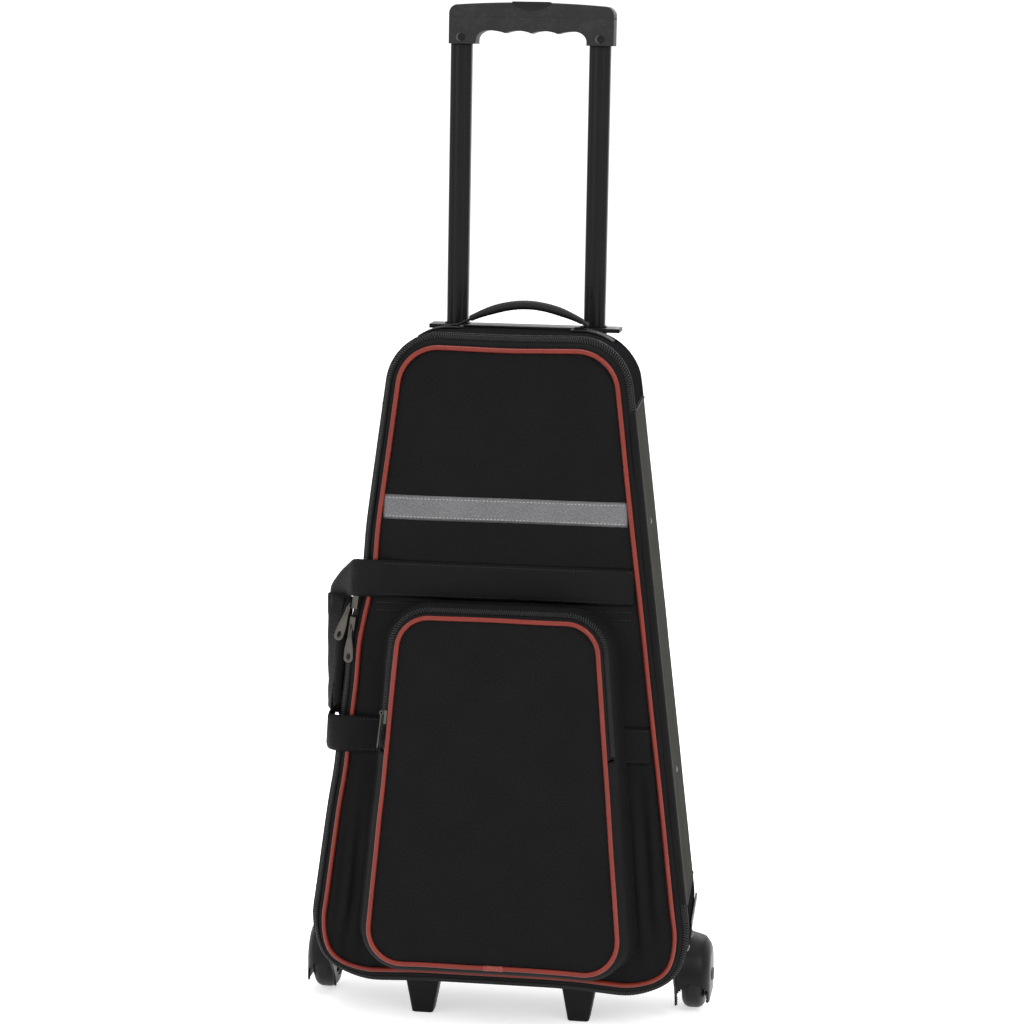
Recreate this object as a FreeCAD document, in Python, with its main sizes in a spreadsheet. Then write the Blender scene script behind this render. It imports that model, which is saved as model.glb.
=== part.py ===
import FreeCAD, Part
import math
import os
import Sketcher
from FreeCAD import Placement, Rotation, Vector

# Rolling trapezoid case for a percussion kit: a padded soft body with a book-opening
# front panel, a front pocket, a telescopic handle, two rear wheels and two front feet.
# Frame: +X to the viewer's right, +Y to the back, +Z up; floor at Z = 0, centred in X and Y.

SIZES = {
    # Outline of the case, along the centre of the red piping
    "piping_bottom_half": 187.7,
    "piping_top_half": 105.9,
    "piping_height": 643.2,
    "corner_bottom": 55.0,
    "corner_top": 42.0,
    "piping_radius": 2.5,
    # Soft body
    "rim_offset": 14.4,
    "side_taper": 5.0,
    "case_depth": 152.0,
    "gusset_wall": 4.0,
    "zip_end_low": 133.0,
    "zip_end_high": 637.0,
    "parting_gap": 0.3,
    "board_thickness": 3.0,
    "board_depth": 119.0,
    "board_inset": 14.0,
    "base_board_half": 122.0,
    "hold_strap_low": 205.0,
    "hold_strap_high": 500.0,
    # Front panel and zipper
    "panel_proud": 2.0,
    "lid_thickness": 11.7,
    "band_front": 2.8,
    "band_edge": 7.2,
    "band_inner": 1.2,
    "band_outer": 11.3,
    "zipper_width": 3.1,
    "zipper_front": 5.5,
    "zipper_thickness": 2.7,
    "hinge_clearance": 17.0,
    # Webbing and tape
    "webbing_width": 38.0,
    "webbing_thickness": 2.2,
    "strap_high": 461.0,
    "strap_low": 299.5,
    "strap_stand_off": 4.7,
    "tape_height": 534.5,
    "tape_width": 25.0,
    "tape_thickness": 0.6,
    # Front pocket
    "pocket_rise": 18.4,
    "pocket_height": 357.7,
    "pocket_bottom_half": 130.0,
    "pocket_top_half": 98.5,
    "pocket_corner_low": 36.0,
    "pocket_corner_high": 33.0,
    "pocket_depth": 42.0,
    "pocket_flare": 8.0,
    "pocket_fold": 290.0,
    "pocket_wall": 3.0,
    "pocket_coil": 2.5,
    # Wheels, axles and corner housings
    "wheel_radius": 36.0,
    "wheel_width": 24.0,
    "wheel_spread": 195.6,
    "axle_depth": 104.0,
    "tyre_inner": 24.0,
    "tread_round": 9.0,
    "bearing_radius": 11.0,
    "bearing_width": 7.0,
    "bearing_gap": 6.0,
    "axle_radius": 4.0,
    "running_gap": 0.05,
    "well_radius": 40.0,
    "housing_wall": 3.0,
    "well_clearance": 3.1,
    "guard_thickness": 3.0,
    "guard_front": 18.0,
    "guard_height": 112.0,
    "guard_width": 50.0,
    "leg_bottom": 13.4,
    "leg_width": 27.0,
    "arch_bottom": 27.0,
    "axle_head": 7.0,
    "axle_head_thickness": 2.0,
    # Feet
    "foot_height": 39.0,
    "foot_spread": 81.5,
    "foot_front": 22.0,
    "foot_top_width": 36.0,
    "foot_top_depth": 30.0,
    "foot_bottom_width": 22.0,
    "foot_bottom_depth": 22.0,
    "foot_corner": 4.0,
    # Telescopic handle
    "tube_spread": 71.5,
    "tube_depth": 134.0,
    "tube_width": 22.0,
    "tube_thickness": 16.0,
    "tube_corner": 5.0,
    "tube_wall": 1.5,
    "tube_clearance": 0.4,
    "tube_overlap": 108.0,
    "grip_half": 86.2,
    "grip_leg_width": 28.0,
    "grip_leg_drop": 14.5,
    "finger_drop": 3.8,
    "grip_bar_height": 13.1,
    "grip_cap_height": 12.6,
    "grip_thickness": 30.0,
    "grip_corner": 10.0,
    "grip_leg_round": 12.0,
    "finger_pitch": 27.0,
    "finger_radius": 25.9,
    "grip_screw_rise": 6.7,
    "button_half": 20.5,
    "button_rise": 3.4,
    "button_dip": 4.1,
    "button_height": 11.4,
    "button_travel": 4.0,
    "yoke_drop": 5.4,
    "yoke_height": 5.0,
    "yoke_width": 10.0,
    "rod_radius": 1.5,
    "lock_pin_radius": 3.0,
    "lock_pin_length": 6.5,
    "lock_pin_travel": 2.5,
    "lock_rise": 8.0,
    "trolley_travel": 281.0,
    "plate_half": 99.0,
    "plate_depth": 34.0,
    "plate_thickness": 4.2,
    "socket_height": 28.0,
    # Top carry handle
    "handle_depth": 60.0,
    "handle_shift": 10.0,
    "handle_half": 58.0,
    "handle_end_rise": 10.5,
    "handle_peak_rise": 39.0,
    "handle_bend": 114.0,
    "handle_radius": 4.8,
    "handle_axis_rise": 7.0,
    "anchor_length": 44.0,
    "anchor_width": 26.0,
    "anchor_thickness": 2.0,
    "anchor_spread": 78.0,
    # Side handle
    "sleeve_low": 323.0,
    "sleeve_high": 439.0,
    "sleeve_thickness": 11.0,
    "sleeve_width": 42.0,
    "sleeve_reach": 176.3,
    "sleeve_start": 14.0,
    "handle_bow_high": 6.0,
    "handle_bow_low": 11.9,
    "rear_loop_reach": 185.0,
    "rear_loop_start": 57.0,
    # Zipper sliders and pull tabs
    "slider_length": 14.0,
    "slider_width": 7.0,
    "slider_upper": 434.8,
    "slider_lower": 412.3,
    "slider_pocket": 326.0,
    "tab_length": 38.0,
    "tab_width": 8.6,
    "tab_thickness": 1.6,
    "tab_upper_lean": 14.7,
    "tab_lower_lean": 4.3,
    "tab_upper_out": 7.1,
    "tab_lower_out": 0.4,
    "tab_drop": 7.5,
    # Fasteners
    "rivet_radius": 4.0,
    "rivet_height": 1.6,
    "screw_radius": 2.0,
    "screw_head": 4.0,
    # Cutting and fitting allowances
    "seat_gap": 0.3,
    "overrun": 5.0,
    "edge_round": 1.5,
}

LEFT, RIGHT = -1, 1

doc = FreeCAD.newDocument("PercussionCase")
sheet = doc.addObject("Spreadsheet::Sheet", "Sizes")
for row, (alias, value) in enumerate(SIZES.items(), 1):
    sheet.set(f"A{row}", alias)
    sheet.set(f"B{row}", str(value))
    sheet.setAlias(f"B{row}", alias)
doc.recompute()


class Size:
    """A length or ratio: its value now, and the sheet expression that drives it."""

    def __init__(self, value, text):
        self.value = float(value)
        self.text = text

    def __add__(self, other):
        other = as_size(other)
        return Size(self.value + other.value, f"({self.text} + {other.text})")

    def __sub__(self, other):
        other = as_size(other)
        return Size(self.value - other.value, f"({self.text} - {other.text})")

    def __mul__(self, other):
        other = as_size(other)
        return Size(self.value * other.value, f"({self.text} * {other.text})")

    def __truediv__(self, other):
        other = as_size(other)
        return Size(self.value / other.value, f"({self.text} / {other.text})")

    def __rsub__(self, other):
        return as_size(other) - self

    def __neg__(self):
        return Size(-self.value, f"(0 - {self.text})")

    def __float__(self):
        return self.value

    __radd__ = __add__
    __rmul__ = __mul__


def as_size(number):
    return number if isinstance(number, Size) else Size(number, repr(number))


def root_of(size):
    return Size(math.sqrt(size.value), f"sqrt({size.text})")


class Sheet:
    """Named sizes read from the sheet, as S.wheel_radius."""

    def __getattr__(self, name):
        return Size(sheet.get(name), f"Sizes.{name}")


S = Sheet()
ZERO = as_size(0.0)
RIGHT_ANGLE = as_size(90.0)

# Levels and depths that several pieces share
PANEL_Y = (S.pocket_depth + S.piping_radius - S.case_depth - S.guard_thickness) / 2
PIPING_BOTTOM = S.foot_height + S.rim_offset
PIPING_TOP = PIPING_BOTTOM + S.piping_height
CASE_TOP = PIPING_TOP + S.rim_offset
LID_BACK = S.lid_thickness - S.panel_proud
MOUTH = LID_BACK + S.parting_gap
RIM_BACK = MOUTH + S.zipper_thickness
FLOOR_INSIDE = S.foot_height + S.gusset_wall


def behind(depth):
    """Y of a place that lies depth behind the plane of the red piping."""
    return PANEL_Y + depth


AXLE_Y = behind(S.axle_depth)
TUBE_Y = behind(S.tube_depth)
WHEEL_INNER = S.wheel_spread - S.wheel_width / 2
WHEEL_OUTER = S.wheel_spread + S.wheel_width / 2
LEG_INSIDE = WHEEL_INNER - S.well_clearance
LEG_OUTSIDE = WHEEL_OUTER + S.well_clearance
TUBE_LOW = CASE_TOP - S.tube_overlap
LOCK_LEVEL = TUBE_LOW + S.lock_rise
GRIP_LOW = CASE_TOP + S.plate_thickness + S.trolley_travel + S.seat_gap * 2
GRIP_UNDER = GRIP_LOW + S.grip_leg_drop
FINGER_LOW = GRIP_UNDER - S.finger_drop
GRIP_PARTING = GRIP_UNDER + S.grip_bar_height
GRIP_TOP = GRIP_PARTING + S.grip_cap_height
GRIP_SCREW = GRIP_LOW + S.grip_screw_rise
BUTTON_TOP = GRIP_TOP + S.button_rise
BUTTON_LOW = BUTTON_TOP - S.button_height
YOKE_LOW = GRIP_PARTING - S.yoke_drop


class Trapezoid:
    """A rounded trapezoid, symmetric about X = 0, that can be offset outward."""

    def __init__(self, low, high, low_half, high_half, low_corner, high_corner):
        self.level = {"low": low, "high": high}
        self.corner = {"low": low_corner, "high": high_corner}
        self.low_half = low_half
        self.slope = (low_half - high_half) / (high - low)
        self.stretch = root_of(self.slope * self.slope + 1.0)

    def half_at(self, height, offset=ZERO):
        drop = self.slope * (height - self.level["low"])
        return self.low_half - drop + offset * self.stretch

    def surface_at(self, height, offset):
        """Half width at a height, following the low corner's arc, and the arc's droop."""
        radius = self.corner["low"] + offset
        centre = self.level["low"] - offset + radius
        drop = centre - height
        if drop.value < -radius.value * self.slope.value:
            return self.half_at(height, offset), -lean_of(self)
        reach = self.half_at(centre, offset) - radius * self.stretch
        droop = math.degrees(math.asin(drop.value / radius.value))
        text = f"(asin({(drop / radius).text}) / 1 deg)"
        return reach + root_of(radius * radius - drop * drop), Size(droop, text)

    def stop(self, side, place, offset, taper):
        """A corner ("low" or "high") or a cut at a height, as (x, z, radius)."""
        if isinstance(place, Size):
            return (side * (self.half_at(place, offset) - taper), place, None)
        outward = offset if place == "high" else -offset
        height = self.level[place] + outward
        radius = self.corner[place] + offset
        return (side * (self.half_at(height, offset) - taper), height, radius)

    def run(self, stops, offset, taper=ZERO):
        return [self.stop(side, place, offset, taper) for side, place in stops]

    def ring(self, offset, taper=ZERO):
        stops = [(RIGHT, "low"), (RIGHT, "high"), (LEFT, "high"), (LEFT, "low")]
        return self.run(stops, offset, taper)

    def band(self, stops, outer, inner, taper=ZERO):
        there = self.run(stops, outer, taper)
        back = self.run(stops, inner, taper)
        return there + back[::-1]


CASE = Trapezoid(PIPING_BOTTOM, PIPING_TOP, S.piping_bottom_half, S.piping_top_half,
                 S.corner_bottom, S.corner_top)
POCKET_BOTTOM = PIPING_BOTTOM + S.pocket_rise
POCKET = Trapezoid(POCKET_BOTTOM, POCKET_BOTTOM + S.pocket_height, S.pocket_bottom_half,
                   S.pocket_top_half, S.pocket_corner_low, S.pocket_corner_high)

OVER_TOP = [(RIGHT, S.zip_end_high), (RIGHT, "high"), (LEFT, "high"), (LEFT, S.zip_end_high)]
UNDER_BOTTOM = [(LEFT, S.zip_end_low), (LEFT, "low"), (RIGHT, "low"), (RIGHT, S.zip_end_low)]
ZIPPER_RUN = [(RIGHT, S.zip_end_high), (RIGHT, "high"), (LEFT, "high"),
              (LEFT, "low"), (RIGHT, "low"), (RIGHT, S.zip_end_low)]
FLAP_START = S.pocket_fold + S.seat_gap * 3
POCKET_UPPER = [(RIGHT, FLAP_START), (RIGHT, "high"), (LEFT, "high"), (LEFT, FLAP_START)]
POCKET_LOWER = [(LEFT, S.pocket_fold), (LEFT, "low"), (RIGHT, "low"), (RIGHT, S.pocket_fold)]


# Sketch and feature helpers

def new_body(label):
    body = doc.addObject("PartDesign::Body", label)
    body.Label = label
    body.AllowCompound = True
    return body


def origin_feature(body, role):
    return next(item for item in body.Origin.OriginFeatures if item.Role == role)


def new_sketch(body, role, along=None):
    """A sketch on an origin plane, moved along that plane's global axis."""
    sketch = body.newObject("Sketcher::SketchObject", "Sketch")
    sketch.AttachmentSupport = [(origin_feature(body, role), "")]
    sketch.MapMode = "FlatFace"
    if along is not None:
        lift = -along if role == "XZ_Plane" else along
        sketch.setExpression("AttachmentOffset.Base.z", lift.text)
    return sketch


def bind_constraints(sketch, driven):
    for constraint, size in driven:
        index = sketch.addConstraint(constraint)
        sketch.setExpression(f"Constraints[{index}]", size.text)


def rounded(points, radii, index, closed):
    """Tangent points and arc centre of one corner, or the corner itself if it is sharp."""
    point = points[index]
    inside = closed or 0 < index < len(points) - 1
    if radii[index] is None or not inside:
        return point, point, None
    before = (points[index - 1] - point).normalize()
    after = (points[(index + 1) % len(points)] - point).normalize()
    half_angle = before.getAngle(after) / 2
    reach = radii[index].value / math.tan(half_angle)
    centre = point + (before + after).normalize() * (radii[index].value / math.sin(half_angle))
    return point + before * reach, point + after * reach, centre


def corner_arc(points, radii, index, corner):
    """The arc of a rounded corner, and whether it turns to the left."""
    entry, leave, centre = corner
    turn = (points[index] - points[index - 1]).cross(points[(index + 1) % len(points)] - points[index])
    start, end = (entry, leave) if turn.z > 0 else (leave, entry)
    angles = [math.atan2(end_point.y - centre.y, end_point.x - centre.x) for end_point in (start, end)]
    circle = Part.Circle(centre, Vector(0, 0, 1), radii[index].value)
    return Part.ArcOfCircle(circle, *angles), turn.z > 0


def trace(sketch, corners, closed=True):
    """Draw and constrain an outline or path through corners (x, y, radius or None)."""
    count = len(corners)
    points = [Vector(float(x), float(y), 0) for x, y, _ in corners]
    radii = [radius for _, _, radius in corners]
    rounding = [rounded(points, radii, index, closed) for index in range(count)]
    marks = [sketch.addGeometry(Part.Point(point), True) for point in points]
    spans = count if closed else count - 1
    lines = [sketch.addGeometry(Part.LineSegment(rounding[i][1], rounding[(i + 1) % count][0]), False)
             for i in range(spans)]
    driven = []
    for index, (x, y, _) in enumerate(corners):
        across = Sketcher.Constraint("DistanceX", -1, 1, marks[index], 1, points[index].x)
        upward = Sketcher.Constraint("DistanceY", -1, 1, marks[index], 1, points[index].y)
        driven += [(across, as_size(x)), (upward, as_size(y))]
    for index in range(count):
        line_in = lines[index - 1] if closed or index > 0 else None
        line_out = lines[index] if index < spans else None
        if rounding[index][2] is None:
            if line_in is not None:
                sketch.addConstraint(Sketcher.Constraint("Coincident", line_in, 2, marks[index], 1))
            if line_out is not None:
                sketch.addConstraint(Sketcher.Constraint("Coincident", line_out, 1, marks[index], 1))
            continue
        arc, leftward = corner_arc(points, radii, index, rounding[index])
        bend = sketch.addGeometry(arc, False)
        first, last = (1, 2) if leftward else (2, 1)
        sketch.addConstraint(Sketcher.Constraint("PointOnObject", marks[index], 1, line_in))
        sketch.addConstraint(Sketcher.Constraint("PointOnObject", marks[index], 1, line_out))
        sketch.addConstraint(Sketcher.Constraint("Tangent", line_in, 2, bend, first))
        sketch.addConstraint(Sketcher.Constraint("Tangent", line_out, 1, bend, last))
        driven.append((Sketcher.Constraint("Radius", bend, radii[index].value), radii[index]))
    bind_constraints(sketch, driven)
    return sketch


def circle(sketch, x, y, radius):
    centre = Vector(float(x), float(y), 0)
    ring = sketch.addGeometry(Part.Circle(centre, Vector(0, 0, 1), float(radius)), False)
    bind_constraints(sketch, [
        (Sketcher.Constraint("DistanceX", -1, 1, ring, 3, centre.x), as_size(x)),
        (Sketcher.Constraint("DistanceY", -1, 1, ring, 3, centre.y), as_size(y)),
        (Sketcher.Constraint("Radius", ring, float(radius)), as_size(radius)),
    ])
    return sketch


def rectangle(centre_x, centre_y, width, height, radius=None):
    """Corners of a rectangle about a centre, for trace."""
    right, left = centre_x + width / 2, centre_x - width / 2
    top, bottom = centre_y + height / 2, centre_y - height / 2
    return [(left, bottom, radius), (right, bottom, radius), (right, top, radius), (left, top, radius)]


def feature(body, kind, sketch):
    item = body.newObject(f"PartDesign::{kind}", kind)
    item.Profile = sketch
    return item


def pad(body, sketch, length, reverse=False, middle=False):
    item = feature(body, "Pad", sketch)
    item.setExpression("Length", as_size(length).text)
    item.Reversed = reverse
    item.Midplane = middle
    return item


def pocket(body, sketch, length, reverse=False, middle=False):
    """Cut away from the sketch plane's normal, or along it where reversed."""
    item = feature(body, "Pocket", sketch)
    item.setExpression("Length", as_size(length).text)
    item.Reversed = reverse
    item.Midplane = middle
    return item


def loft(body, sketches, cut=False):
    item = feature(body, "SubtractiveLoft" if cut else "AdditiveLoft", sketches[0])
    item.Sections = sketches[1:]
    item.Ruled = True
    return item


def pipe(body, profile, path):
    doc.recompute()
    item = feature(body, "AdditivePipe", profile)
    item.Spine = (path, [f"Edge{index + 1}" for index in range(len(path.Shape.Edges))])
    return item


def revolve(body, sketch, role="X_Axis"):
    item = feature(body, "Revolution", sketch)
    item.ReferenceAxis = (origin_feature(body, role), [""])
    item.Angle = 360
    return item


def round_edges(body, chosen, radius):
    """Fillet the edges of the body's tip that the test picks."""
    doc.recompute()
    base = body.Tip
    names = [f"Edge{index + 1}" for index, edge in enumerate(base.Shape.Edges) if chosen(edge)]
    item = body.newObject("PartDesign::Fillet", "Fillet")
    item.Base = (base, names)
    item.setExpression("Radius", as_size(radius).text)
    body.Tip = item
    return item


def place(body, x, y, z, turn=None, axis=Vector(0, 1, 0)):
    """Put a body that is built about its own origin in its place."""
    if turn is not None:
        body.Placement = Placement(Vector(), Rotation(axis, turn.value))
        body.setExpression("Placement.Rotation.Angle", turn.text)
    for letter, size in zip("xyz", (x, y, z)):
        body.setExpression(f"Placement.Base.{letter}", as_size(size).text)
    return body


def group(label, members):
    """Several alike pieces as one sub-part of separate solids."""
    item = doc.addObject("Part::Compound", label)
    item.Label = label
    item.Links = members
    return item


def slab(label, corners, front, back):
    """A flat piece between two depths behind the piping plane."""
    body = new_body(label)
    pad(body, trace(new_sketch(body, "XZ_Plane", behind(back)), corners), back - front)
    return body


def at_level(edge, axis, level, tolerance=0.01):
    """Whether an edge lies in the plane where that axis has that value."""
    return all(abs(getattr(vertex.Point, axis) - float(level)) < tolerance for vertex in edge.Vertexes)


# Soft body of the case

def taper_at(depth):
    return S.side_taper * (depth - MOUTH) / (S.case_depth - MOUTH)


def gusset(label, stops, front):
    """One stretch of the side wall: padded fabric that narrows a little to the back."""
    body = new_body(label)
    back = S.case_depth - S.gusset_wall
    inner = S.rim_offset - S.gusset_wall
    sections = [trace(new_sketch(body, "XZ_Plane", behind(depth)),
                      CASE.band(stops, S.rim_offset, inner, taper_at(depth)))
                for depth in (front, back)]
    loft(body, sections)
    return body


def gusset_top():
    """The top wall, with the two openings that the telescopic tubes pass through."""
    body = gusset("gusset_top", OVER_TOP, RIM_BACK)
    for side in (LEFT, RIGHT):
        opening = rectangle(side * S.tube_spread, TUBE_Y, outer_tube_width() + 2 * S.seat_gap,
                            outer_tube_thickness() + 2 * S.seat_gap, S.tube_corner)
        pocket(body, trace(new_sketch(body, "XY_Plane", CASE_TOP + S.overrun), opening),
               S.gusset_wall + 2 * S.overrun)
    return body


def gusset_bottom():
    """The bottom wall, open over the wheel wells and bored for the foot screws."""
    body = gusset("gusset_bottom", UNDER_BOTTOM, RIM_BACK)
    cut_length = S.guard_width + S.wheel_width
    clear = S.well_radius + S.housing_wall + S.seat_gap
    start = LEG_INSIDE - S.housing_wall - S.seat_gap
    for side in (LEFT, RIGHT):
        sketch = circle(new_sketch(body, "YZ_Plane", side * start), AXLE_Y, S.wheel_radius, clear)
        pocket(body, sketch, cut_length, reverse=side == RIGHT)
        bore_for_foot_screw(body, side, S.foot_height - S.overrun, S.gusset_wall + 2 * S.overrun)
    return body


def foot_y():
    return behind(S.foot_front) + S.foot_top_depth / 2


def bore_for_foot_screw(body, side, low, depth):
    sketch = circle(new_sketch(body, "XY_Plane", low), side * S.foot_spread, foot_y(),
                    S.screw_radius + S.seat_gap)
    pocket(body, sketch, depth, reverse=True)


def back_panel():
    return slab("back_panel", CASE.ring(S.rim_offset, taper_at(S.case_depth)),
                S.case_depth - S.gusset_wall, S.case_depth)


def back_board():
    """The stiff board in front of the telescopic tubes, standing on the base board."""
    bottom = FLOOR_INSIDE + S.board_thickness
    top = PIPING_TOP + S.rim_offset - S.gusset_wall - S.seat_gap
    inset = S.rim_offset - S.gusset_wall - S.board_inset
    corners = [(CASE.half_at(bottom, inset), bottom, S.corner_bottom),
               (CASE.half_at(top, inset), top, S.corner_top),
               (-CASE.half_at(top, inset), top, S.corner_top),
               (-CASE.half_at(bottom, inset), bottom, S.corner_bottom)]
    return slab("back_board", corners, S.board_depth, S.board_depth + S.board_thickness)


def base_board():
    """The stiff board on the case floor that the feet and the tube socket screw to."""
    body = new_body("base_board")
    front = RIM_BACK + S.parting_gap
    length = S.case_depth - S.gusset_wall - S.parting_gap - front
    outline = rectangle(ZERO, behind(front) + length / 2, S.base_board_half * 2, length, S.foot_corner)
    pad(body, trace(new_sketch(body, "XY_Plane", FLOOR_INSIDE), outline), S.board_thickness)
    for side in (LEFT, RIGHT):
        bore_for_foot_screw(body, side, FLOOR_INSIDE - S.overrun, S.board_thickness + 2 * S.overrun)
    return body


def hold_straps():
    """Two flat straps across the back board that hold the load inside."""
    body = new_body("hold_straps")
    sketch = new_sketch(body, "XZ_Plane", behind(S.board_depth))
    for height in (S.hold_strap_low, S.hold_strap_high):
        reach = CASE.half_at(height, -S.board_inset) - S.anchor_width
        trace(sketch, rectangle(ZERO, height, reach * 2, S.webbing_width))
    pad(body, sketch, S.webbing_thickness)
    return body


# Front panel that opens like a book, with its zipper

def front_panel():
    body = slab("front_panel", CASE.ring(-(S.band_front)), -S.panel_proud, LID_BACK)
    front = behind(-S.panel_proud)
    round_edges(body, lambda edge: at_level(edge, "y", front), S.edge_round)
    return body


def lid_band():
    """The bevelled fabric strip between the red piping and the zipper."""
    body = new_body("lid_band")
    shoulder = trace(new_sketch(body, "XZ_Plane", behind(S.band_edge)), CASE.ring(S.band_outer))
    edge = trace(new_sketch(body, "XZ_Plane", behind(S.band_front)), CASE.ring(S.band_inner))
    loft(body, [edge, shoulder])
    rim = trace(new_sketch(body, "XZ_Plane", behind(LID_BACK)), CASE.ring(S.band_outer))
    pad(body, rim, LID_BACK - S.band_edge)
    opening = trace(new_sketch(body, "XZ_Plane", behind(ZERO)), CASE.ring(-S.band_front))
    pocket(body, opening, LID_BACK + S.overrun)
    return body


def lid_piping():
    body = new_body("lid_piping")
    path = trace(new_sketch(body, "XZ_Plane", behind(ZERO)), CASE.ring(ZERO))
    profile = circle(new_sketch(body, "YZ_Plane"), behind(ZERO), PIPING_BOTTOM, S.piping_radius)
    pipe(body, profile, path)
    return body


def zipper_half(label, front, back):
    corners = CASE.band(ZIPPER_RUN, S.band_outer + S.seat_gap + S.zipper_width,
                        S.band_outer + S.seat_gap)
    return slab(label, corners, front, back)


def reflective_tape():
    body = new_body("reflective_tape")
    low = S.tape_height - S.tape_width / 2
    high = S.tape_height + S.tape_width / 2
    inset = -(S.band_front + S.edge_round)
    corners = [(side * CASE.half_at(height, inset), height, None)
               for side, height in ((LEFT, low), (RIGHT, low), (RIGHT, high), (LEFT, high))]
    pad(body, trace(new_sketch(body, "XZ_Plane", behind(-S.panel_proud)), corners), S.tape_thickness)
    return body


def hinge_x(height):
    """X of the line at the left edge where a strap end turns into the side handle."""
    return -CASE.half_at(height, S.hinge_clearance)


def front_strap(label, height):
    """Webbing across the panel that steps over the piping at its left end."""
    body = new_body(label)
    flat = behind(-S.panel_proud - S.webbing_thickness / 2)
    raised = behind(-S.strap_stand_off)
    right_end = CASE.half_at(height, -S.webbing_thickness)
    left_edge = -CASE.half_at(height)
    step = S.strap_stand_off + S.piping_radius
    path = trace(new_sketch(body, "XY_Plane", height), [
        (right_end - S.band_front, flat, None),
        (left_edge + step * 2, flat, S.webbing_thickness * 3),
        (left_edge + step, raised, S.webbing_thickness * 3),
        (hinge_x(height), raised, None),
    ], closed=False)
    profile = trace(new_sketch(body, "YZ_Plane", right_end - S.band_front),
                    rectangle(flat, height, S.webbing_thickness, S.webbing_width))
    pipe(body, profile, path)
    return body


# Front pocket with a fold-out upper part

def pocket_gusset():
    """The flared pocket wall; below the fold it runs on to the front panel."""
    body = new_body("pocket_gusset")
    base, coil = S.panel_proud, S.pocket_depth - S.pocket_coil * 3
    front = S.pocket_depth - S.pocket_coil
    ring_share = (front - coil) / (front - base)
    outer = S.piping_radius + S.pocket_flare
    coil_outer = S.piping_radius + S.pocket_flare * ring_share
    loft(body, [trace(new_sketch(body, "XZ_Plane", behind(-depth)), POCKET.ring(offset))
                for depth, offset in ((base, outer), (coil, coil_outer))])
    loft(body, [trace(new_sketch(body, "XZ_Plane", behind(-depth)), POCKET.ring(offset - S.pocket_wall))
                for depth, offset in ((base - S.seat_gap, outer), (coil + S.seat_gap, coil_outer))], cut=True)
    sections = [trace(new_sketch(body, "XZ_Plane", behind(-depth)),
                      POCKET.band(POCKET_LOWER, offset, offset - S.pocket_wall))
                for depth, offset in ((coil, coil_outer), (front, S.piping_radius))]
    loft(body, sections)
    tunnel = rectangle(behind(-base), S.strap_low, (S.webbing_thickness + S.seat_gap) * 2,
                       S.webbing_width + 2 * S.seat_gap)
    pocket(body, trace(new_sketch(body, "YZ_Plane"), tunnel), S.pocket_bottom_half * 3, middle=True)
    return body


def pocket_front(label, stops):
    """Half of the pocket's front, below or above the fold."""
    corners = POCKET.run(stops, -S.piping_radius - S.seat_gap)
    return slab(label, corners, -S.pocket_depth, -(S.pocket_depth - S.pocket_coil))


def pocket_piping(label, stops, cut_height):
    body = new_body(label)
    plane = behind(-S.pocket_depth)
    path = trace(new_sketch(body, "XZ_Plane", plane), POCKET.run(stops, ZERO), closed=False)
    start = POCKET.stop(stops[0][0], cut_height, ZERO, ZERO)
    profile = circle(new_sketch(body, "XY_Plane", cut_height), start[0], plane, S.piping_radius)
    pipe(body, profile, path)
    return body


def pocket_zipper(label, front, back):
    corners = POCKET.band(POCKET_UPPER, S.pocket_coil + S.seat_gap, S.seat_gap)
    return slab(label, corners, -front, -back)


# Wheels, axles and moulded corner housings

def tyre(side):
    body = new_body(f"tyre_{name_of(side)}")
    sketch = new_sketch(body, "XY_Plane")
    half = S.wheel_width / 2
    trace(sketch, [(-half, S.tyre_inner, None), (half, S.tyre_inner, None),
                   (half, S.wheel_radius, S.tread_round), (-half, S.wheel_radius, S.tread_round)])
    revolve(body, sketch)
    return place(body, side * S.wheel_spread, AXLE_Y, S.wheel_radius)


def name_of(side):
    return "left" if side == LEFT else "right"


def hub(side):
    """The wheel's core: a rim and a bearing seat joined by a web with five windows."""
    body = new_body(f"hub_{name_of(side)}")
    rim_wall = S.housing_wall
    half = S.wheel_width / 2 - rim_wall / 2
    seat = S.bearing_radius + rim_wall
    web = S.bearing_gap / 2
    rim = S.tyre_inner - rim_wall
    stop = S.bearing_radius - rim_wall / 2
    half_gap = S.bearing_gap / 2
    profile = [(-half, S.tyre_inner, None), (-half, rim, None), (-web, rim, None), (-web, seat, None),
               (-half, seat, None), (-half, S.bearing_radius, None), (-half_gap, S.bearing_radius, None),
               (-half_gap, stop, None), (half_gap, stop, None), (half_gap, S.bearing_radius, None),
               (half, S.bearing_radius, None), (half, seat, None), (web, seat, None), (web, rim, None),
               (half, rim, None), (half, S.tyre_inner, None)]
    revolve(body, trace(new_sketch(body, "XY_Plane"), profile))
    doc.recompute()
    window = circle(new_sketch(body, "YZ_Plane"), (seat + rim) / 2, ZERO, (rim - seat) / 2 - S.seat_gap)
    cut = pocket(body, window, S.bearing_gap * 2, middle=True)
    doc.recompute()
    pattern = body.newObject("PartDesign::PolarPattern", "PolarPattern")
    pattern.Originals = [cut]
    pattern.Axis = (origin_feature(body, "X_Axis"), [""])
    pattern.Occurrences = 5
    body.Tip = pattern
    return place(body, side * S.wheel_spread, AXLE_Y, S.wheel_radius)


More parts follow.
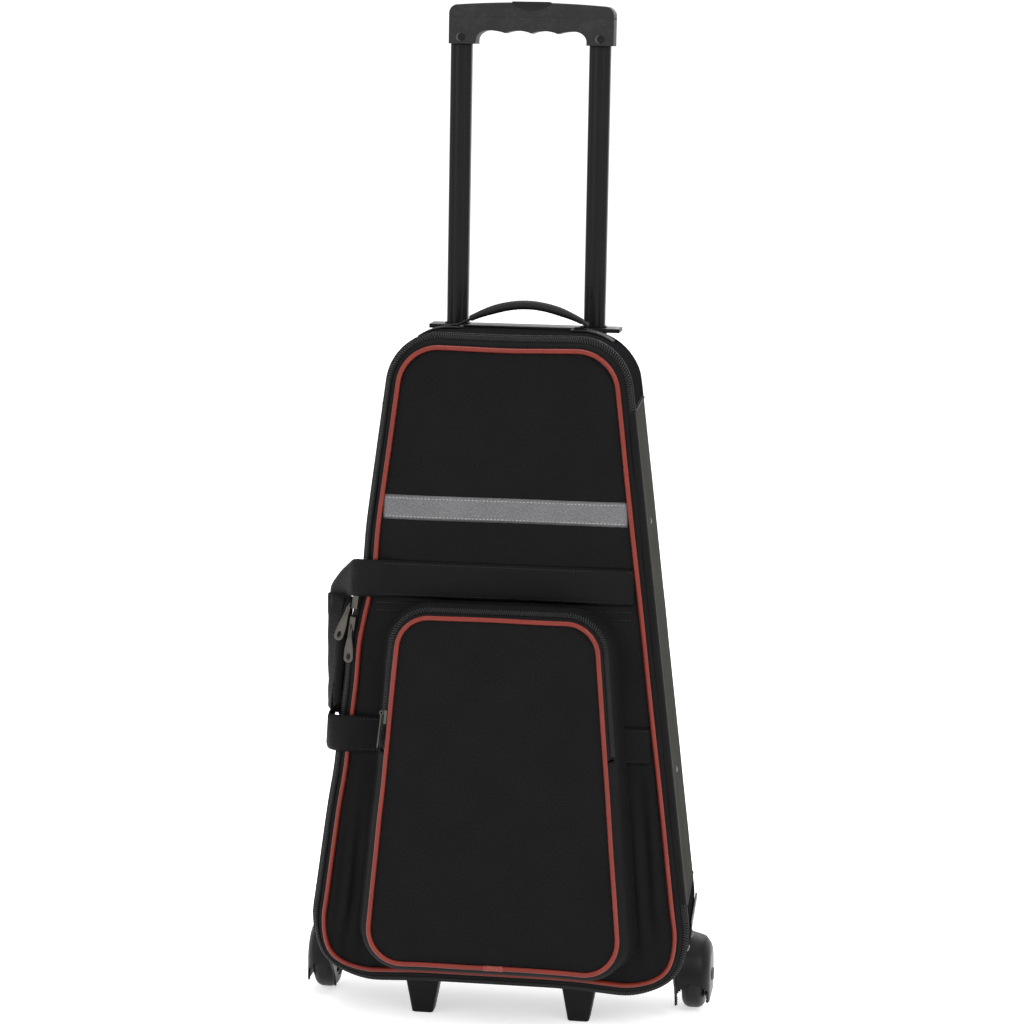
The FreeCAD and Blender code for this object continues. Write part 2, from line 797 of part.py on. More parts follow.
def bearings(side):
    """Two ball bearings, each with the step between its races."""
    body = new_body(f"bearings_{name_of(side)}")
    sketch = new_sketch(body, "XY_Plane")
    race = (S.bearing_radius - S.axle_radius) / 3
    for end in (LEFT, RIGHT):
        inner = end * S.bearing_gap / 2
        outer = end * (S.bearing_gap / 2 + S.bearing_width)
        shield = end * (S.bearing_gap / 2 + S.bearing_width - S.seat_gap)
        trace(sketch, [(inner, S.axle_radius, None), (outer, S.axle_radius, None),
                       (outer, S.axle_radius + race, None), (shield, S.axle_radius + race, None),
                       (shield, S.bearing_radius - race, None), (outer, S.bearing_radius - race, None),
                       (outer, S.bearing_radius, None), (inner, S.bearing_radius, None)])
    revolve(body, sketch)
    return place(body, side * S.wheel_spread, AXLE_Y, S.wheel_radius)


def axle(side):
    """Headed axle bolt with a spacer collar at each leg and a running fit in the bearings."""
    body = new_body(f"axle_{name_of(side)}")
    collar = S.axle_radius + S.well_clearance / 2
    shaft = S.axle_radius - S.running_gap
    bearing_face = S.bearing_gap / 2 + S.bearing_width + S.running_gap
    inner_leg = S.wheel_width / 2 + S.well_clearance
    outer_leg = inner_leg + S.housing_wall
    end = outer_leg + S.axle_head_thickness
    profile = [(-end, ZERO, None), (end, ZERO, None), (end, S.axle_head, S.edge_round),
               (outer_leg, S.axle_head, None), (outer_leg, shaft, None), (inner_leg, shaft, None),
               (inner_leg, collar, None), (bearing_face, collar, None), (bearing_face, shaft, None)]
    mirrored = [(-x, y, radius) for x, y, radius in profile[2:]]
    revolve(body, trace(new_sketch(body, "XY_Plane"), profile + mirrored[::-1]))
    return place(body, side * S.wheel_spread, AXLE_Y, S.wheel_radius)


def wheel_housing(side):
    """Moulded corner guard, wheel arch and the two legs that carry the axle."""
    body = new_body(f"wheel_housing_{name_of(side)}")
    back = S.case_depth + S.guard_thickness
    outside = S.rim_offset + S.guard_thickness
    inside = S.rim_offset + S.seat_gap / 2
    loft(body, [trace(new_sketch(body, "XZ_Plane", behind(depth)), CASE.ring(outside, taper_at(depth)))
                for depth in (S.guard_front, back)])
    loft(body, [trace(new_sketch(body, "XZ_Plane", behind(depth)), CASE.ring(inside, taper_at(depth)))
                for depth in (S.guard_front - S.overrun, S.case_depth + S.seat_gap / 2)], cut=True)
    keep_from = side * (LEG_INSIDE - S.housing_wall - S.guard_width / 2)
    beyond = S.piping_bottom_half * 2
    waste = [(keep_from, PIPING_BOTTOM - beyond, None), (keep_from, S.guard_height, S.corner_bottom / 2),
             (side * beyond, S.guard_height, None), (side * beyond, CASE_TOP + beyond, None),
             (-side * beyond, CASE_TOP + beyond, None), (-side * beyond, PIPING_BOTTOM - beyond, None)]
    pocket(body, trace(new_sketch(body, "XZ_Plane", behind(ZERO)), waste), back + S.overrun)
    inner_face = side * (LEG_INSIDE - S.housing_wall)
    outer_face = side * (LEG_OUTSIDE + S.housing_wall)
    arch = circle(new_sketch(body, "YZ_Plane", inner_face), AXLE_Y, S.wheel_radius,
                  S.well_radius + S.housing_wall)
    pad(body, arch, LEG_OUTSIDE - LEG_INSIDE + S.housing_wall * 2, reverse=side == LEFT)
    round_edges(body, lambda edge: at_level(edge, "x", outer_face), S.housing_wall + S.edge_round)
    below = rectangle(AXLE_Y, ZERO, S.well_radius * 4, S.arch_bottom * 2)
    pocket(body, trace(new_sketch(body, "YZ_Plane", inner_face - side * S.guard_width), below),
           S.guard_width * 3, reverse=side == RIGHT)
    well = circle(new_sketch(body, "YZ_Plane", side * LEG_INSIDE), AXLE_Y, S.wheel_radius, S.well_radius)
    pocket(body, well, LEG_OUTSIDE - LEG_INSIDE, reverse=side == RIGHT)
    leg_top = S.wheel_radius
    leg = [(AXLE_Y - S.leg_width / 2, S.leg_bottom, S.foot_corner * 2),
           (AXLE_Y + S.leg_width / 2, S.leg_bottom, S.foot_corner * 2),
           (AXLE_Y + S.leg_width / 2 + S.foot_corner, leg_top, None),
           (AXLE_Y - S.leg_width / 2 - S.foot_corner, leg_top, None)]
    for face in (LEG_INSIDE - S.housing_wall, LEG_OUTSIDE):
        pad(body, trace(new_sketch(body, "YZ_Plane", side * face), leg), S.housing_wall,
            reverse=side == LEFT)
    bore = circle(new_sketch(body, "YZ_Plane", inner_face - side * S.overrun), AXLE_Y, S.wheel_radius,
                  S.axle_radius)
    pocket(body, bore, LEG_OUTSIDE - LEG_INSIDE + S.housing_wall * 2 + 2 * S.overrun,
           reverse=side == RIGHT)
    return body


# Feet

def foot(side):
    body = new_body(f"foot_{name_of(side)}")
    centre = side * S.foot_spread
    top = rectangle(centre, foot_y(), S.foot_top_width, S.foot_top_depth, S.foot_corner)
    bottom = rectangle(centre, foot_y(), S.foot_bottom_width, S.foot_bottom_depth, S.foot_corner)
    loft(body, [trace(new_sketch(body, "XY_Plane", S.foot_height), top),
                trace(new_sketch(body, "XY_Plane", ZERO), bottom)])
    round_edges(body, lambda edge: at_level(edge, "z", ZERO), S.edge_round)
    hole = circle(new_sketch(body, "XY_Plane", S.foot_height), centre, foot_y(),
                  S.screw_radius + S.seat_gap)
    pocket(body, hole, foot_screw_reach() + S.seat_gap)
    return body


def foot_screw_reach():
    return S.foot_height / 3


def foot_screw(side):
    body = new_body(f"foot_screw_{name_of(side)}")
    length = foot_screw_reach() + S.gusset_wall + S.board_thickness
    top = FLOOR_INSIDE + S.board_thickness
    shank = circle(new_sketch(body, "XY_Plane", top), side * S.foot_spread, foot_y(), S.screw_radius)
    pad(body, shank, length, reverse=True)
    head = circle(new_sketch(body, "XY_Plane", top), side * S.foot_spread, foot_y(), S.screw_head)
    pad(body, head, S.screw_radius)
    return body


# Telescopic handle

def outer_tube_width():
    return S.tube_width + 2 * (S.tube_clearance + S.tube_wall)


def outer_tube_thickness():
    return S.tube_thickness + 2 * (S.tube_clearance + S.tube_wall)


def tube(body, side, low, high, spare):
    """A rounded rectangular tube; spare is how far it stands outside the sliding tube."""
    centre = side * S.tube_spread
    grow = 2 * spare
    sketch = new_sketch(body, "XY_Plane", low)
    trace(sketch, rectangle(centre, TUBE_Y, S.tube_width + grow, S.tube_thickness + grow,
                            S.tube_corner + spare))
    shrink = grow - 2 * S.tube_wall
    trace(sketch, rectangle(centre, TUBE_Y, S.tube_width + shrink, S.tube_thickness + shrink,
                            S.tube_corner + spare - S.tube_wall))
    pad(body, sketch, high - low)


def lock_hole(body, side, height, radius, reach):
    """A cross hole in a tube's outer wall for the lock pin."""
    sketch = circle(new_sketch(body, "YZ_Plane", side * S.tube_spread), TUBE_Y, height, radius)
    pocket(body, sketch, reach, reverse=side == RIGHT)


def socket_floor():
    return FLOOR_INSIDE + S.board_thickness + S.plate_thickness


def outer_tube(side):
    body = new_body(f"outer_tube_{name_of(side)}")
    tube(body, side, socket_floor(), CASE_TOP, S.tube_clearance + S.tube_wall)
    for height in (LOCK_LEVEL, LOCK_LEVEL - S.trolley_travel):
        lock_hole(body, side, height, S.lock_pin_radius + S.tube_clearance, outer_tube_width())
    return body


def inner_tube(side):
    body = new_body(f"inner_tube_{name_of(side)}")
    tube(body, side, TUBE_LOW, GRIP_UNDER, ZERO)
    lock_hole(body, side, LOCK_LEVEL, S.lock_pin_radius + S.seat_gap / 2, S.tube_width)
    screw = circle(new_sketch(body, "XZ_Plane", TUBE_Y - S.tube_thickness), side * S.tube_spread,
                   GRIP_SCREW, S.screw_radius)
    pocket(body, screw, S.tube_thickness)
    return body


def tube_socket():
    """The cross bar at the case floor that holds both outer tubes."""
    body = new_body("tube_socket")
    low = FLOOR_INSIDE + S.board_thickness
    width = (S.tube_spread + outer_tube_width()) * 2
    bar = rectangle(ZERO, TUBE_Y, width, S.tube_thickness + S.tube_corner, S.foot_corner)
    pad(body, trace(new_sketch(body, "XY_Plane", low), bar), S.plate_thickness)
    for side in (LEFT, RIGHT):
        sketch = new_sketch(body, "XY_Plane", low)
        for spare in (S.tube_wall, ZERO):
            grow = 2 * (spare + S.seat_gap / 2)
            trace(sketch, rectangle(side * S.tube_spread, TUBE_Y, outer_tube_width() + grow,
                                    outer_tube_thickness() + grow, S.tube_corner + spare))
        pad(body, sketch, S.socket_height)
    return body


def trolley_plate():
    """The bezel on the case top that the sliding tubes rise through."""
    body = new_body("trolley_plate")
    outline = rectangle(ZERO, TUBE_Y, S.plate_half * 2, S.plate_depth, S.tube_corner)
    pad(body, trace(new_sketch(body, "XY_Plane", CASE_TOP), outline), S.plate_thickness)
    top = CASE_TOP + S.plate_thickness
    round_edges(body, lambda edge: at_level(edge, "z", top), S.edge_round)
    for side in (LEFT, RIGHT):
        opening = rectangle(side * S.tube_spread, TUBE_Y, S.tube_width + S.tube_clearance,
                            S.tube_thickness + S.tube_clearance, S.tube_corner)
        pocket(body, trace(new_sketch(body, "XY_Plane", top + S.overrun), opening),
               S.plate_thickness + 2 * S.overrun)
    return body


def grip_body():
    """The lower grip moulding: bar, finger scallops, two legs and the yoke's channel."""
    body = new_body("grip_body")
    half, inner = S.grip_half, S.grip_half - S.grip_leg_width
    cusp, shoulder = S.finger_pitch, S.finger_pitch + S.foot_corner
    right = [(cusp, FINGER_LOW, None), (shoulder, GRIP_UNDER, S.edge_round * 2),
             (inner, GRIP_UNDER, S.grip_leg_round), (inner, GRIP_LOW, None),
             (half, GRIP_LOW, None), (half, GRIP_PARTING, None)]
    left = [(-x, z, radius) for x, z, radius in right]
    back = TUBE_Y + S.grip_thickness / 2
    pad(body, trace(new_sketch(body, "XZ_Plane", back), right + left[::-1]), S.grip_thickness)
    for side in (LEFT, RIGHT):
        scallop = circle(new_sketch(body, "XZ_Plane", TUBE_Y - S.grip_thickness),
                         side * S.finger_pitch / 2, GRIP_UNDER - S.finger_radius,
                         S.finger_radius)
        pocket(body, scallop, S.grip_thickness * 2)
    channel = rectangle(ZERO, TUBE_Y, yoke_length() + 2 * S.seat_gap + S.rod_radius,
                        S.yoke_width + 2 * S.seat_gap)
    depth = GRIP_PARTING - YOKE_LOW + S.button_travel + S.seat_gap
    pocket(body, trace(new_sketch(body, "XY_Plane", GRIP_PARTING), channel), depth)
    well = circle(new_sketch(body, "XY_Plane", GRIP_PARTING), ZERO, TUBE_Y, spring_radius() + S.seat_gap)
    pocket(body, well, GRIP_PARTING - spring_seat())
    for side in (LEFT, RIGHT):
        mouth = rectangle(side * S.tube_spread, TUBE_Y, S.tube_width + S.seat_gap,
                          S.tube_thickness + S.seat_gap, S.tube_corner)
        low = new_sketch(body, "XY_Plane", GRIP_LOW)
        pocket(body, trace(low, mouth), GRIP_UNDER + S.seat_gap / 2 - GRIP_LOW, reverse=True)
        bore = circle(new_sketch(body, "XY_Plane", GRIP_LOW), side * S.tube_spread, TUBE_Y,
                      S.rod_radius + S.seat_gap * 2)
        pocket(body, bore, GRIP_PARTING - GRIP_LOW, reverse=True)
        screw_recess(body, side)
    return body


def screw_recess(body, side):
    front = TUBE_Y - S.grip_thickness / 2
    seat = circle(new_sketch(body, "XZ_Plane", front - S.overrun), side * S.tube_spread,
                  GRIP_SCREW, S.screw_head + S.seat_gap)
    pocket(body, seat, S.overrun + S.screw_radius)
    shank = circle(new_sketch(body, "XZ_Plane", front - S.overrun), side * S.tube_spread,
                   GRIP_SCREW, S.screw_radius)
    pocket(body, shank, S.overrun + S.grip_thickness / 2)


def spring_radius():
    return S.yoke_width / 3


def spring_seat():
    return FINGER_LOW + S.tube_wall * 2


def yoke_length():
    return (S.tube_spread + S.rod_radius * 2) * 2


def grip_cap():
    """The upper grip moulding, with the button's well and the dip in its walls."""
    body = new_body("grip_cap")
    low = GRIP_PARTING + S.seat_gap / 2
    outline = [(-S.grip_half, low, None), (S.grip_half, low, None),
               (S.grip_half, GRIP_TOP, S.grip_corner), (-S.grip_half, GRIP_TOP, S.grip_corner)]
    back = TUBE_Y + S.grip_thickness / 2
    pad(body, trace(new_sketch(body, "XZ_Plane", back), outline), S.grip_thickness)
    well = rectangle(ZERO, TUBE_Y, (S.button_half + S.seat_gap) * 2, button_thickness() + 2 * S.seat_gap)
    pocket(body, trace(new_sketch(body, "XY_Plane", GRIP_TOP + S.overrun), well),
           GRIP_TOP - low + 2 * S.overrun)
    dip = circle(new_sketch(body, "XZ_Plane", TUBE_Y - S.grip_thickness), ZERO,
                 GRIP_TOP - S.button_dip + dip_radius(), dip_radius())
    pocket(body, dip, S.grip_thickness * 2)
    return body


def button_thickness():
    return S.grip_thickness - 2 * S.housing_wall - 2 * S.seat_gap


def dip_radius():
    """Radius of the arc whose chord is the button's width at the grip's top."""
    return (S.button_half * S.button_half + S.button_dip * S.button_dip) / (S.button_dip * 2)


def release_button():
    body = new_body("release_button")
    outline = rectangle(ZERO, TUBE_Y, S.button_half * 2, button_thickness(), S.edge_round)
    pad(body, trace(new_sketch(body, "XY_Plane", BUTTON_LOW), outline), BUTTON_TOP - BUTTON_LOW)
    round_edges(body, lambda edge: at_level(edge, "z", BUTTON_TOP), S.edge_round / 2)
    stem = rectangle(ZERO, TUBE_Y, S.yoke_width, S.yoke_width - S.seat_gap * 2)
    foot_of_stem = YOKE_LOW + S.yoke_height
    pad(body, trace(new_sketch(body, "XY_Plane", foot_of_stem), stem), BUTTON_LOW - foot_of_stem)
    return body


def release_yoke():
    """The bar under the button, with a rod down each tube to its lock pin."""
    body = new_body("release_yoke")
    bar = rectangle(ZERO, TUBE_Y, yoke_length(), S.yoke_width)
    pad(body, trace(new_sketch(body, "XY_Plane", YOKE_LOW), bar), S.yoke_height)
    low = LOCK_LEVEL + S.lock_pin_radius + S.button_travel + S.edge_round
    for side in (LEFT, RIGHT):
        rod = circle(new_sketch(body, "XY_Plane", low), side * S.tube_spread, TUBE_Y, S.rod_radius)
        pad(body, rod, YOKE_LOW - low)
    return body


def button_spring():
    """The return spring under the yoke, as its plain outer sleeve."""
    body = new_body("button_spring")
    sketch = new_sketch(body, "XY_Plane", spring_seat())
    for radius in (spring_radius(), spring_radius() - S.edge_round):
        circle(sketch, ZERO, TUBE_Y, radius)
    pad(body, sketch, YOKE_LOW - spring_seat())
    return body


def lock_pin(side):
    """A spring pin whose tip is flush with the sliding tube's side."""
    body = new_body(f"lock_pin_{name_of(side)}")
    tip = side * (S.tube_spread + S.tube_width / 2)
    sketch = circle(new_sketch(body, "YZ_Plane", tip), TUBE_Y, LOCK_LEVEL, S.lock_pin_radius)
    pad(body, sketch, S.lock_pin_length, reverse=side == RIGHT)
    return body


def grip_screw(side):
    """A pan head screw through the grip's leg into the tube, with a cross recess."""
    body = new_body(f"grip_screw_{name_of(side)}")
    seat = TUBE_Y - S.grip_thickness / 2 + S.screw_radius
    centre = side * S.tube_spread
    head = circle(new_sketch(body, "XZ_Plane", seat), centre, GRIP_SCREW, S.screw_head)
    pad(body, head, S.screw_radius)
    shank = circle(new_sketch(body, "XZ_Plane", seat), centre, GRIP_SCREW,
                   S.screw_radius - S.running_gap)
    pad(body, shank, S.grip_thickness / 2 - S.tube_thickness / 2, reverse=True)
    for width, height in ((S.screw_head, S.screw_radius / 3), (S.screw_radius / 3, S.screw_head)):
        slot = rectangle(centre, GRIP_SCREW, width, height)
        pocket(body, trace(new_sketch(body, "XZ_Plane", seat - S.screw_radius), slot), S.screw_radius / 2)
    return body


# Top carry handle

def handle_end(side):
    """X of one end of the handle's grip."""
    return S.handle_shift + side * S.handle_half


def top_handle_grip():
    """The moulded grip tube, a shallow arch."""
    body = new_body("top_handle_grip")
    climb = (S.handle_peak_rise - S.handle_end_rise) / S.handle_half
    ends = CASE_TOP + S.handle_end_rise - S.handle_radius * climb
    start = handle_end(LEFT) - S.handle_radius
    path = trace(new_sketch(body, "XZ_Plane", behind(S.handle_depth)), [
        (start, ends, None),
        (S.handle_shift, CASE_TOP + S.handle_peak_rise, S.handle_bend),
        (handle_end(RIGHT) + S.handle_radius, ends, None),
    ], closed=False)
    profile = circle(new_sketch(body, "YZ_Plane", start), behind(S.handle_depth), ends,
                     S.handle_radius)
    pipe(body, profile, path)
    for side in (LEFT, RIGHT):
        middle = handle_end(side) + side * S.handle_radius * 2
        excess = rectangle(middle, ends, S.handle_radius * 4, S.handle_radius * 4)
        front = new_sketch(body, "XZ_Plane", behind(S.handle_depth) - S.handle_radius * 2)
        pocket(body, trace(front, excess), S.handle_radius * 4)
    return body


def handle_stub(side):
    """The webbing end that leaves the grip towards its anchor."""
    body = new_body(f"handle_stub_{name_of(side)}")
    near, far = handle_end(side) + side * S.seat_gap, handle_end(side) + side * S.handle_radius * 3
    high = CASE_TOP + S.handle_end_rise
    low = CASE_TOP + S.handle_axis_rise
    thick = S.webbing_thickness
    outline = [(near, high + thick / 2, None), (near, high - thick, None),
               (far, low - thick / 2, None), (far, low + thick / 2, None)]
    sketch = trace(new_sketch(body, "XZ_Plane", behind(S.handle_depth)), outline)
    pad(body, sketch, S.handle_radius * 2, middle=True)
    return body


def handle_anchor(side):
    """A sewn patch on the case top, with the fixed root of the handle's webbing."""
    body = new_body(f"handle_anchor_{name_of(side)}")
    patch = rectangle(side * S.anchor_spread, behind(S.handle_depth), S.anchor_length, S.anchor_width,
                      S.edge_round)
    pad(body, trace(new_sketch(body, "XY_Plane", CASE_TOP), patch), S.anchor_thickness)
    end = handle_end(side) + side * (S.handle_radius * 3 + S.webbing_thickness + S.seat_gap)
    bump = rectangle(end, behind(S.handle_depth), S.webbing_thickness * 2, S.handle_radius * 2)
    pad(body, trace(new_sketch(body, "XY_Plane", CASE_TOP), bump),
        S.handle_axis_rise + S.webbing_thickness / 2)
    return body


# Side handle

def side_ribbon(body, height, points):
    """Webbing on edge that follows points seen from above."""
    path = trace(new_sketch(body, "XY_Plane", height), points, closed=False)
    start_x, start_y, _ = points[0]
    across = points[1][1] is start_y
    role, along = ("YZ_Plane", start_x) if across else ("XZ_Plane", start_y)
    centre = start_y if across else start_x
    profile = trace(new_sketch(body, role, along),
                    rectangle(centre, height, S.webbing_thickness, S.webbing_width))
    pipe(body, profile, path)


def loop_plate(body, reach, start):
    """The upright run of a loop, whose ends fold over at 45 degrees."""
    near, far = behind(start), behind(start + S.webbing_width)
    high = S.strap_high + S.webbing_width / 2
    low = S.strap_low - S.webbing_width / 2
    outline = [(near, low, None), (far, low + S.webbing_width, None),
               (far, high - S.webbing_width, None), (near, high, None)]
    sketch = trace(new_sketch(body, "YZ_Plane", -(reach + S.webbing_thickness / 2)), outline)
    pad(body, sketch, S.webbing_thickness)


def side_handle_webbing():
    """The front loop: both strap ends leave the panel's edge and meet in the sleeve."""
    body = new_body("side_handle_webbing")
    raised = behind(-S.strap_stand_off)
    bend = S.webbing_thickness
    for height, bow in ((S.strap_high, S.handle_bow_high), (S.strap_low, S.handle_bow_low)):
        start = hinge_x(height) - S.seat_gap
        side_ribbon(body, height, [
            (start, raised, None),
            (-(S.sleeve_reach + bow), raised, bend),
            (-S.sleeve_reach, behind(S.sleeve_start), bend),
            (-S.sleeve_reach, behind(S.sleeve_start + S.webbing_thickness * 2), None),
        ])
    loop_plate(body, S.sleeve_reach, S.sleeve_start)
    return body


def side_handle_sleeve():
    """The padded wrap that closes round the front loop."""
    body = new_body("side_handle_sleeve")
    middle = behind(S.sleeve_start + S.webbing_width / 2)
    sketch = new_sketch(body, "XY_Plane", S.sleeve_low)
    trace(sketch, rectangle(-S.sleeve_reach, middle, S.sleeve_thickness, S.sleeve_width,
                            S.sleeve_thickness / 3))
    trace(sketch, rectangle(-S.sleeve_reach, middle, S.webbing_thickness + S.seat_gap,
                            S.webbing_width + S.seat_gap))
    pad(body, sketch, S.sleeve_high - S.sleeve_low)
    return body


def rear_handle_loop():
    """The matching loop of the rear straps, sewn to the left side near its back edge."""
    body = new_body("rear_handle_loop")
    bend = S.webbing_thickness * 2
    for height in (S.strap_high, S.strap_low):
        sewn = S.rear_loop_start + S.webbing_width * 3 / 2
        taper = taper_at(sewn)
        wall = -(CASE.half_at(height + S.webbing_width / 2, S.rim_offset) - taper)
        wall = wall - S.webbing_width * CASE.slope - S.webbing_thickness / 2 - S.seat_gap
        side_ribbon(body, height, [
            (wall, behind(sewn + S.anchor_width / 2), None),
            (wall, behind(sewn), bend),
            (-S.rear_loop_reach, behind(S.rear_loop_start + S.webbing_width * 3 / 4), bend),
            (-S.rear_loop_reach, behind(S.rear_loop_start + S.webbing_width / 4), None),
        ])
    loop_plate(body, S.rear_loop_reach, S.rear_loop_start)
    return body


# Zipper sliders and pull tabs

def lean_of(shape):
    """Angle of a trapezoid's slanted side from upright, in degrees."""
    value = math.degrees(math.atan(shape.slope.value))
    return Size(value, f"(atan({shape.slope.text}) / 1 deg)")


def slider(label, height):
    """A clasp over the coil: a face plate and a side cheek joined at the edge."""
    body = new_body(label)
    reach = S.slider_width / 2
    cheek = S.tab_thickness / 2
    front = S.zipper_front - S.seat_gap
    face = front - S.webbing_thickness * 2
    edge = -(S.zipper_width / 2 + S.seat_gap)
    outline = [(edge - cheek, behind(face), S.edge_round / 2), (reach, behind(face), S.edge_round / 2),
               (reach, behind(front), None), (edge, behind(front), None),
               (edge, behind(RIM_BACK), None), (edge - cheek, behind(RIM_BACK), None)]
    sketch = trace(new_sketch(body, "XY_Plane"), outline)
    pad(body, sketch, S.slider_length, middle=True)
    return place(body, -CASE.half_at(height, coil_offset()), ZERO, height, lean_of(CASE))


def coil_offset():
    return S.band_outer + S.seat_gap + S.zipper_width / 2


def tab_outline(sketch):
    """The pull tab's plate with a small eye at its top and a long eye at its foot."""
    mid = -S.tab_length / 2
    trace(sketch, rectangle(ZERO, mid + S.tab_width / 2, S.tab_width, S.tab_length, S.tab_width / 3))
    eye = S.tab_width / 2
    trace(sketch, rectangle(ZERO, ZERO, eye, eye * 3 / 4, eye / 4))
    trace(sketch, rectangle(ZERO, S.tab_width - S.tab_length, eye, S.tab_width, eye / 3))
    return sketch


def pull_tab(label, slider_height, out, front, lean):
    """A tab that hangs from the slider's lower end, in front of the zipper."""
    body = new_body(label)
    sketch = tab_outline(new_sketch(body, "XZ_Plane", behind(front)))
    pad(body, sketch, S.tab_thickness)
    height = slider_height - S.tab_drop
    return place(body, -CASE.half_at(height, coil_offset() + out), ZERO, height, lean)


def pocket_edge_x(height, offset):
    """X of a place beside the pocket's left edge."""
    return -POCKET.half_at(height, offset)


def slider_reach():
    """How far the pocket's slider stands out past the coil."""
    return S.pocket_coil + S.slider_width / 2 + S.seat_gap * 3


def pocket_slider():
    """A clasp on the pocket's coil, stepped to clear the pocket's wall."""
    body = new_body("pocket_slider")
    front = behind(-(S.pocket_depth - S.pocket_coil - S.seat_gap))
    coil_back = behind(-(S.pocket_depth - S.pocket_coil * 3 + S.seat_gap * 2))
    back = coil_back + S.edge_round
    near = S.pocket_coil + S.seat_gap * 2 - slider_reach()
    outline = [(ZERO, front, S.edge_round / 2), (-near, front, None), (-near, coil_back, None),
               (-near - S.edge_round, coil_back, None), (-near - S.edge_round, back, None),
               (ZERO, back, S.edge_round / 2)]
    pad(body, trace(new_sketch(body, "XY_Plane"), outline), S.slider_length, middle=True)
    return place(body, pocket_edge_x(S.slider_pocket, slider_reach()), ZERO, S.slider_pocket,
                 lean_of(POCKET))


def pocket_tab():
    """The pocket's pull tab, seen edge-on from the front."""
    body = new_body("pocket_tab")
    sketch = tab_outline(new_sketch(body, "YZ_Plane"))
    pad(body, sketch, S.tab_thickness, reverse=True)
    x = pocket_edge_x(S.slider_pocket, slider_reach() + S.seat_gap)
    y = behind(-(S.pocket_depth - S.pocket_coil * 2))
    return place(body, x, y, S.slider_pocket, lean_of(POCKET))


# Rivets

def rivet_at(number, side, height, depth, offset):
    """A domed rivet head on the case's side, turned to face out from its curve."""
    head = doc.addObject("Part::Cone", f"rivet_{number}")
    head.setExpression("Radius1", S.rivet_radius.text)
    head.setExpression("Radius2", (S.rivet_radius / 2).text)
    head.setExpression("Height", S.rivet_height.text)
    x, droop = CASE.surface_at(height, offset)
    turn = droop + RIGHT_ANGLE
    head.Placement = Placement(Vector(), Rotation(Vector(0, side, 0), turn.value))
    head.setExpression("Placement.Rotation.Angle", turn.text)
    head.setExpression("Placement.Base.x", (side * (x - taper_at(depth))).text)
    head.setExpression("Placement.Base.y", behind(depth).text)
    head.setExpression("Placement.Base.z", as_size(height).text)
    return head


def side_rivets():
    """Rivets of the corner guards and of the side walls, on both sides."""
    on_guard = S.rim_offset + S.guard_thickness + S.seat_gap
    on_wall = S.rim_offset + S.seat_gap
    near_edge = S.guard_front + S.rivet_radius * 3
    places = [(S.guard_height - S.webbing_width * 3 / 4, near_edge, on_guard),
              (S.guard_height - S.webbing_width / 3, near_edge, on_guard),
              (S.tape_height - S.tape_width / 2, S.case_depth / 3, on_wall),
              (S.zip_end_low * 2, S.case_depth / 3, on_wall)]
    heads = []
    for side in (LEFT, RIGHT):
        for height, depth, offset in places:
            heads.append(rivet_at(len(heads) + 1, side, height, depth, offset))
    return group("side_rivets", heads)


# Build every sub-part

SUB_PARTS = [
    gusset_top(),
    gusset_bottom(),
    gusset("gusset_left", [(LEFT, S.zip_end_high), (LEFT, S.zip_end_low)], RIM_BACK),
    gusset("gusset_right", [(RIGHT, S.zip_end_high), (RIGHT, S.zip_end_low)], MOUTH),
    back_panel(),
    back_board(),
    base_board(),
    hold_straps(),
    zipper_half("case_zipper", MOUTH, RIM_BACK),
    group("outer_tubes", [outer_tube(LEFT), outer_tube(RIGHT)]),
    tube_socket(),
    trolley_plate(),
    wheel_housing(LEFT),
    wheel_housing(RIGHT),
    group("axle_bolts", [axle(LEFT), axle(RIGHT)]),
    side_rivets(),
    group("feet", [foot(LEFT), foot(RIGHT)]),
    group("foot_screws", [foot_screw(LEFT), foot_screw(RIGHT)]),
    group("handle_anchors", [handle_anchor(LEFT), handle_anchor(RIGHT)]),
    rear_handle_loop(),
    front_panel(),
    lid_band(),
    lid_piping(),
    zipper_half("lid_zipper", S.zipper_front, LID_BACK),
    reflective_tape(),
    front_strap("upper_strap", S.strap_high),
    front_strap("lower_strap", S.strap_low),
    pocket_gusset(),
    pocket_front("pocket_front_lower", POCKET_LOWER),
    pocket_piping("pocket_piping_lower", POCKET_LOWER, S.pocket_fold),
    pocket_zipper("pocket_zipper_inner", S.pocket_depth - S.pocket_coil * 2 - S.seat_gap,
                  S.pocket_depth - S.pocket_coil * 3),
    pocket_front("pocket_front_upper", POCKET_UPPER),
    pocket_piping("pocket_piping_upper", POCKET_UPPER, FLAP_START),
    pocket_zipper("pocket_zipper_outer", S.pocket_depth - S.pocket_coil - S.seat_gap,
                  S.pocket_depth - S.pocket_coil * 2),
    tyre(LEFT),
    tyre(RIGHT),
    hub(LEFT),
    hub(RIGHT),
    bearings(LEFT),
    bearings(RIGHT),
    inner_tube(LEFT),
    inner_tube(RIGHT),
    grip_body(),
    grip_cap(),
    group("grip_screws", [grip_screw(LEFT), grip_screw(RIGHT)]),
    release_button(),
    release_yoke(),
    button_spring(),
    lock_pin(LEFT),
    lock_pin(RIGHT),
    top_handle_grip(),
    group("top_handle_webbing", [handle_stub(LEFT), handle_stub(RIGHT)]),
    side_handle_webbing(),
    side_handle_sleeve(),
    slider("slider_upper", S.slider_upper),
    slider("slider_lower", S.slider_lower),
    pull_tab("tab_upper", S.slider_upper, S.tab_upper_out, -S.tab_thickness, S.tab_upper_lean),
    pull_tab("tab_lower", S.slider_lower, S.tab_lower_out, S.seat_gap, S.tab_lower_lean),
    pocket_slider(),
    pocket_tab(),
]

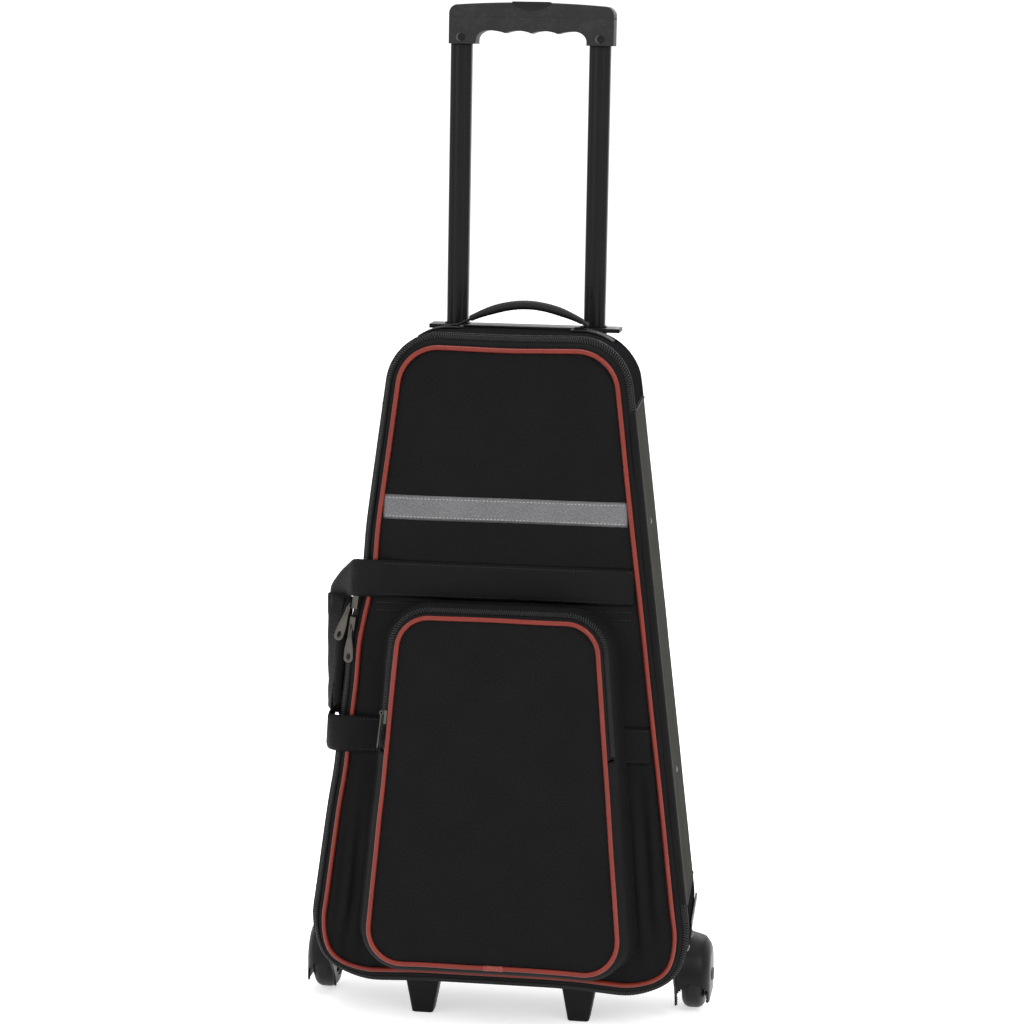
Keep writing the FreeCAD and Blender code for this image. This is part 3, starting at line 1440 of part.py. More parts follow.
doc.recompute()
faulty = [f"{item.getParent().Label if item.getParent() else ''} {item.Label}" for item in doc.Objects
          if {"Invalid", "Error"} & set(item.State)]
if faulty:
    raise RuntimeError(f"features that failed: {faulty}")
for item in SUB_PARTS:
    if item.Shape.isNull() or not item.Shape.isValid():
        raise RuntimeError(f"{item.Label} has no valid shape")

os.makedirs("parts", exist_ok=True)
for item in SUB_PARTS:
    item.Shape.exportStep(f"parts/{item.Label}.step")
print(f"{len(SUB_PARTS)} sub-parts written")
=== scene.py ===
import logging
import math
from dataclasses import dataclass
from enum import Enum
from functools import cached_property
from typing import Callable, Iterable, Optional, Sequence

import bmesh
import bpy
import numpy as np
from mathutils import Matrix, Vector

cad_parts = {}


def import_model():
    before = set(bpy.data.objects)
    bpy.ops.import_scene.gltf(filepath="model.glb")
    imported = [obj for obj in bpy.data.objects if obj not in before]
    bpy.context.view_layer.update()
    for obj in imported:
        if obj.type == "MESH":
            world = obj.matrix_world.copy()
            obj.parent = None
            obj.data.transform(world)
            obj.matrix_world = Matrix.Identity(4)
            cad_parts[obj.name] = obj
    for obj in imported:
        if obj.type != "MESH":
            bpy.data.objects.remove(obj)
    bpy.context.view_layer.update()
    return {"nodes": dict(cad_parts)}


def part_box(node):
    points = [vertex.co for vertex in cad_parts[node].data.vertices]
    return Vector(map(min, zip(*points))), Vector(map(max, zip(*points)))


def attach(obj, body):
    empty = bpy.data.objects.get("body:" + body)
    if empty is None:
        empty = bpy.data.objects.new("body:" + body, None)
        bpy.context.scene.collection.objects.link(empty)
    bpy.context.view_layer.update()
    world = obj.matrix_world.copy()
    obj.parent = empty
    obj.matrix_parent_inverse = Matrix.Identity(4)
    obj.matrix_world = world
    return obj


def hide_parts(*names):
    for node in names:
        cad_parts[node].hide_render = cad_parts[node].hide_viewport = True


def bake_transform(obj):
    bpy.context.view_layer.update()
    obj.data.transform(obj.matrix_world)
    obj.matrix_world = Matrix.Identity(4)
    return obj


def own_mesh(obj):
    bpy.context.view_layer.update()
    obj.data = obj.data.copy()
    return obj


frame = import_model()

logging.basicConfig(level=logging.INFO, format="%(message)s")
LOG = logging.getLogger("kit_case")

Array = np.ndarray

# Lengths are millimetres in the part's frame; MM turns them into metres.
MM = 0.001
LEFT, RIGHT = -1, 1
SIDE_NAMES = {LEFT: "left", RIGHT: "right"}
FORWARD = np.array([0.0, -1.0, 0.0])
TINY = 1e-9

# Y of the plane that the front piping's centre line lies in; depths count from it.
PANEL_PLANE = -55.25
# Offset of the case's outer cloth from that centre line.
SHELL = 14.4
# How far the case's top falls towards the back.
TOP_FALL = 6.4
# How far each side moves in towards the back, the depths over which it does,
# and the half width from which a place moves by the full amount.
TAPER, TAPER_START, TAPER_RUN, TAPER_HALF = 5.0, 10.0, 142.0, 80.0
# Heights of the middles of the two straps, and of the zipper's ends on the right.
STRAP_HIGH, STRAP_LOW = 461.0, 299.5
ZIPPER_HIGH, ZIPPER_LOW = 637.0, 133.0
# Half distance between the telescopic tubes, and how far the grip stands to their right.
TUBE_SPREAD = 71.5
GRIP_SHIFT = 1.5


class Body(str, Enum):
    """The bodies that the scene's own pieces ride on."""

    CASE = "case"
    LID = "lid"
    FLAP = "pocket_flap"
    TROLLEY = "trolley"
    BUTTON = "button"
    TOP_HANDLE = "top_handle"
    SIDE_HANDLE = "side_handle"
    UPPER_TAB = "upper_tab"
    LOWER_TAB = "lower_tab"
    POCKET_TAB = "pocket_pull"


# Small shape tools


def smooth(value: Array) -> Array:
    """Ease from 0 to 1 as value goes from 0 to 1."""
    t = np.clip(value, 0.0, 1.0)
    return t * t * (3.0 - 2.0 * t)


def hump(value: Array, middle: float, width: float) -> Array:
    """A smooth bump of height 1 about a middle."""
    return np.exp(-((value - middle) / width) ** 2)


def unit(vectors: Array) -> Array:
    """Vectors scaled to length 1."""
    return vectors / np.maximum(np.linalg.norm(vectors, axis=-1, keepdims=True), TINY)


def circle(count: int) -> Array:
    """Evenly spaced angles once round."""
    return np.arange(count) * math.tau / count


def lengths_along(path: Array) -> Array:
    """Distance along a path to each of its points."""
    return np.concatenate([[0], np.cumsum(np.linalg.norm(np.diff(path, axis=0), axis=1))])


def closed(rows: Array) -> Array:
    """Rows with the first one again at the end."""
    return np.concatenate([rows, rows[:1]])


def read_at(where: Array, known: Array, values: Array) -> Array:
    """Rows of values at places between the known ones."""
    return np.stack([np.interp(where, known, column) for column in values.T], 1)


def eased(rows: Array, passes: int) -> Array:
    """Rows with their corners eased; the first and the last stay."""
    for _ in range(passes):
        rows[1:-1] = rows[1:-1] * 0.5 + (rows[:-2] + rows[2:]) * 0.25
    return rows


def moved_out(points: Array, normals: Array, out: Array) -> tuple[Array, Array]:
    """X and height of an outline's points moved outward, a column per distance."""
    return points[:, :1] + normals[:, :1] * out, points[:, 1:] + normals[:, 1:] * out


def level(x: Array, height: float) -> Array:
    """Places along a level line, as x and height."""
    return np.stack([x, np.full_like(x, height)], 1)


def disc(radius: float, rings: int, corners: int) -> tuple[Array, Array]:
    """Distance and angle of the points of a round head, rings by corners."""
    distance, angle = np.meshgrid(np.linspace(0.02, 1, rings) * radius, circle(corners),
                                  indexing="ij")
    return distance, angle


def node_box(node: str) -> tuple[Array, Array]:
    """Lower and upper corner of a CAD node, in millimetres."""
    low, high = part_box(node)
    return np.array(low) / MM, np.array(high) / MM


@dataclass(frozen=True)
class Ripple:
    """Soft unevenness of cloth as a sum of seeded waves.

    Args:
        seed: Seed of the wave directions and phases.
        amplitude: Root mean square height, in millimetres.
        shortest: Shortest wave, in millimetres.
        longest: Longest wave, in millimetres.
        count: Number of waves.
    """

    seed: int
    amplitude: float
    shortest: float
    longest: float
    count: int = 9

    @cached_property
    def waves(self) -> Array:
        """Wave numbers and phases, one row each."""
        draw = np.random.default_rng(self.seed)
        length = np.exp(draw.uniform(math.log(self.shortest), math.log(self.longest), self.count))
        angle = draw.uniform(0, math.tau, self.count)
        number = math.tau / length
        return np.stack([number * np.cos(angle), number * np.sin(angle),
                         draw.uniform(0, math.tau, self.count)], 1)

    def __call__(self, x: Array, z: Array) -> Array:
        """Height of the ripple at a place.

        Args:
            x: First coordinate.
            z: Second coordinate.

        Returns:
            Heights, in millimetres.
        """
        total = np.zeros(np.broadcast(x, z).shape)
        for kx, kz, phase in self.waves:
            total = total + np.sin(kx * x + kz * z + phase)
        return total * self.amplitude * math.sqrt(2.0 / self.count)


@dataclass(frozen=True)
class Outline:
    """A rounded trapezoid, symmetric about X = 0, as a closed loop seen from the front.

    Args:
        low: Height of the bottom line.
        high: Height of the top line.
        low_half: Half width at the bottom line.
        high_half: Half width at the top line.
        low_round: Radius of the bottom corners.
        high_round: Radius of the top corners.
    """

    low: float
    high: float
    low_half: float
    high_half: float
    low_round: float
    high_round: float

    @property
    def slope(self) -> float:
        """Width lost per side for each unit of height."""
        return (self.low_half - self.high_half) / (self.high - self.low)

    @property
    def stretch(self) -> float:
        """Horizontal width of a unit offset of the slanted side."""
        return math.hypot(1.0, self.slope)

    def half_at(self, height: Array, offset: float = 0.0) -> Array:
        """Half width of the straight side at a height, moved out by an offset."""
        return self.low_half - (height - self.low) * self.slope + offset * self.stretch

    @cached_property
    def loop(self) -> tuple[Array, Array, Array]:
        """Points, outward normals and arc length of the loop, densely sampled."""
        lean = math.atan(self.slope)
        low_z, high_z = self.low + self.low_round, self.high - self.high_round
        low_x = float(self.half_at(low_z)) - self.low_round * self.stretch
        high_x = float(self.half_at(high_z)) - self.high_round * self.stretch
        corners = [(high_x, high_z, self.high_round, lean, math.pi / 2),
                   (-high_x, high_z, self.high_round, math.pi / 2, math.pi - lean),
                   (-low_x, low_z, self.low_round, math.pi - lean, 1.5 * math.pi),
                   (low_x, low_z, self.low_round, 1.5 * math.pi, math.tau + lean)]
        points, normals = [], []
        for index, (x, z, radius, start, end) in enumerate(corners):
            turn = np.linspace(start, end, 90)
            normal = np.stack([np.cos(turn), np.sin(turn)], 1)
            points.append(np.array([x, z]) + radius * normal)
            normals.append(normal)
            nx, nz, next_radius, next_start, _ = corners[(index + 1) % 4]
            away = np.array([math.cos(next_start), math.sin(next_start)])
            target = np.array([nx, nz]) + next_radius * away
            steps = max(2, int(np.linalg.norm(target - points[-1][-1])))
            share = np.linspace(0, 1, steps + 1)[1:-1, None]
            points.append(points[-1][-1] + (target - points[-1][-1]) * share)
            normals.append(np.repeat(normal[-1:], len(share), 0))
        all_points, all_normals = np.concatenate(points), np.concatenate(normals)
        return all_points, all_normals, lengths_along(closed(all_points))

    @property
    def length(self) -> float:
        """Length once round the loop."""
        return float(self.loop[2][-1])

    def place_of(self, side: int, height: float) -> float:
        """Arc length of the point on a straight side at a height."""
        points, _, length = self.loop
        half = float(self.half_at(height))
        target = np.array([side * half, height])
        return float(length[int(np.argmin(np.linalg.norm(points - target, axis=1)))])

    def along(self, length: Array) -> tuple[Array, Array]:
        """Points and outward normals at arc lengths, wrapping round the loop.

        Args:
            length: Arc lengths.

        Returns:
            Points and unit normals, each with a row per arc length.
        """
        points, normals, known = self.loop
        wrapped = np.mod(length, self.length)
        return (read_at(wrapped, known, closed(points)),
                unit(read_at(wrapped, known, closed(normals))))

    def run(self, start: tuple[int, float], end: tuple[int, float], step: float) -> Array:
        """Arc lengths from one side point round to another.

        Args:
            start: Side and height where the run starts.
            end: Side and height where it ends.
            step: Largest distance between neighbours.

        Returns:
            Rising arc lengths.
        """
        first = self.place_of(*start)
        last = self.place_of(*end)
        if last <= first:
            last += self.length
        return np.linspace(first, last, max(2, int(math.ceil((last - first) / step)) + 1))

    def whole(self, step: float) -> Array:
        """Arc lengths once round, without repeating the first."""
        count = int(math.ceil(self.length / step))
        return np.arange(count) * self.length / count

    def width_at(self, height: Array, offset: float = 0.0) -> Array:
        """Half width at a height with the corners rounded, moved out by an offset."""
        low, high = self.low - offset, self.high + offset
        low_r, high_r = self.low_round + offset, self.high_round + offset
        low_c, high_c = low + low_r, high - high_r
        low_x = self.half_at(low_c, offset) - low_r * self.stretch
        high_x = self.half_at(high_c, offset) - high_r * self.stretch
        straight = self.half_at(height, offset)
        below = low_x + np.sqrt(np.clip(low_r ** 2 - (low_c - height) ** 2, 0, None))
        above = high_x + np.sqrt(np.clip(high_r ** 2 - (height - high_c) ** 2, 0, None))
        lean = math.sin(math.atan(self.slope))
        width = np.where(height < low_c + low_r * lean, below, straight)
        return np.where(height > high_c + high_r * lean, above, width)

    def inside(self, x: Array, z: Array) -> Array:
        """Distance from the outline of places within it."""
        side = (self.half_at(z) - np.abs(x)) / self.stretch
        up, down = self.high - z, z - self.low
        depth = np.minimum(side, np.minimum(up, down))
        for gap, radius in ((up, self.high_round), (down, self.low_round)):
            in_corner = (side < radius) & (gap < radius)
            rounded = radius - np.hypot(radius - side, radius - gap)
            depth = np.where(in_corner, np.minimum(depth, rounded), depth)
        return np.clip(depth, 0.0, None)


CASE_LINE = Outline(53.4, 696.6, 187.7, 105.9, 55.0, 42.0)
POCKET_LINE = Outline(71.8, 429.5, 130.0, 98.5, 36.0, 33.0)


def taper(depth: Array) -> Array:
    """How much the case's sides move in at a depth behind the panel."""
    return TAPER * np.clip((depth - TAPER_START) / TAPER_RUN, 0.0, 1.0)


def narrowed(x: Array, depth: Array) -> Array:
    """Places across, moved in with the case's sides at a depth."""
    return x - np.clip(x / TAPER_HALF, -1, 1) * taper(depth)


def settle(x: Array, depth: Array, z: Array) -> tuple[Array, Array]:
    """How the weight of the case and its straps shifts the front edge.

    Args:
        x: Place across.
        depth: Depth behind the panel's plane.
        z: Height.

    Returns:
        Shifts of x and of z.
    """
    front = smooth((26.0 - depth) / 16.0)
    # The lower corners bulge outward and down.
    corner = 7.8 * hump(np.hypot(np.abs(x) - 166.0, z - 72.0), 0.0, 28.0)
    # The bottom edge dips beside the feet, and the top edge slackens in its middle.
    low = smooth((125.0 - z) / 65.0)
    dip = 2.0 * hump(x, -128.0, 36.0) + 3.6 * hump(x, 132.0, 40.0)
    slack = 1.2 * smooth((z - 640.0) / 30.0) * hump(x, 0.0, 52.0)
    # The side handle's straps pull the left edge in and out.
    pull = (2.4 * hump(z, 470.0, 30.0) - 2.6 * hump(z, 394.0, 30.0)
            + 1.3 * hump(z, 262.0, 28.0)) * smooth((-x - 100.0) / 30.0)
    return (front * (np.sign(x) * corner * 0.75 + pull),
            front * (-corner * 0.66 - low * dip - slack))


def world(x: Array, depth: Array, z: Array) -> Array:
    """Points in millimetres from width, depth behind the panel's plane and height."""
    x, depth, z = np.broadcast_arrays(x, depth, z)
    along, up = settle(x, depth, z)
    up = up - TOP_FALL * smooth((depth - 66.0) / 50.0) * smooth((z - 640.0) / 50.0)
    return np.stack([x + along, PANEL_PLANE + depth, z + up], -1)


# Meshes


def new_object(name: str, vertices: Array, faces: Sequence[Sequence[int]],
               uvs: Optional[Sequence[tuple[float, float]]] = None,
               flat: bool = False) -> bpy.types.Object:
    """Make a mesh object from points in millimetres.

    Args:
        name: Name of the piece.
        vertices: Points, in millimetres.
        faces: Vertex numbers of each face.
        uvs: A texture place for each corner of each face, in metres.
        flat: Whether faces keep flat shading.

    Returns:
        The new object, linked to the scene.
    """
    mesh = bpy.data.meshes.new(name)
    mesh.from_pydata((np.asarray(vertices, float) * MM).tolist(), [], [list(f) for f in faces])
    if uvs is not None:
        layer = mesh.uv_layers.new(name="UVMap")
        layer.data.foreach_set("uv", np.asarray(uvs, np.float32).ravel())
    if not flat:
        mesh.shade_smooth()
    mesh.update()
    piece = bpy.data.objects.new(name, mesh)
    bpy.context.scene.collection.objects.link(piece)
    return piece


def grid_faces(rows: int, columns: int, wrap_rows: bool, wrap_columns: bool) -> tuple[Array, Array]:
    """Quads of a grid, and the unwrapped row and column of each of their corners."""
    i, j = np.meshgrid(np.arange(rows if wrap_rows else rows - 1),
                       np.arange(columns if wrap_columns else columns - 1), indexing="ij")
    i, j = i.ravel(), j.ravel()
    row = np.stack([i, i + 1, i + 1, i], 1)
    column = np.stack([j, j, j + 1, j + 1], 1)
    quads = (row % rows) * columns + (column % columns)
    return quads, np.stack([row, column], 2)


def grid_piece(name: str, points: Array, wrap_rows: bool = False, wrap_columns: bool = False,
               caps: bool = False) -> bpy.types.Object:
    """A piece from a grid of points, with texture places along its rows and columns.

    Args:
        name: Name of the piece.
        points: Grid of points, rows by columns by three, in millimetres.
        wrap_rows: Whether the last row joins the first.
        wrap_columns: Whether the last column joins the first.
        caps: Whether the first and last rows are closed with a face.

    Returns:
        The new object.
    """
    rows, columns = points.shape[:2]
    quads, corners = grid_faces(rows, columns, wrap_rows, wrap_columns)
    along = lengths_along(closed(points[:, columns // 2])) * MM
    across = lengths_along(closed(points[rows // 2])) * MM
    uvs = np.stack([along[corners[..., 0]], across[corners[..., 1]]], -1).reshape(-1, 2)
    faces = quads.tolist()
    if caps:
        faces.append(list(range(columns)))
        faces.append(list(range((rows - 1) * columns, rows * columns))[::-1])
        uvs = np.concatenate([uvs, np.zeros((2 * columns, 2))])
    return new_object(name, points.reshape(-1, 3), faces, uvs)


def planar_uvs(piece: bpy.types.Object, first: int, second: int) -> None:
    """Set texture places from two coordinates of the mesh, in metres."""
    mesh = piece.data
    places = np.zeros(len(mesh.vertices) * 3, np.float32)
    mesh.vertices.foreach_get("co", places)
    places = places.reshape(-1, 3)
    corner = np.zeros(len(mesh.loops), np.int32)
    mesh.loops.foreach_get("vertex_index", corner)
    layer = mesh.uv_layers.active or mesh.uv_layers.new(name="UVMap")
    layer.data.foreach_set("uv", places[corner][:, [first, second]].ravel())


def outward(piece: bpy.types.Object) -> bpy.types.Object:
    """Turn the faces of a closed mesh outward."""
    shape = bmesh.new()
    shape.from_mesh(piece.data)
    bmesh.ops.recalc_face_normals(shape, faces=shape.faces)
    shape.to_mesh(piece.data)
    shape.free()
    return piece


def joined(name: str, parts: Iterable[bpy.types.Object]) -> bpy.types.Object:
    """Join several meshes into one piece with a new name."""
    shape = bmesh.new()
    parts = list(parts)
    for part in parts:
        shape.from_mesh(part.data)
    mesh = bpy.data.meshes.new(name)
    shape.to_mesh(mesh)
    shape.free()
    for part in parts:
        old = part.data
        bpy.data.objects.remove(part)
        bpy.data.meshes.remove(old)
    piece = bpy.data.objects.new(name, mesh)
    bpy.context.scene.collection.objects.link(piece)
    return piece


def sweep(name: str, line: Outline, length: Array, section: Array, whole: bool,
          tapered: bool = False,
          lift: Optional[Callable[[Array, Array], Array]] = None) -> bpy.types.Object:
    """Carry a section round an outline.

    Args:
        name: Name of the piece.
        line: Outline that is followed.
        length: Arc lengths of the sections.
        section: Offsets outward and depths, one row per corner, or a set of rows for
            each arc length.
        whole: Whether the run goes once round and closes on itself.
        tapered: Whether the sides move in with depth.
        lift: Extra depth at a place, from its x and z.

    Returns:
        The new object.
    """
    x, z = moved_out(*line.along(length), section[..., 0])
    depth = np.broadcast_to(section[..., 1], x.shape)
    if lift is not None:
        depth = depth + lift(x, z)
    if tapered:
        x = narrowed(x, depth)
    return grid_piece(name, world(x, depth, z), wrap_rows=whole, wrap_columns=True,
                      caps=not whole)


def polish_path(points: Array, step: float, passes: int) -> Array:
    """A path through points, evenly spaced and with its corners eased."""
    lengths = lengths_along(points)
    even = np.linspace(0, lengths[-1], max(3, int(lengths[-1] / step) + 1))
    return eased(read_at(even, lengths, points), passes)


def tube_piece(name: str, path: Array, radius: Callable[[Array], Array] | float,
               sides: int = 16, squash: float = 1.0) -> bpy.types.Object:
    """A round tube along a path, with closed ends.

    Args:
        name: Name of the piece.
        path: Points of its centre, in millimetres.
        radius: Radius, or a function of the share along the path.
        sides: Corners of its section.
        squash: Height of the section as a share of its width.

    Returns:
        The new object.
    """
    tangent = unit(np.gradient(path, axis=0))
    side = unit(np.cross(tangent, -FORWARD))
    other = np.cross(side, tangent)
    share = np.linspace(0, 1, len(path))
    size = radius(share) if callable(radius) else np.full(len(path), radius)
    turn = circle(sides)
    ring = (side[:, None] * np.cos(turn)[None, :, None] * squash
            + other[:, None] * np.sin(turn)[None, :, None])
    return grid_piece(name, path[:, None] + ring * size[:, None, None], wrap_columns=True,
                      caps=True)


# Material tools


class Graph:
    """Short hand for building a node tree."""

    def __init__(self, tree: bpy.types.NodeTree) -> None:
        """Keep the tree that nodes go into."""
        self.tree = tree

    def node(self, kind: str, **settings: object) -> bpy.types.Node:
        """Add a node and set its properties.

        Args:
            kind: Node type.
            settings: Property values by name.

        Returns:
            The new node.
        """
        node = self.tree.nodes.new(kind)
        for name, value in settings.items():
            setattr(node, name, value)
        return node

    def join(self, source: bpy.types.NodeSocket, target: bpy.types.NodeSocket) -> None:
        """Link two sockets."""
        self.tree.links.new(source, target)

    def feed(self, target: bpy.types.NodeSocket, value: object) -> None:
        """Link a socket, or set its value."""
        if isinstance(value, bpy.types.NodeSocket):
            self.join(value, target)
        else:
            target.default_value = value

    def group(self, tree: bpy.types.NodeTree, **values: object) -> bpy.types.Node:
        """Add a node group, with its inputs fed by name."""
        node = self.node("ShaderNodeGroup", node_tree=tree)
        for name, value in values.items():
            self.feed(node.inputs[name], value)
        return node

    def math(self, operation: str, first: object, second: object = 0.0,
             third: object = 0.0) -> bpy.types.NodeSocket:
        """A Math node's result."""
        node = self.node("ShaderNodeMath", operation=operation)
        for index, value in enumerate((first, second, third)):
            self.feed(node.inputs[index], value)
        return node.outputs[0]

    def noise(self, vector: object, scale: object, detail: float = 3.0,
              roughness: float = 0.55) -> bpy.types.NodeSocket:
        """A Noise Texture's value."""
        node = self.node("ShaderNodeTexNoise")
        self.feed(node.inputs["Vector"], vector)
        self.feed(node.inputs["Scale"], scale)
        node.inputs["Detail"].default_value = detail
        node.inputs["Roughness"].default_value = roughness
        return node.outputs["Fac"]

    def span(self, value: object, low: float, high: float, to_low: float,
             to_high: float) -> bpy.types.NodeSocket:
        """A Map Range node's result."""
        node = self.node("ShaderNodeMapRange")
        for name, item in (("Value", value), ("From Min", low), ("From Max", high),
                           ("To Min", to_low), ("To Max", to_high)):
            self.feed(node.inputs[name], item)
        return node.outputs["Result"]

    def mix(self, share: object, first: object, second: object) -> bpy.types.NodeSocket:
        """A colour between two colours."""
        node = self.node("ShaderNodeMix", data_type="RGBA")
        self.feed(node.inputs["Factor"], share)
        self.feed(node.inputs[6], first)
        self.feed(node.inputs[7], second)
        return node.outputs[2]

    def split(self, vector: object) -> tuple[bpy.types.NodeSocket, ...]:
        """The three parts of a vector."""
        node = self.node("ShaderNodeSeparateXYZ")
        self.feed(node.inputs[0], vector)
        return tuple(node.outputs)


def new_group(name: str, inputs: dict[str, tuple[str, object]],
              outputs: dict[str, str]) -> tuple[bpy.types.NodeTree, Graph, dict, dict]:
    """Start a shader node group with named sockets.

    Args:
        name: Name of the group.
        inputs: Socket type and default value by name.
        outputs: Socket type by name.

    Returns:
        The group, its graph, its input sockets and its output sockets by name.
    """
    tree = bpy.data.node_groups.new(name, "ShaderNodeTree")
    for label, (kind, default) in inputs.items():
        socket = tree.interface.new_socket(label, in_out="INPUT", socket_type=kind)
        if default is not None:
            socket.default_value = default
    for label, kind in outputs.items():
        tree.interface.new_socket(label, in_out="OUTPUT", socket_type=kind)
    graph = Graph(tree)
    entry, leave = graph.node("NodeGroupInput"), graph.node("NodeGroupOutput")
    return (tree, graph, {s.name: s for s in entry.outputs if s.name},
            {s.name: s for s in leave.inputs if s.name})


FLOAT, VECTOR = "NodeSocketFloat", "NodeSocketVector"


def weave_group() -> bpy.types.NodeTree:
    """Over and under threads of a plain weave, with slubs and soft colour change."""
    tree, g, given, out = new_group(
        "plain_weave",
        {"Vector": (VECTOR, None), "Pitch": (FLOAT, 0.0008), "Unevenness": (FLOAT, 0.5)},
        {"Height": FLOAT, "Shade": FLOAT})
    x, z, _ = g.split(given["Vector"])
    warp = g.math("DIVIDE", x, given["Pitch"])
    weft = g.math("DIVIDE", z, given["Pitch"])
    over = g.math("SINE", g.math("MULTIPLY", warp, math.pi))
    under = g.math("SINE", g.math("MULTIPLY", weft, math.pi))
    threads = g.math("MULTIPLY", over, under)
    slub = g.noise(given["Vector"], 520.0, 3.0)
    height = g.math("ADD", g.math("MULTIPLY", threads, 0.35),
                    g.math("MULTIPLY", slub, given["Unevenness"]))
    g.join(height, out["Height"])
    patch = g.noise(given["Vector"], 22.0, 3.0)
    shade = g.math("ADD", g.span(patch, 0.3, 0.7, -0.12, 0.12),
                   g.span(slub, 0.3, 0.7, -0.35, 0.35))
    g.join(shade, out["Shade"])
    return tree


def webbing_group() -> bpy.types.NodeTree:
    """Ribs of flat webbing that run across its width, with fine lengthwise threads; the rib height
    is also painted into the colour as painted shade in the valleys and painted highlight on the
    crests.
    """
    tree, g, given, out = new_group(
        "webbing_ribs",
        {"Vector": (VECTOR, None), "Rib": (FLOAT, 0.0014), "Thread": (FLOAT, 0.0024)},
        {"Height": FLOAT, "Shade": FLOAT})
    along, across, _ = g.split(given["Vector"])
    wander = g.math("MULTIPLY", g.noise(given["Vector"], 300.0, 2.0), 0.8)
    rib = g.math("SINE", g.math("ADD", g.math("MULTIPLY", g.math("DIVIDE", along, given["Rib"]),
                                               math.tau), wander))
    thread = g.math("SINE", g.math("MULTIPLY", g.math("DIVIDE", across, given["Thread"]), math.tau))
    height = g.math("ADD", g.math("MULTIPLY", rib, 0.5), g.math("MULTIPLY", thread, 0.25))
    g.join(height, out["Height"])
    # The colour follows the rib height: painted shade in the valleys, painted highlight on the
    # crests.
    g.join(g.math("MULTIPLY", height, 0.5), out["Shade"])
    return tree


def grain_group() -> bpy.types.NodeTree:
    """Fine leathery grain of moulded plastic with soft scuffs."""
    tree, g, given, out = new_group(
        "moulded_grain", {"Vector": (VECTOR, None), "Scale": (FLOAT, 900.0)},
        {"Height": FLOAT, "Scuff": FLOAT})
    cells = g.node("ShaderNodeTexVoronoi", feature="SMOOTH_F1")
    g.feed(cells.inputs["Vector"], given["Vector"])
    g.feed(cells.inputs["Scale"], given["Scale"])
    g.join(cells.outputs["Distance"], out["Height"])
    broad = g.noise(given["Vector"], 35.0, 4.0)
    fine = g.noise(given["Vector"], 260.0, 3.0)
    g.join(g.span(g.math("MULTIPLY", broad, fine), 0.22, 0.42, 0.0, 1.0), out["Scuff"])
    return tree


def brushed_group() -> bpy.types.NodeTree:
    """Long fine lines of a drawn or brushed metal, with finger marks."""
    tree, g, given, out = new_group(
        "drawn_metal", {"Vector": (VECTOR, None), "Stretch": (VECTOR, (1400.0, 1400.0, 12.0))},
        {"Line": FLOAT, "Mark": FLOAT})
    scaled = g.node("ShaderNodeVectorMath", operation="MULTIPLY")
    g.join(given["Vector"], scaled.inputs[0])
    g.join(given["Stretch"], scaled.inputs[1])
    g.join(g.noise(scaled.outputs[0], 1.0, 2.0), out["Line"])
    g.join(g.noise(given["Vector"], 45.0, 3.0), out["Mark"])
    return tree


class Mapping(Enum):
    """Where a finish reads its pattern from."""

    UV = "UV"
    OBJECT = "Object"


@dataclass(frozen=True)
class Finish:
    """A surface: its shader values and the pattern that its nodes add.

    Args:
        name: Name of the material.
        colour: Base colour, linear.
        roughness: Middle roughness.
        metallic: Whether it is metal.
        sheen: Sheen weight.
        specular: Specular level.
        bump: Height of the pattern, in millimetres.
    """

    name: str
    colour: tuple[float, float, float]
    roughness: float = 0.6
    metallic: float = 0.0
    sheen: float = 0.0
    specular: float = 0.5
    bump: float = 0.05

    def start(self, mapping: Mapping) -> tuple[bpy.types.Material, Graph, bpy.types.Node,
                                               bpy.types.NodeSocket]:
        """Make the material with its shader's constant values set.

        Args:
            mapping: Where patterns are placed from.

        Returns:
            Material, graph, shader node and the texture vector.
        """
        material = bpy.data.materials.new(self.name)
        material.use_nodes = True
        graph = Graph(material.node_tree)
        shader = material.node_tree.nodes["Principled BSDF"]
        for label, value in (("Base Color", (*self.colour, 1.0)), ("Roughness", self.roughness),
                             ("Metallic", self.metallic), ("Sheen Weight", self.sheen),
                             ("Sheen Roughness", 0.35), ("Specular IOR Level", self.specular)):
            shader.inputs[label].default_value = value
        place = graph.node("ShaderNodeTexCoord")
        return material, graph, shader, place.outputs[mapping.value]

    def tint(self, share: float) -> tuple[float, float, float, float]:
        """The base colour made lighter or darker by a share."""
        return (*(min(1.0, part * share) for part in self.colour), 1.0)

    def add_bump(self, graph: Graph, shader: bpy.types.Node,
                 height: bpy.types.NodeSocket) -> None:
        """Feed a height through a Bump node to the shader's normal."""
        bump = graph.node("ShaderNodeBump")
        bump.inputs["Strength"].default_value = 1.0
        bump.inputs["Distance"].default_value = self.bump * MM
        graph.join(height, bump.inputs["Height"])
        graph.join(bump.outputs["Normal"], shader.inputs["Normal"])

    def shade_with(self, graph: Graph, shader: bpy.types.Node, share: bpy.types.NodeSocket,
                   low: float, high: float) -> None:
        """Vary the base colour between a darker and a lighter tint."""
        colour = graph.mix(share, self.tint(low), self.tint(high))
        graph.join(colour, shader.inputs["Base Color"])


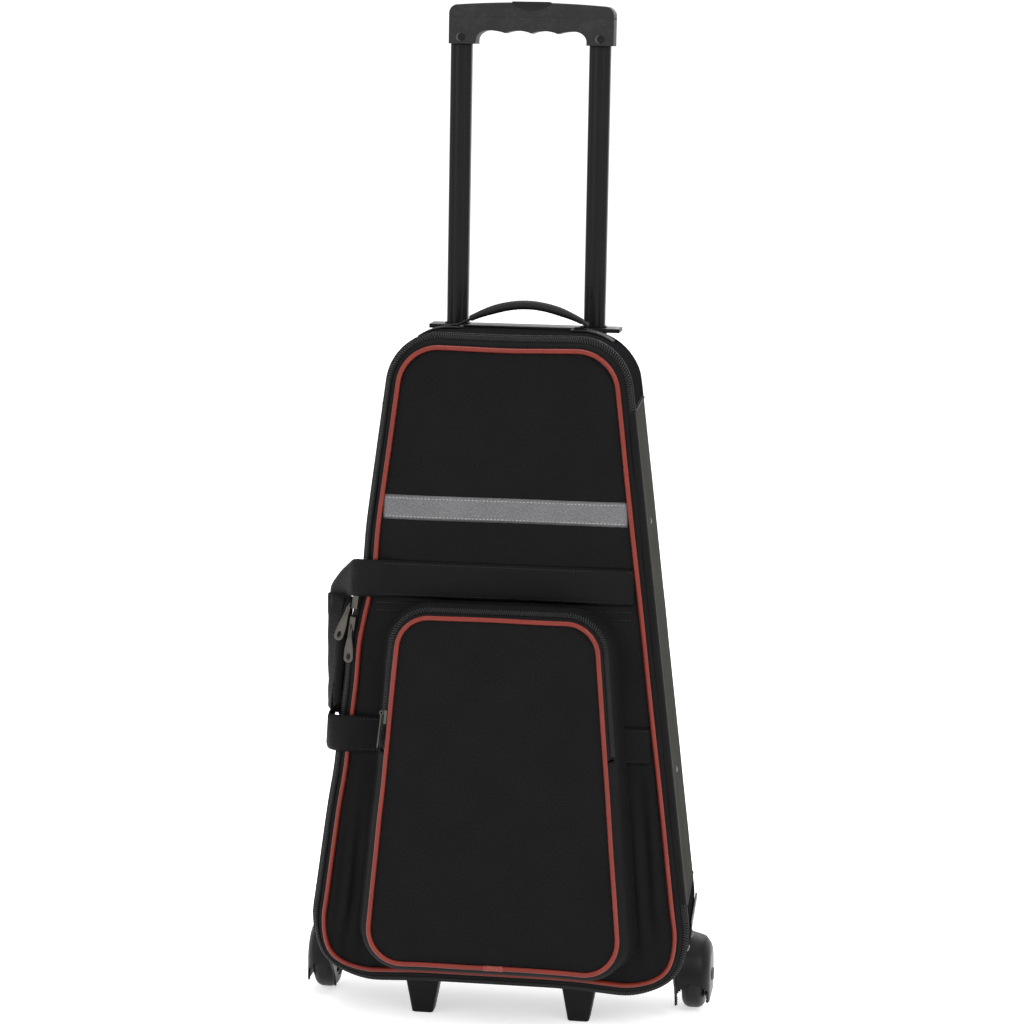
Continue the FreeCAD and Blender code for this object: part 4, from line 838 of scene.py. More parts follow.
@dataclass(frozen=True)
class Cloth(Finish):
    """Woven fabric.

    Args:
        pitch: Distance between its threads, in millimetres.
        unevenness: Share of slubs in the height of the weave.
    """

    pitch: float = 0.8
    unevenness: float = 0.5

    def build(self, groups: dict[str, bpy.types.NodeTree],
              mapping: Mapping = Mapping.UV) -> bpy.types.Material:
        """Make the material from the shared weave group."""
        material, g, shader, vector = self.start(mapping)
        if mapping is Mapping.OBJECT:
            x, y, z = g.split(vector)
            flat = g.node("ShaderNodeCombineXYZ")
            g.join(g.math("ADD", x, y), flat.inputs[0])
            g.join(z, flat.inputs[1])
            vector = flat.outputs[0]
        weave = g.group(groups["weave"], Vector=vector, Pitch=self.pitch * MM,
                        Unevenness=self.unevenness)
        share = g.math("ADD", weave.outputs["Shade"], 0.5)
        self.shade_with(g, shader, share, 0.6, 1.45)
        self.add_bump(g, shader, weave.outputs["Height"])
        g.join(g.span(weave.outputs["Shade"], -0.4, 0.4, self.roughness + 0.06,
                      self.roughness - 0.06), shader.inputs["Roughness"])
        return material


@dataclass(frozen=True)
class Webbing(Finish):
    """Ribbed strap."""

    def build(self, groups: dict[str, bpy.types.NodeTree],
              mapping: Mapping = Mapping.UV) -> bpy.types.Material:
        """Make the material from the shared webbing group."""
        material, g, shader, vector = self.start(mapping)
        ribs = g.group(groups["webbing"], Vector=vector)
        # Painted shade and highlight: the base colour darkens in the rib valleys and lightens on
        # the rib crests.
        share = g.math("ADD", ribs.outputs["Shade"], 0.5)
        self.shade_with(g, shader, share, 0.6, 1.5)
        self.add_bump(g, shader, ribs.outputs["Height"])
        return material


@dataclass(frozen=True)
class Moulding(Finish):
    """Moulded plastic or rubber with a fine grain.

    Args:
        grain: How many cells of grain go into a metre.
    """

    grain: float = 900.0

    def build(self, groups: dict[str, bpy.types.NodeTree],
              mapping: Mapping = Mapping.OBJECT) -> bpy.types.Material:
        """Make the material from the shared grain group."""
        material, g, shader, vector = self.start(mapping)
        grain = g.group(groups["grain"], Vector=vector, Scale=self.grain)
        self.shade_with(g, shader, grain.outputs["Scuff"], 0.9, 1.35)
        self.add_bump(g, shader, grain.outputs["Height"])
        g.join(g.span(grain.outputs["Scuff"], 0.0, 1.0, self.roughness, self.roughness + 0.12),
               shader.inputs["Roughness"])
        return material


@dataclass(frozen=True)
class Metal(Finish):
    """Drawn, plated or anodised metal.

    Args:
        stretch: How fine its lines are along each axis.
    """

    stretch: tuple[float, float, float] = (1400.0, 1400.0, 12.0)

    def build(self, groups: dict[str, bpy.types.NodeTree],
              mapping: Mapping = Mapping.OBJECT) -> bpy.types.Material:
        """Make the material from the shared drawn metal group."""
        material, g, shader, vector = self.start(mapping)
        lines = g.group(groups["metal"], Vector=vector, Stretch=self.stretch)
        self.shade_with(g, shader, lines.outputs["Line"], 0.8, 1.2)
        marks = g.math("ADD", g.span(lines.outputs["Line"], 0.2, 0.8, -0.05, 0.05),
                       g.span(lines.outputs["Mark"], 0.3, 0.7, self.roughness - 0.04,
                              self.roughness + 0.08))
        g.join(marks, shader.inputs["Roughness"])
        self.add_bump(g, shader, lines.outputs["Line"])
        return material


class Paints:
    """Every finish of the case, built once."""

    def __init__(self) -> None:
        """Build the shared groups and the materials."""
        groups = {"weave": weave_group(), "webbing": webbing_group(),
                  "grain": grain_group(), "metal": brushed_group()}
        self.front = Cloth("front_cloth", (0.0053, 0.0051, 0.0056), 0.6, sheen=0.015,
                           specular=0.07, bump=0.22, pitch=0.9).build(groups)
        # The side cloth is the same black cloth painted several times lighter: painted light
        # standing in for the light and grazing sheen on the case's side faces.
        self.side = Cloth("side_cloth_painted_light", (0.040, 0.039, 0.035), 0.75, sheen=0.03, specular=0.0,
                          bump=0.20, pitch=0.9).build(groups)
        self.wall = Cloth("wall_cloth", (0.0105, 0.0100, 0.0108), 0.8, specular=0.0, bump=0.10,
                          pitch=0.9).build(groups)
        self.piping = Cloth("piping_cord", (0.180, 0.0205, 0.0110), 0.30, specular=0.28,
                            bump=0.02, pitch=0.6, unevenness=0.25).build(groups)
        self.webbing = Webbing("strap_webbing", (0.0064, 0.0063, 0.0066), 0.55, specular=0.08,
                               bump=0.30).build(groups)
        self.tape = Cloth("reflective_tape", (0.128, 0.128, 0.132), 0.4, metallic=0.2,
                          specular=0.3, bump=0.02, pitch=0.3, unevenness=0.3).build(groups)
        self.thread_light = Cloth("thread_light", (0.40, 0.40, 0.41), 0.6, specular=0.2, bump=0.02,
                                  pitch=0.2).build(groups, Mapping.OBJECT)
        self.thread_dark = Cloth("thread_dark", (0.022, 0.022, 0.023), 0.5, specular=0.3,
                                 bump=0.02, pitch=0.2).build(groups, Mapping.OBJECT)
        self.coil = Moulding("zipper_coil", (0.017, 0.017, 0.0175), 0.34, specular=0.4, bump=0.01,
                             grain=1500.0).build(groups)
        self.moulding = Moulding("guard_moulding", (0.0052, 0.0052, 0.0054), 0.36, specular=0.13,
                                 bump=0.03, grain=1100.0).build(groups)
        self.grip = Moulding("grip_moulding", (0.0235, 0.0235, 0.0235), 0.5, specular=0.12,
                             bump=0.05, grain=1300.0).build(groups)
        self.button = Moulding("button_moulding", (0.0105, 0.0105, 0.0102), 0.4, specular=0.15,
                               bump=0.03, grain=1300.0).build(groups)
        self.rubber = Moulding("handle_rubber", (0.0095, 0.0095, 0.0098), 0.5, specular=0.2,
                               bump=0.05, grain=1000.0).build(groups)
        self.feet = Moulding("foot_moulding", (0.0055, 0.0055, 0.0057), 0.42, specular=0.12,
                             bump=0.03, grain=1000.0).build(groups)
        self.tyre = Moulding("tyre_rubber", (0.009, 0.009, 0.0092), 0.42, specular=0.2, bump=0.03,
                             grain=700.0).build(groups)
        self.hub = Moulding("hub_moulding", (0.03, 0.03, 0.031), 0.45, bump=0.03,
                            grain=1200.0).build(groups)
        self.board = Moulding("stiff_board", (0.018, 0.018, 0.018), 0.6, specular=0.2, bump=0.05,
                              grain=500.0).build(groups)
        self.tube = Metal("tube_anodised", (0.0038, 0.0038, 0.0035), 0.26, specular=0.17,
                          bump=0.004).build(groups)
        self.steel = Metal("ground_steel", (0.5, 0.5, 0.5), 0.3, metallic=1.0, bump=0.004,
                           stretch=(500.0, 500.0, 500.0)).build(groups)
        self.dark_steel = Metal("dark_steel", (0.09, 0.09, 0.09), 0.35, metallic=1.0,
                                bump=0.004, stretch=(500.0, 500.0, 500.0)).build(groups)
        self.sleeve = Cloth("sleeve_cloth", (0.0075, 0.0073, 0.008), 0.65, sheen=0.015,
                            specular=0.05, bump=0.08, pitch=0.7).build(groups, Mapping.OBJECT)
        self.cover = Cloth("cover_cloth", (0.25, 0.055, 0.044), 0.5, specular=0.2, bump=0.03,
                           pitch=0.6).build(groups)
        self.nickel = Metal("gunmetal_nickel", (0.078, 0.071, 0.062), 0.34, metallic=1.0,
                            bump=0.01, stretch=(300.0, 300.0, 300.0)).build(groups)


def dress(piece: bpy.types.Object, material: bpy.types.Material, body: Body,
          slot: str, *replaced: str) -> bpy.types.Object:
    """Give a piece its material and body, and hide the nodes it stands for.

    Args:
        piece: The piece.
        material: Its material.
        body: Body that it rides on.
        slot: Not used.
        replaced: Solids that it stands for.

    Returns:
        The same piece.
    """
    piece.data.materials.clear()
    piece.data.materials.append(material)
    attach(piece, body.value)
    if replaced:
        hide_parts(*replaced)
    LOG.info("%s: %d vertices on %s", piece.name, len(piece.data.vertices), body.value)
    return piece


@dataclass(frozen=True)
class Stitch:
    """A row of sewn stitches: each a short rounded dash of thread.

    Args:
        pitch: Distance from stitch to stitch.
        dash: Length of a stitch.
        width: Width of the thread.
        height: How far it stands up.
    """

    pitch: float = 4.2
    dash: float = 3.0
    width: float = 0.8
    height: float = 0.35

    def row(self, name: str, path: Array, up: Array) -> bpy.types.Object:
        """Lay stitches along a path.

        Args:
            name: Name of the piece.
            path: Points on the cloth.
            up: Direction away from the cloth, one or one per point.

        Returns:
            The new object.
        """
        lengths = lengths_along(path)
        starts = np.arange(self.pitch / 2, lengths[-1] - self.dash, self.pitch)
        halfway = starts + self.dash / 2
        first, middle, last = (read_at(where, lengths, path)
                               for where in (starts, halfway, starts + self.dash))
        facing = read_at(halfway, lengths, np.broadcast_to(up, path.shape))
        side = np.cross(unit(last - first), facing) * self.width / 2
        top = facing * self.height
        ring = [first, middle + side, middle + top, middle - side, last]
        vertices = np.stack(ring, 1).reshape(-1, 3)
        pattern = np.array([[0, 1, 2], [0, 2, 3], [4, 2, 1], [4, 3, 2]])
        faces = (np.arange(len(starts))[:, None, None] * 5 + pattern).reshape(-1, 3)
        return new_object(name, vertices, faces.tolist())


# Surfaces that several pieces follow

# Extra rows about a sewn groove, and the least distance between two rows.
SEAM_ROWS = (-3.2, -2.2, -1.4, -0.7, 0.0, 0.7, 1.4, 2.2, 3.2)
LEAST_ROW = 0.25


def fill_rows(line: Outline, offset: float, step: float, extra: Sequence[float] = ()) -> Array:
    """Heights of the rows that fill an outline, closer together in its corners and seams."""
    lean = math.atan(line.slope)
    low_r, high_r = line.low_round + offset, line.high_round + offset
    low_c, high_c = line.low - offset + low_r, line.high + offset - high_r
    low = low_c - low_r * np.cos(np.linspace(0.12, math.pi / 2 + lean, 16))
    high = high_c + high_r * np.cos(np.linspace(math.pi / 2 - lean, 0.12, 16))
    count = int((high[0] - low[-1]) / step)
    middle = np.linspace(low[-1], high[0], count + 1)[1:-1]
    fine = [seam + gap for seam in extra for gap in SEAM_ROWS]
    rows = np.sort(np.concatenate([[line.low - offset], low, middle, high, fine,
                                   [line.high + offset]]))
    return rows[np.concatenate([[True], np.diff(rows) > LEAST_ROW])]


def fill_grid(line: Outline, offset: float, step: float,
              extra: Sequence[float] = ()) -> tuple[Array, Array]:
    """Places that fill an outline, moved out by an offset.

    Args:
        line: Outline to fill.
        offset: How far the filled area reaches beyond it.
        step: Distance between neighbours.
        extra: Heights of seams that need finer rows.

    Returns:
        Grids of x and z.
    """
    z = fill_rows(line, offset, step, extra)
    half = line.width_at(z, offset)
    count = int(2 * line.low_half / step)
    share = np.linspace(-1, 1, count)
    share = np.sign(share) * (1 - (1 - np.abs(share)) ** 1.15)
    return half[:, None] * share, np.repeat(z[:, None], count, 1)


def border(rows: int, columns: int) -> list[int]:
    """Vertex numbers once round the edge of a grid."""
    low = list(range(columns))
    right = [i * columns + columns - 1 for i in range(1, rows)]
    high = [(rows - 1) * columns + j for j in range(columns - 2, -1, -1)]
    left = [i * columns for i in range(rows - 2, 0, -1)]
    return low + right + high + left


def cushion(name: str, x: Array, z: Array, front: Array, back: Array,
            bulge: float = 0.0) -> bpy.types.Object:
    """A closed pad between two surfaces over the same places.

    Args:
        name: Name of the piece.
        x: Grid of x.
        z: Grid of z.
        front: Depth of the surface towards the viewer.
        back: Depth of the surface behind.
        bulge: How far the edge stands out between them.

    Returns:
        The new object.
    """
    rows, columns = x.shape
    near, far = world(x, front, z).reshape(-1, 3), world(x, back, z).reshape(-1, 3)
    ring = border(rows, columns)
    edge = near[ring]
    run = np.roll(edge, -1, 0) - np.roll(edge, 1, 0)
    away = unit(np.stack([run[:, 2], np.zeros(len(run)), -run[:, 0]], 1))
    walls = [edge * (1 - s) + far[ring] * s + away * bulge * math.sin(math.pi * s)
             for s in (0.2, 0.5, 0.8)]
    vertices = np.concatenate([near, far, *walls])
    quads, _ = grid_faces(rows, columns, False, False)
    faces = quads[:, ::-1].tolist() + (quads + len(near)).tolist()
    start = 2 * len(near)
    rings = [ring, *[[start + k * len(ring) + i for i in range(len(ring))] for k in range(3)],
             [i + len(near) for i in ring]]
    for inner, outer in zip(rings, rings[1:]):
        for i in range(len(ring)):
            j = (i + 1) % len(ring)
            faces.append([inner[i], inner[j], outer[j], outer[i]])
    piece = outward(new_object(name, vertices, faces))
    planar_uvs(piece, 0, 2)
    return piece


@dataclass(frozen=True)
class PanelSurface:
    """The quilted front of the case: depth of its cloth behind the piping's plane.

    Args:
        edge: Depth where the cloth meets the piping.
        crown: How far the padding swells forward.
        reach: Distance from the edge over which it swells.
        strap_press: How far a strap pulls the padding in.
        tuck: Depth of the sewn grooves above the pocket.
        tuck_half: Half length of those grooves.
        seams: Heights of those grooves.
        fold: Height of the long folds beside the pocket.
        broad: Slow waves of the padding.
        fine: Small puckers of the cloth.
    """

    edge: float = 1.6
    crown: float = 3.9
    reach: float = 13.0
    strap_press: float = 0.9
    tuck: float = 1.3
    tuck_half: float = 132.0
    seams: tuple[float, float] = (427.0, 435.0)
    fold: float = 2.0
    broad: Ripple = Ripple(11, 0.6, 70.0, 210.0)
    fine: Ripple = Ripple(12, 0.12, 18.0, 46.0, 12)

    def __call__(self, x: Array, z: Array) -> Array:
        """Depth of the cloth at a place.

        Args:
            x: Place across.
            z: Height.

        Returns:
            Depth behind the piping's plane; less than 0 is in front.
        """
        inside = CASE_LINE.inside(x, z)
        swell = 1 - np.exp(-inside / self.reach)
        depth = self.edge - self.crown * swell
        depth = depth - self.broad(x, z) * swell - self.fine(x, z) * swell
        # Puckers along the sewn edge.
        waves = np.sin((x * 0.37 + z * 0.41) + 1.3 * np.sin(x * 0.05 + z * 0.07))
        depth = depth + 0.45 * np.exp(-inside / 7.0) * waves
        for height in (STRAP_HIGH, STRAP_LOW):
            depth = depth + self.strap_press * hump(z, height, 24.0)
        across = smooth((self.tuck_half - np.abs(x)) / 20.0)
        for height in self.seams:
            depth = depth + self.tuck * hump(z, height, 1.1) * across
        # Long folds beside the pocket.
        for side, centre, height, wave in ((LEFT, 153.0, 122.0, 15.0), (RIGHT, 150.0, 170.0, 19.0)):
            window = hump(side * x, centre, 17.0) * hump(z, height, 85.0)
            depth = depth - self.fold * window * np.sin((side * x + z * 0.09) * math.tau / wave)
        return depth


PANEL = PanelSurface()


def ribbon(name: str, first: Array, second: Array, facing: Array, thickness: float,
           across: int = 9) -> bpy.types.Object:
    """Webbing between two edges, with rounded selvedges.

    Args:
        name: Name of the piece.
        first: Points along one edge.
        second: Points along the other edge.
        facing: Direction of the webbing's outer face at each point.
        thickness: Thickness of the webbing.
        across: Number of points from edge to edge.

    Returns:
        The new object.
    """
    facing = unit(np.broadcast_to(facing, first.shape))
    share = np.linspace(0, 1, across)
    profile = np.sqrt(np.clip(1 - (2 * share - 1) ** 10, 0, 1)) * thickness / 2
    line = first[:, None] * (1 - share)[None, :, None] + second[:, None] * share[None, :, None]
    lift = facing[:, None] * profile[None, :, None]
    points = np.concatenate([line + lift, (line - lift)[:, ::-1][:, 1:-1]], 1)
    return outward(grid_piece(name, points, wrap_columns=True, caps=True))


def slab(name: str, outline: Array, front: float, rear: float, edge: float) -> bpy.types.Object:
    """A moulding with rounded edges from its outline seen from the front.

    Args:
        name: Name of the piece.
        outline: X and height round it.
        front: Y of its front face.
        rear: Y of its rear face.
        edge: Radius of its edges.

    Returns:
        The new object.
    """
    run = np.roll(outline, -1, 0) - np.roll(outline, 1, 0)
    away = unit(np.stack([run[:, 1], -run[:, 0]], 1))
    x, z = outline.T
    away = away * np.sign(np.sum(x * np.roll(z, -1) - np.roll(x, -1) * z))
    rings = [(outline - away * edge * (1 - math.sin(angle)), front + edge * (1 - math.cos(angle)))
             for angle in np.linspace(0, math.pi / 2, 5)]
    rings += [(place, front + rear - y) for place, y in rings[::-1]]
    points = np.stack([np.stack([place[:, 0], np.full(len(place), y), place[:, 1]], 1)
                       for place, y in rings])
    return outward(grid_piece(name, points, wrap_columns=True, caps=True))


@dataclass(frozen=True)
class Piping:
    """A cord in a bias-cut cover that puckers a little, once round an outline.

    Args:
        line: Outline that it follows.
        radius: Its radius.
        wander: How it strays from the outline.
        pucker: Distance from pucker to pucker.
        step: Distance between its sections.
        depth: Depth of its centre.
        sway: How much of the straying shows in the depth too.
    """

    line: Outline
    radius: float
    wander: Ripple
    pucker: float
    step: float
    depth: float = 0.0
    sway: float = 0.0

    def build(self, name: str) -> bpy.types.Object:
        """Make the cord under a name."""
        length = self.line.whole(self.step)
        points, normals = self.line.along(length)
        stray = self.wander(points[:, 0], points[:, 1])[:, None]
        turn = circle(14)
        radius = self.radius * (1 + 0.012 * np.sin(length * math.tau / self.pucker))[:, None]
        x, z = moved_out(points, normals, stray + radius * np.cos(turn))
        depth = self.depth + radius * np.sin(turn) + stray * self.sway
        return grid_piece(name, world(x, depth, z), wrap_rows=True, wrap_columns=True)


def finish_node(node: str, material: bpy.types.Material, bevel: float) -> None:
    """Give a CAD node its material, and round its edges if it is moulded, in millimetres."""
    piece = frame["nodes"][node]
    piece.data.materials.clear()
    piece.data.materials.append(material)
    if bevel:
        modifier = piece.modifiers.new("edge_round", "BEVEL")
        modifier.width = bevel * MM
        modifier.segments = 3
        modifier.limit_method = "ANGLE"
        modifier.angle_limit = math.radians(40.0)
        modifier.use_clamp_overlap = True
        modifier.harden_normals = False
    LOG.info("%s: CAD node dressed", node)


CLOTH_FRAMES = 20


def puffed(piece: bpy.types.Object, pressure: float, cap: float, voxel: float,
           hold: Callable[[Array], Array]) -> bpy.types.Object:
    """Blow a closed pad up with a cloth simulation and keep its result.

    Args:
        piece: The closed pad, which is removed.
        pressure: Pressure inside.
        cap: Farthest that a point may move, in millimetres.
        voxel: Size of the remesh, in millimetres.
        hold: Share of the movement that a point keeps, from its place.

    Returns:
        The simulated pad under the same name.
    """
    name = piece.name
    remesh = piece.modifiers.new("voxels", "REMESH")
    remesh.mode = "VOXEL"
    remesh.voxel_size = voxel * MM
    graph = bpy.context.evaluated_depsgraph_get()
    mesh = bpy.data.meshes.new_from_object(piece.evaluated_get(graph))
    bpy.data.objects.remove(piece)
    pad = bpy.data.objects.new(name, mesh)
    bpy.context.scene.collection.objects.link(pad)
    start = np.array([v.co for v in mesh.vertices], float)
    cloth = pad.modifiers.new("cloth", "CLOTH")
    settings = cloth.settings
    settings.quality = 6
    settings.mass = 0.35
    settings.tension_stiffness = settings.compression_stiffness = 18
    settings.shear_stiffness = 8
    settings.bending_stiffness = 1.2
    settings.use_pressure = True
    settings.uniform_pressure_force = pressure
    settings.effector_weights.gravity = 0.0
    cloth.point_cache.frame_start, cloth.point_cache.frame_end = 1, CLOTH_FRAMES
    for step in range(1, CLOTH_FRAMES + 1):
        bpy.context.scene.frame_set(step)
    graph = bpy.context.evaluated_depsgraph_get()
    blown = np.array([v.co for v in pad.evaluated_get(graph).data.vertices], float)
    pad.modifiers.clear()
    bpy.context.scene.frame_set(1)
    move = blown - start
    size = np.linalg.norm(move, axis=1, keepdims=True)
    limit = cap * MM * hold(start / MM)[:, None]
    move = move / np.maximum(size, TINY) * (limit * np.tanh(size / np.maximum(limit, TINY)))
    mesh.vertices.foreach_set("co", (start + move).astype(np.float32).ravel())
    mesh.update()
    shape = bmesh.new()
    shape.from_mesh(mesh)
    bmesh.ops.smooth_vert(shape, verts=shape.verts, factor=0.5, use_axis_x=True,
                          use_axis_y=True, use_axis_z=True)
    shape.to_mesh(mesh)
    shape.free()
    mesh.shade_smooth()
    subdivision = pad.modifiers.new("smooth", "SUBSURF")
    subdivision.levels = subdivision.render_levels = 1
    LOG.info("%s: cloth moved it by up to %.1f mm", name, float(size.max()) / MM)
    return pad


# Sub-assemblies


@dataclass(frozen=True)
class SoftBody:
    """The padded wall round the case, its back, binding and lining.

    Args:
        wall: Thickness of the padding.
        mouth: Depth of the front edge.
        back: Depth of the rear edge.
        swell: How far the sides swell outward.
        edge_round: Radius of the rear edge.
        pad_inset: How far the back's pad stays inside the outer cloth.
    """

    wall: float = 4.2
    mouth: float = 13.0
    back: float = 150.5
    swell: float = 1.9
    edge_round: float = 5.0
    pad_inset: float = 5.4

    def rim_shift(self, x: Array, z: Array, depth: Array) -> Array:
        """How far the outer cloth stands from its nominal place."""
        upright = smooth((z - 135.0) / 50.0) * smooth((640.0 - z) / 45.0)
        # Behind the side handle the wall lies a little further in.
        clear = np.where(x < 0, 1 - smooth((z - 255.0) / 25.0) * smooth((505.0 - z) / 25.0), 1.0)
        middle = np.sin(np.clip((depth - self.mouth) / (self.back - self.mouth), 0, 1) * math.pi)
        side = smooth((np.abs(x) - 90.0) / 20.0)
        wave = Ripple(21, 0.55, 60.0, 200.0)(depth * 1.3 + x, z)
        return side * upright * clear * middle * (self.swell + wave) + (1 - clear) * middle * -0.9

    def build(self) -> bpy.types.Object:
        """Loft the wall with its lining as one closed shell."""
        length = CASE_LINE.whole(4.0)
        points, normals = CASE_LINE.along(length)
        turn = 1 - np.sin(np.linspace(0.2, 1.5, 5))
        deep = np.concatenate([[self.mouth], np.linspace(self.mouth + 1.5, self.back - 8, 26),
                               self.back - self.edge_round * turn])
        fall = np.clip((deep - (self.back - self.edge_round)) / self.edge_round, 0, 1)
        drop = self.edge_round * (1 - np.sqrt(1 - fall ** 2))
        flat_x, flat_z = moved_out(points, normals, SHELL - drop)
        depth = np.broadcast_to(deep, flat_x.shape)
        pucker = 0.35 * np.exp(-(depth - self.mouth) / 7.0) * np.sin(length[:, None] * 0.55)
        push = self.rim_shift(flat_x, flat_z, depth) + pucker
        outer_x = narrowed(flat_x, depth) + normals[:, :1] * push
        outer_z = flat_z + normals[:, 1:] * push
        lining = deep[::-1][2:]
        inner_x, inner_z = moved_out(points, normals, SHELL - self.wall + 0 * lining)
        x = np.concatenate([outer_x, narrowed(inner_x, lining)], 1)
        z = np.concatenate([outer_z, inner_z], 1)
        depth = np.concatenate([depth, np.broadcast_to(lining, inner_x.shape)], 1)
        return grid_piece("case_shell", world(x, depth, z), wrap_rows=True, wrap_columns=True)

    def seams(self) -> tuple[bpy.types.Object, bpy.types.Object]:
        """The four seams that join the wall's panels, as welts with a row of stitches each."""
        welts, rows = [], []
        stitch = Stitch(pitch=3.8, dash=2.8, width=0.6, height=0.25)
        depth = np.linspace(self.mouth + 0.5, self.back - 4.0, 70)
        for side in (LEFT, RIGHT):
            for height, away in ((ZIPPER_LOW, -1), (ZIPPER_HIGH, 1)):
                for offset, found in ((0.0, welts), (3.4 * away, rows)):
                    z = np.full_like(depth, height + offset)
                    x = float(CASE_LINE.width_at(np.array(height + offset), SHELL)) * side
                    out = side * self.rim_shift(np.full_like(depth, x), z, depth)
                    path = world(x + out - side * taper(depth), depth, z)
                    if offset:
                        found.append(stitch.row(f"row_{side}_{height:.0f}", path,
                                                np.array([side * 1.0, 0.0, 0.1])))
                    else:
                        found.append(tube_piece(f"welt_{side}_{height:.0f}", path, 1.1, 10))
        return joined("gusset_welts", welts), joined("gusset_stitching", rows)

    def back_pad(self) -> bpy.types.Object:
        """The padded back with the soft ridges of the telescopic tubes."""
        offset = SHELL - self.pad_inset
        x, z = fill_grid(CASE_LINE, offset, 7.0)
        swell = 1 - np.exp(-(CASE_LINE.inside(x, z) + offset) / 16.0)
        ridge = sum(hump(x, side * TUBE_SPREAD, 17.0) for side in (LEFT, RIGHT))
        bump = 0.9 * swell + 1.1 * ridge * smooth((700.0 - z) / 60.0) * smooth((z - 60.0) / 40.0)
        outer = self.back - 0.6 + bump + Ripple(31, 0.35, 60.0, 180.0)(x, z) * swell
        return cushion("case_back", x, z, np.full_like(x, self.back - 3.2), outer, 0.4)

    def binding(self) -> bpy.types.Object:
        """The bound seam round the back edge."""
        turn = circle(12)
        section = np.stack([SHELL - 6.6 + 2.1 * np.cos(turn),
                            self.back - 0.4 + 2.3 * np.sin(turn)], 1)
        return sweep("back_binding", CASE_LINE, CASE_LINE.whole(4.0), section, True, tapered=True)

    def dress(self, paints: Paints) -> None:
        """Make and finish the soft body's pieces."""
        shell = dress(self.build(), paints.side, Body.CASE, "case_fabric", "gusset_top",
                      "gusset_bottom", "gusset_left", "gusset_right")
        # Faces between the zipper's ends, the sides, keep the side cloth that is painted lighter as
        # painted light; the top and bottom faces get the darker wall cloth.
        shell.data.materials.append(paints.wall)
        for face in shell.data.polygons:
            if not ZIPPER_LOW < face.center.z / MM < ZIPPER_HIGH:
                face.material_index = 1
        welts, rows = self.seams()
        dress(welts, paints.front, Body.CASE, "case_fabric")
        dress(rows, paints.thread_dark, Body.CASE, "case_fabric")
        back = dress(self.back_pad(), paints.wall, Body.CASE, "case_fabric", "back_panel")
        dress(self.binding(), paints.webbing, Body.CASE, "webbing")
        self.hinge(paints)

    def hinge(self, paints: Paints) -> None:
        """The cloth on the right that the front panel opens on."""
        section = np.array([(6.4, 4.1), (8.6, 5.0), (11.0, 6.3), (13.2, 8.0), (14.5, 10.2),
                            (14.75, 13.0), (14.7, 17.0), (13.6, 17.2), (13.5, 13.0),
                            (13.2, 10.8), (12.2, 9.2), (10.4, 7.6), (6.8, 5.6)])
        length = CASE_LINE.run((RIGHT, ZIPPER_LOW - 2), (RIGHT, ZIPPER_HIGH + 2), 4.0)
        strip = sweep("hinge_cloth", CASE_LINE, length, section, False, tapered=True)
        strip.data.materials.append(paints.front)
        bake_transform(strip)
        LOG.info("hinge_cloth: blended between lid and case")


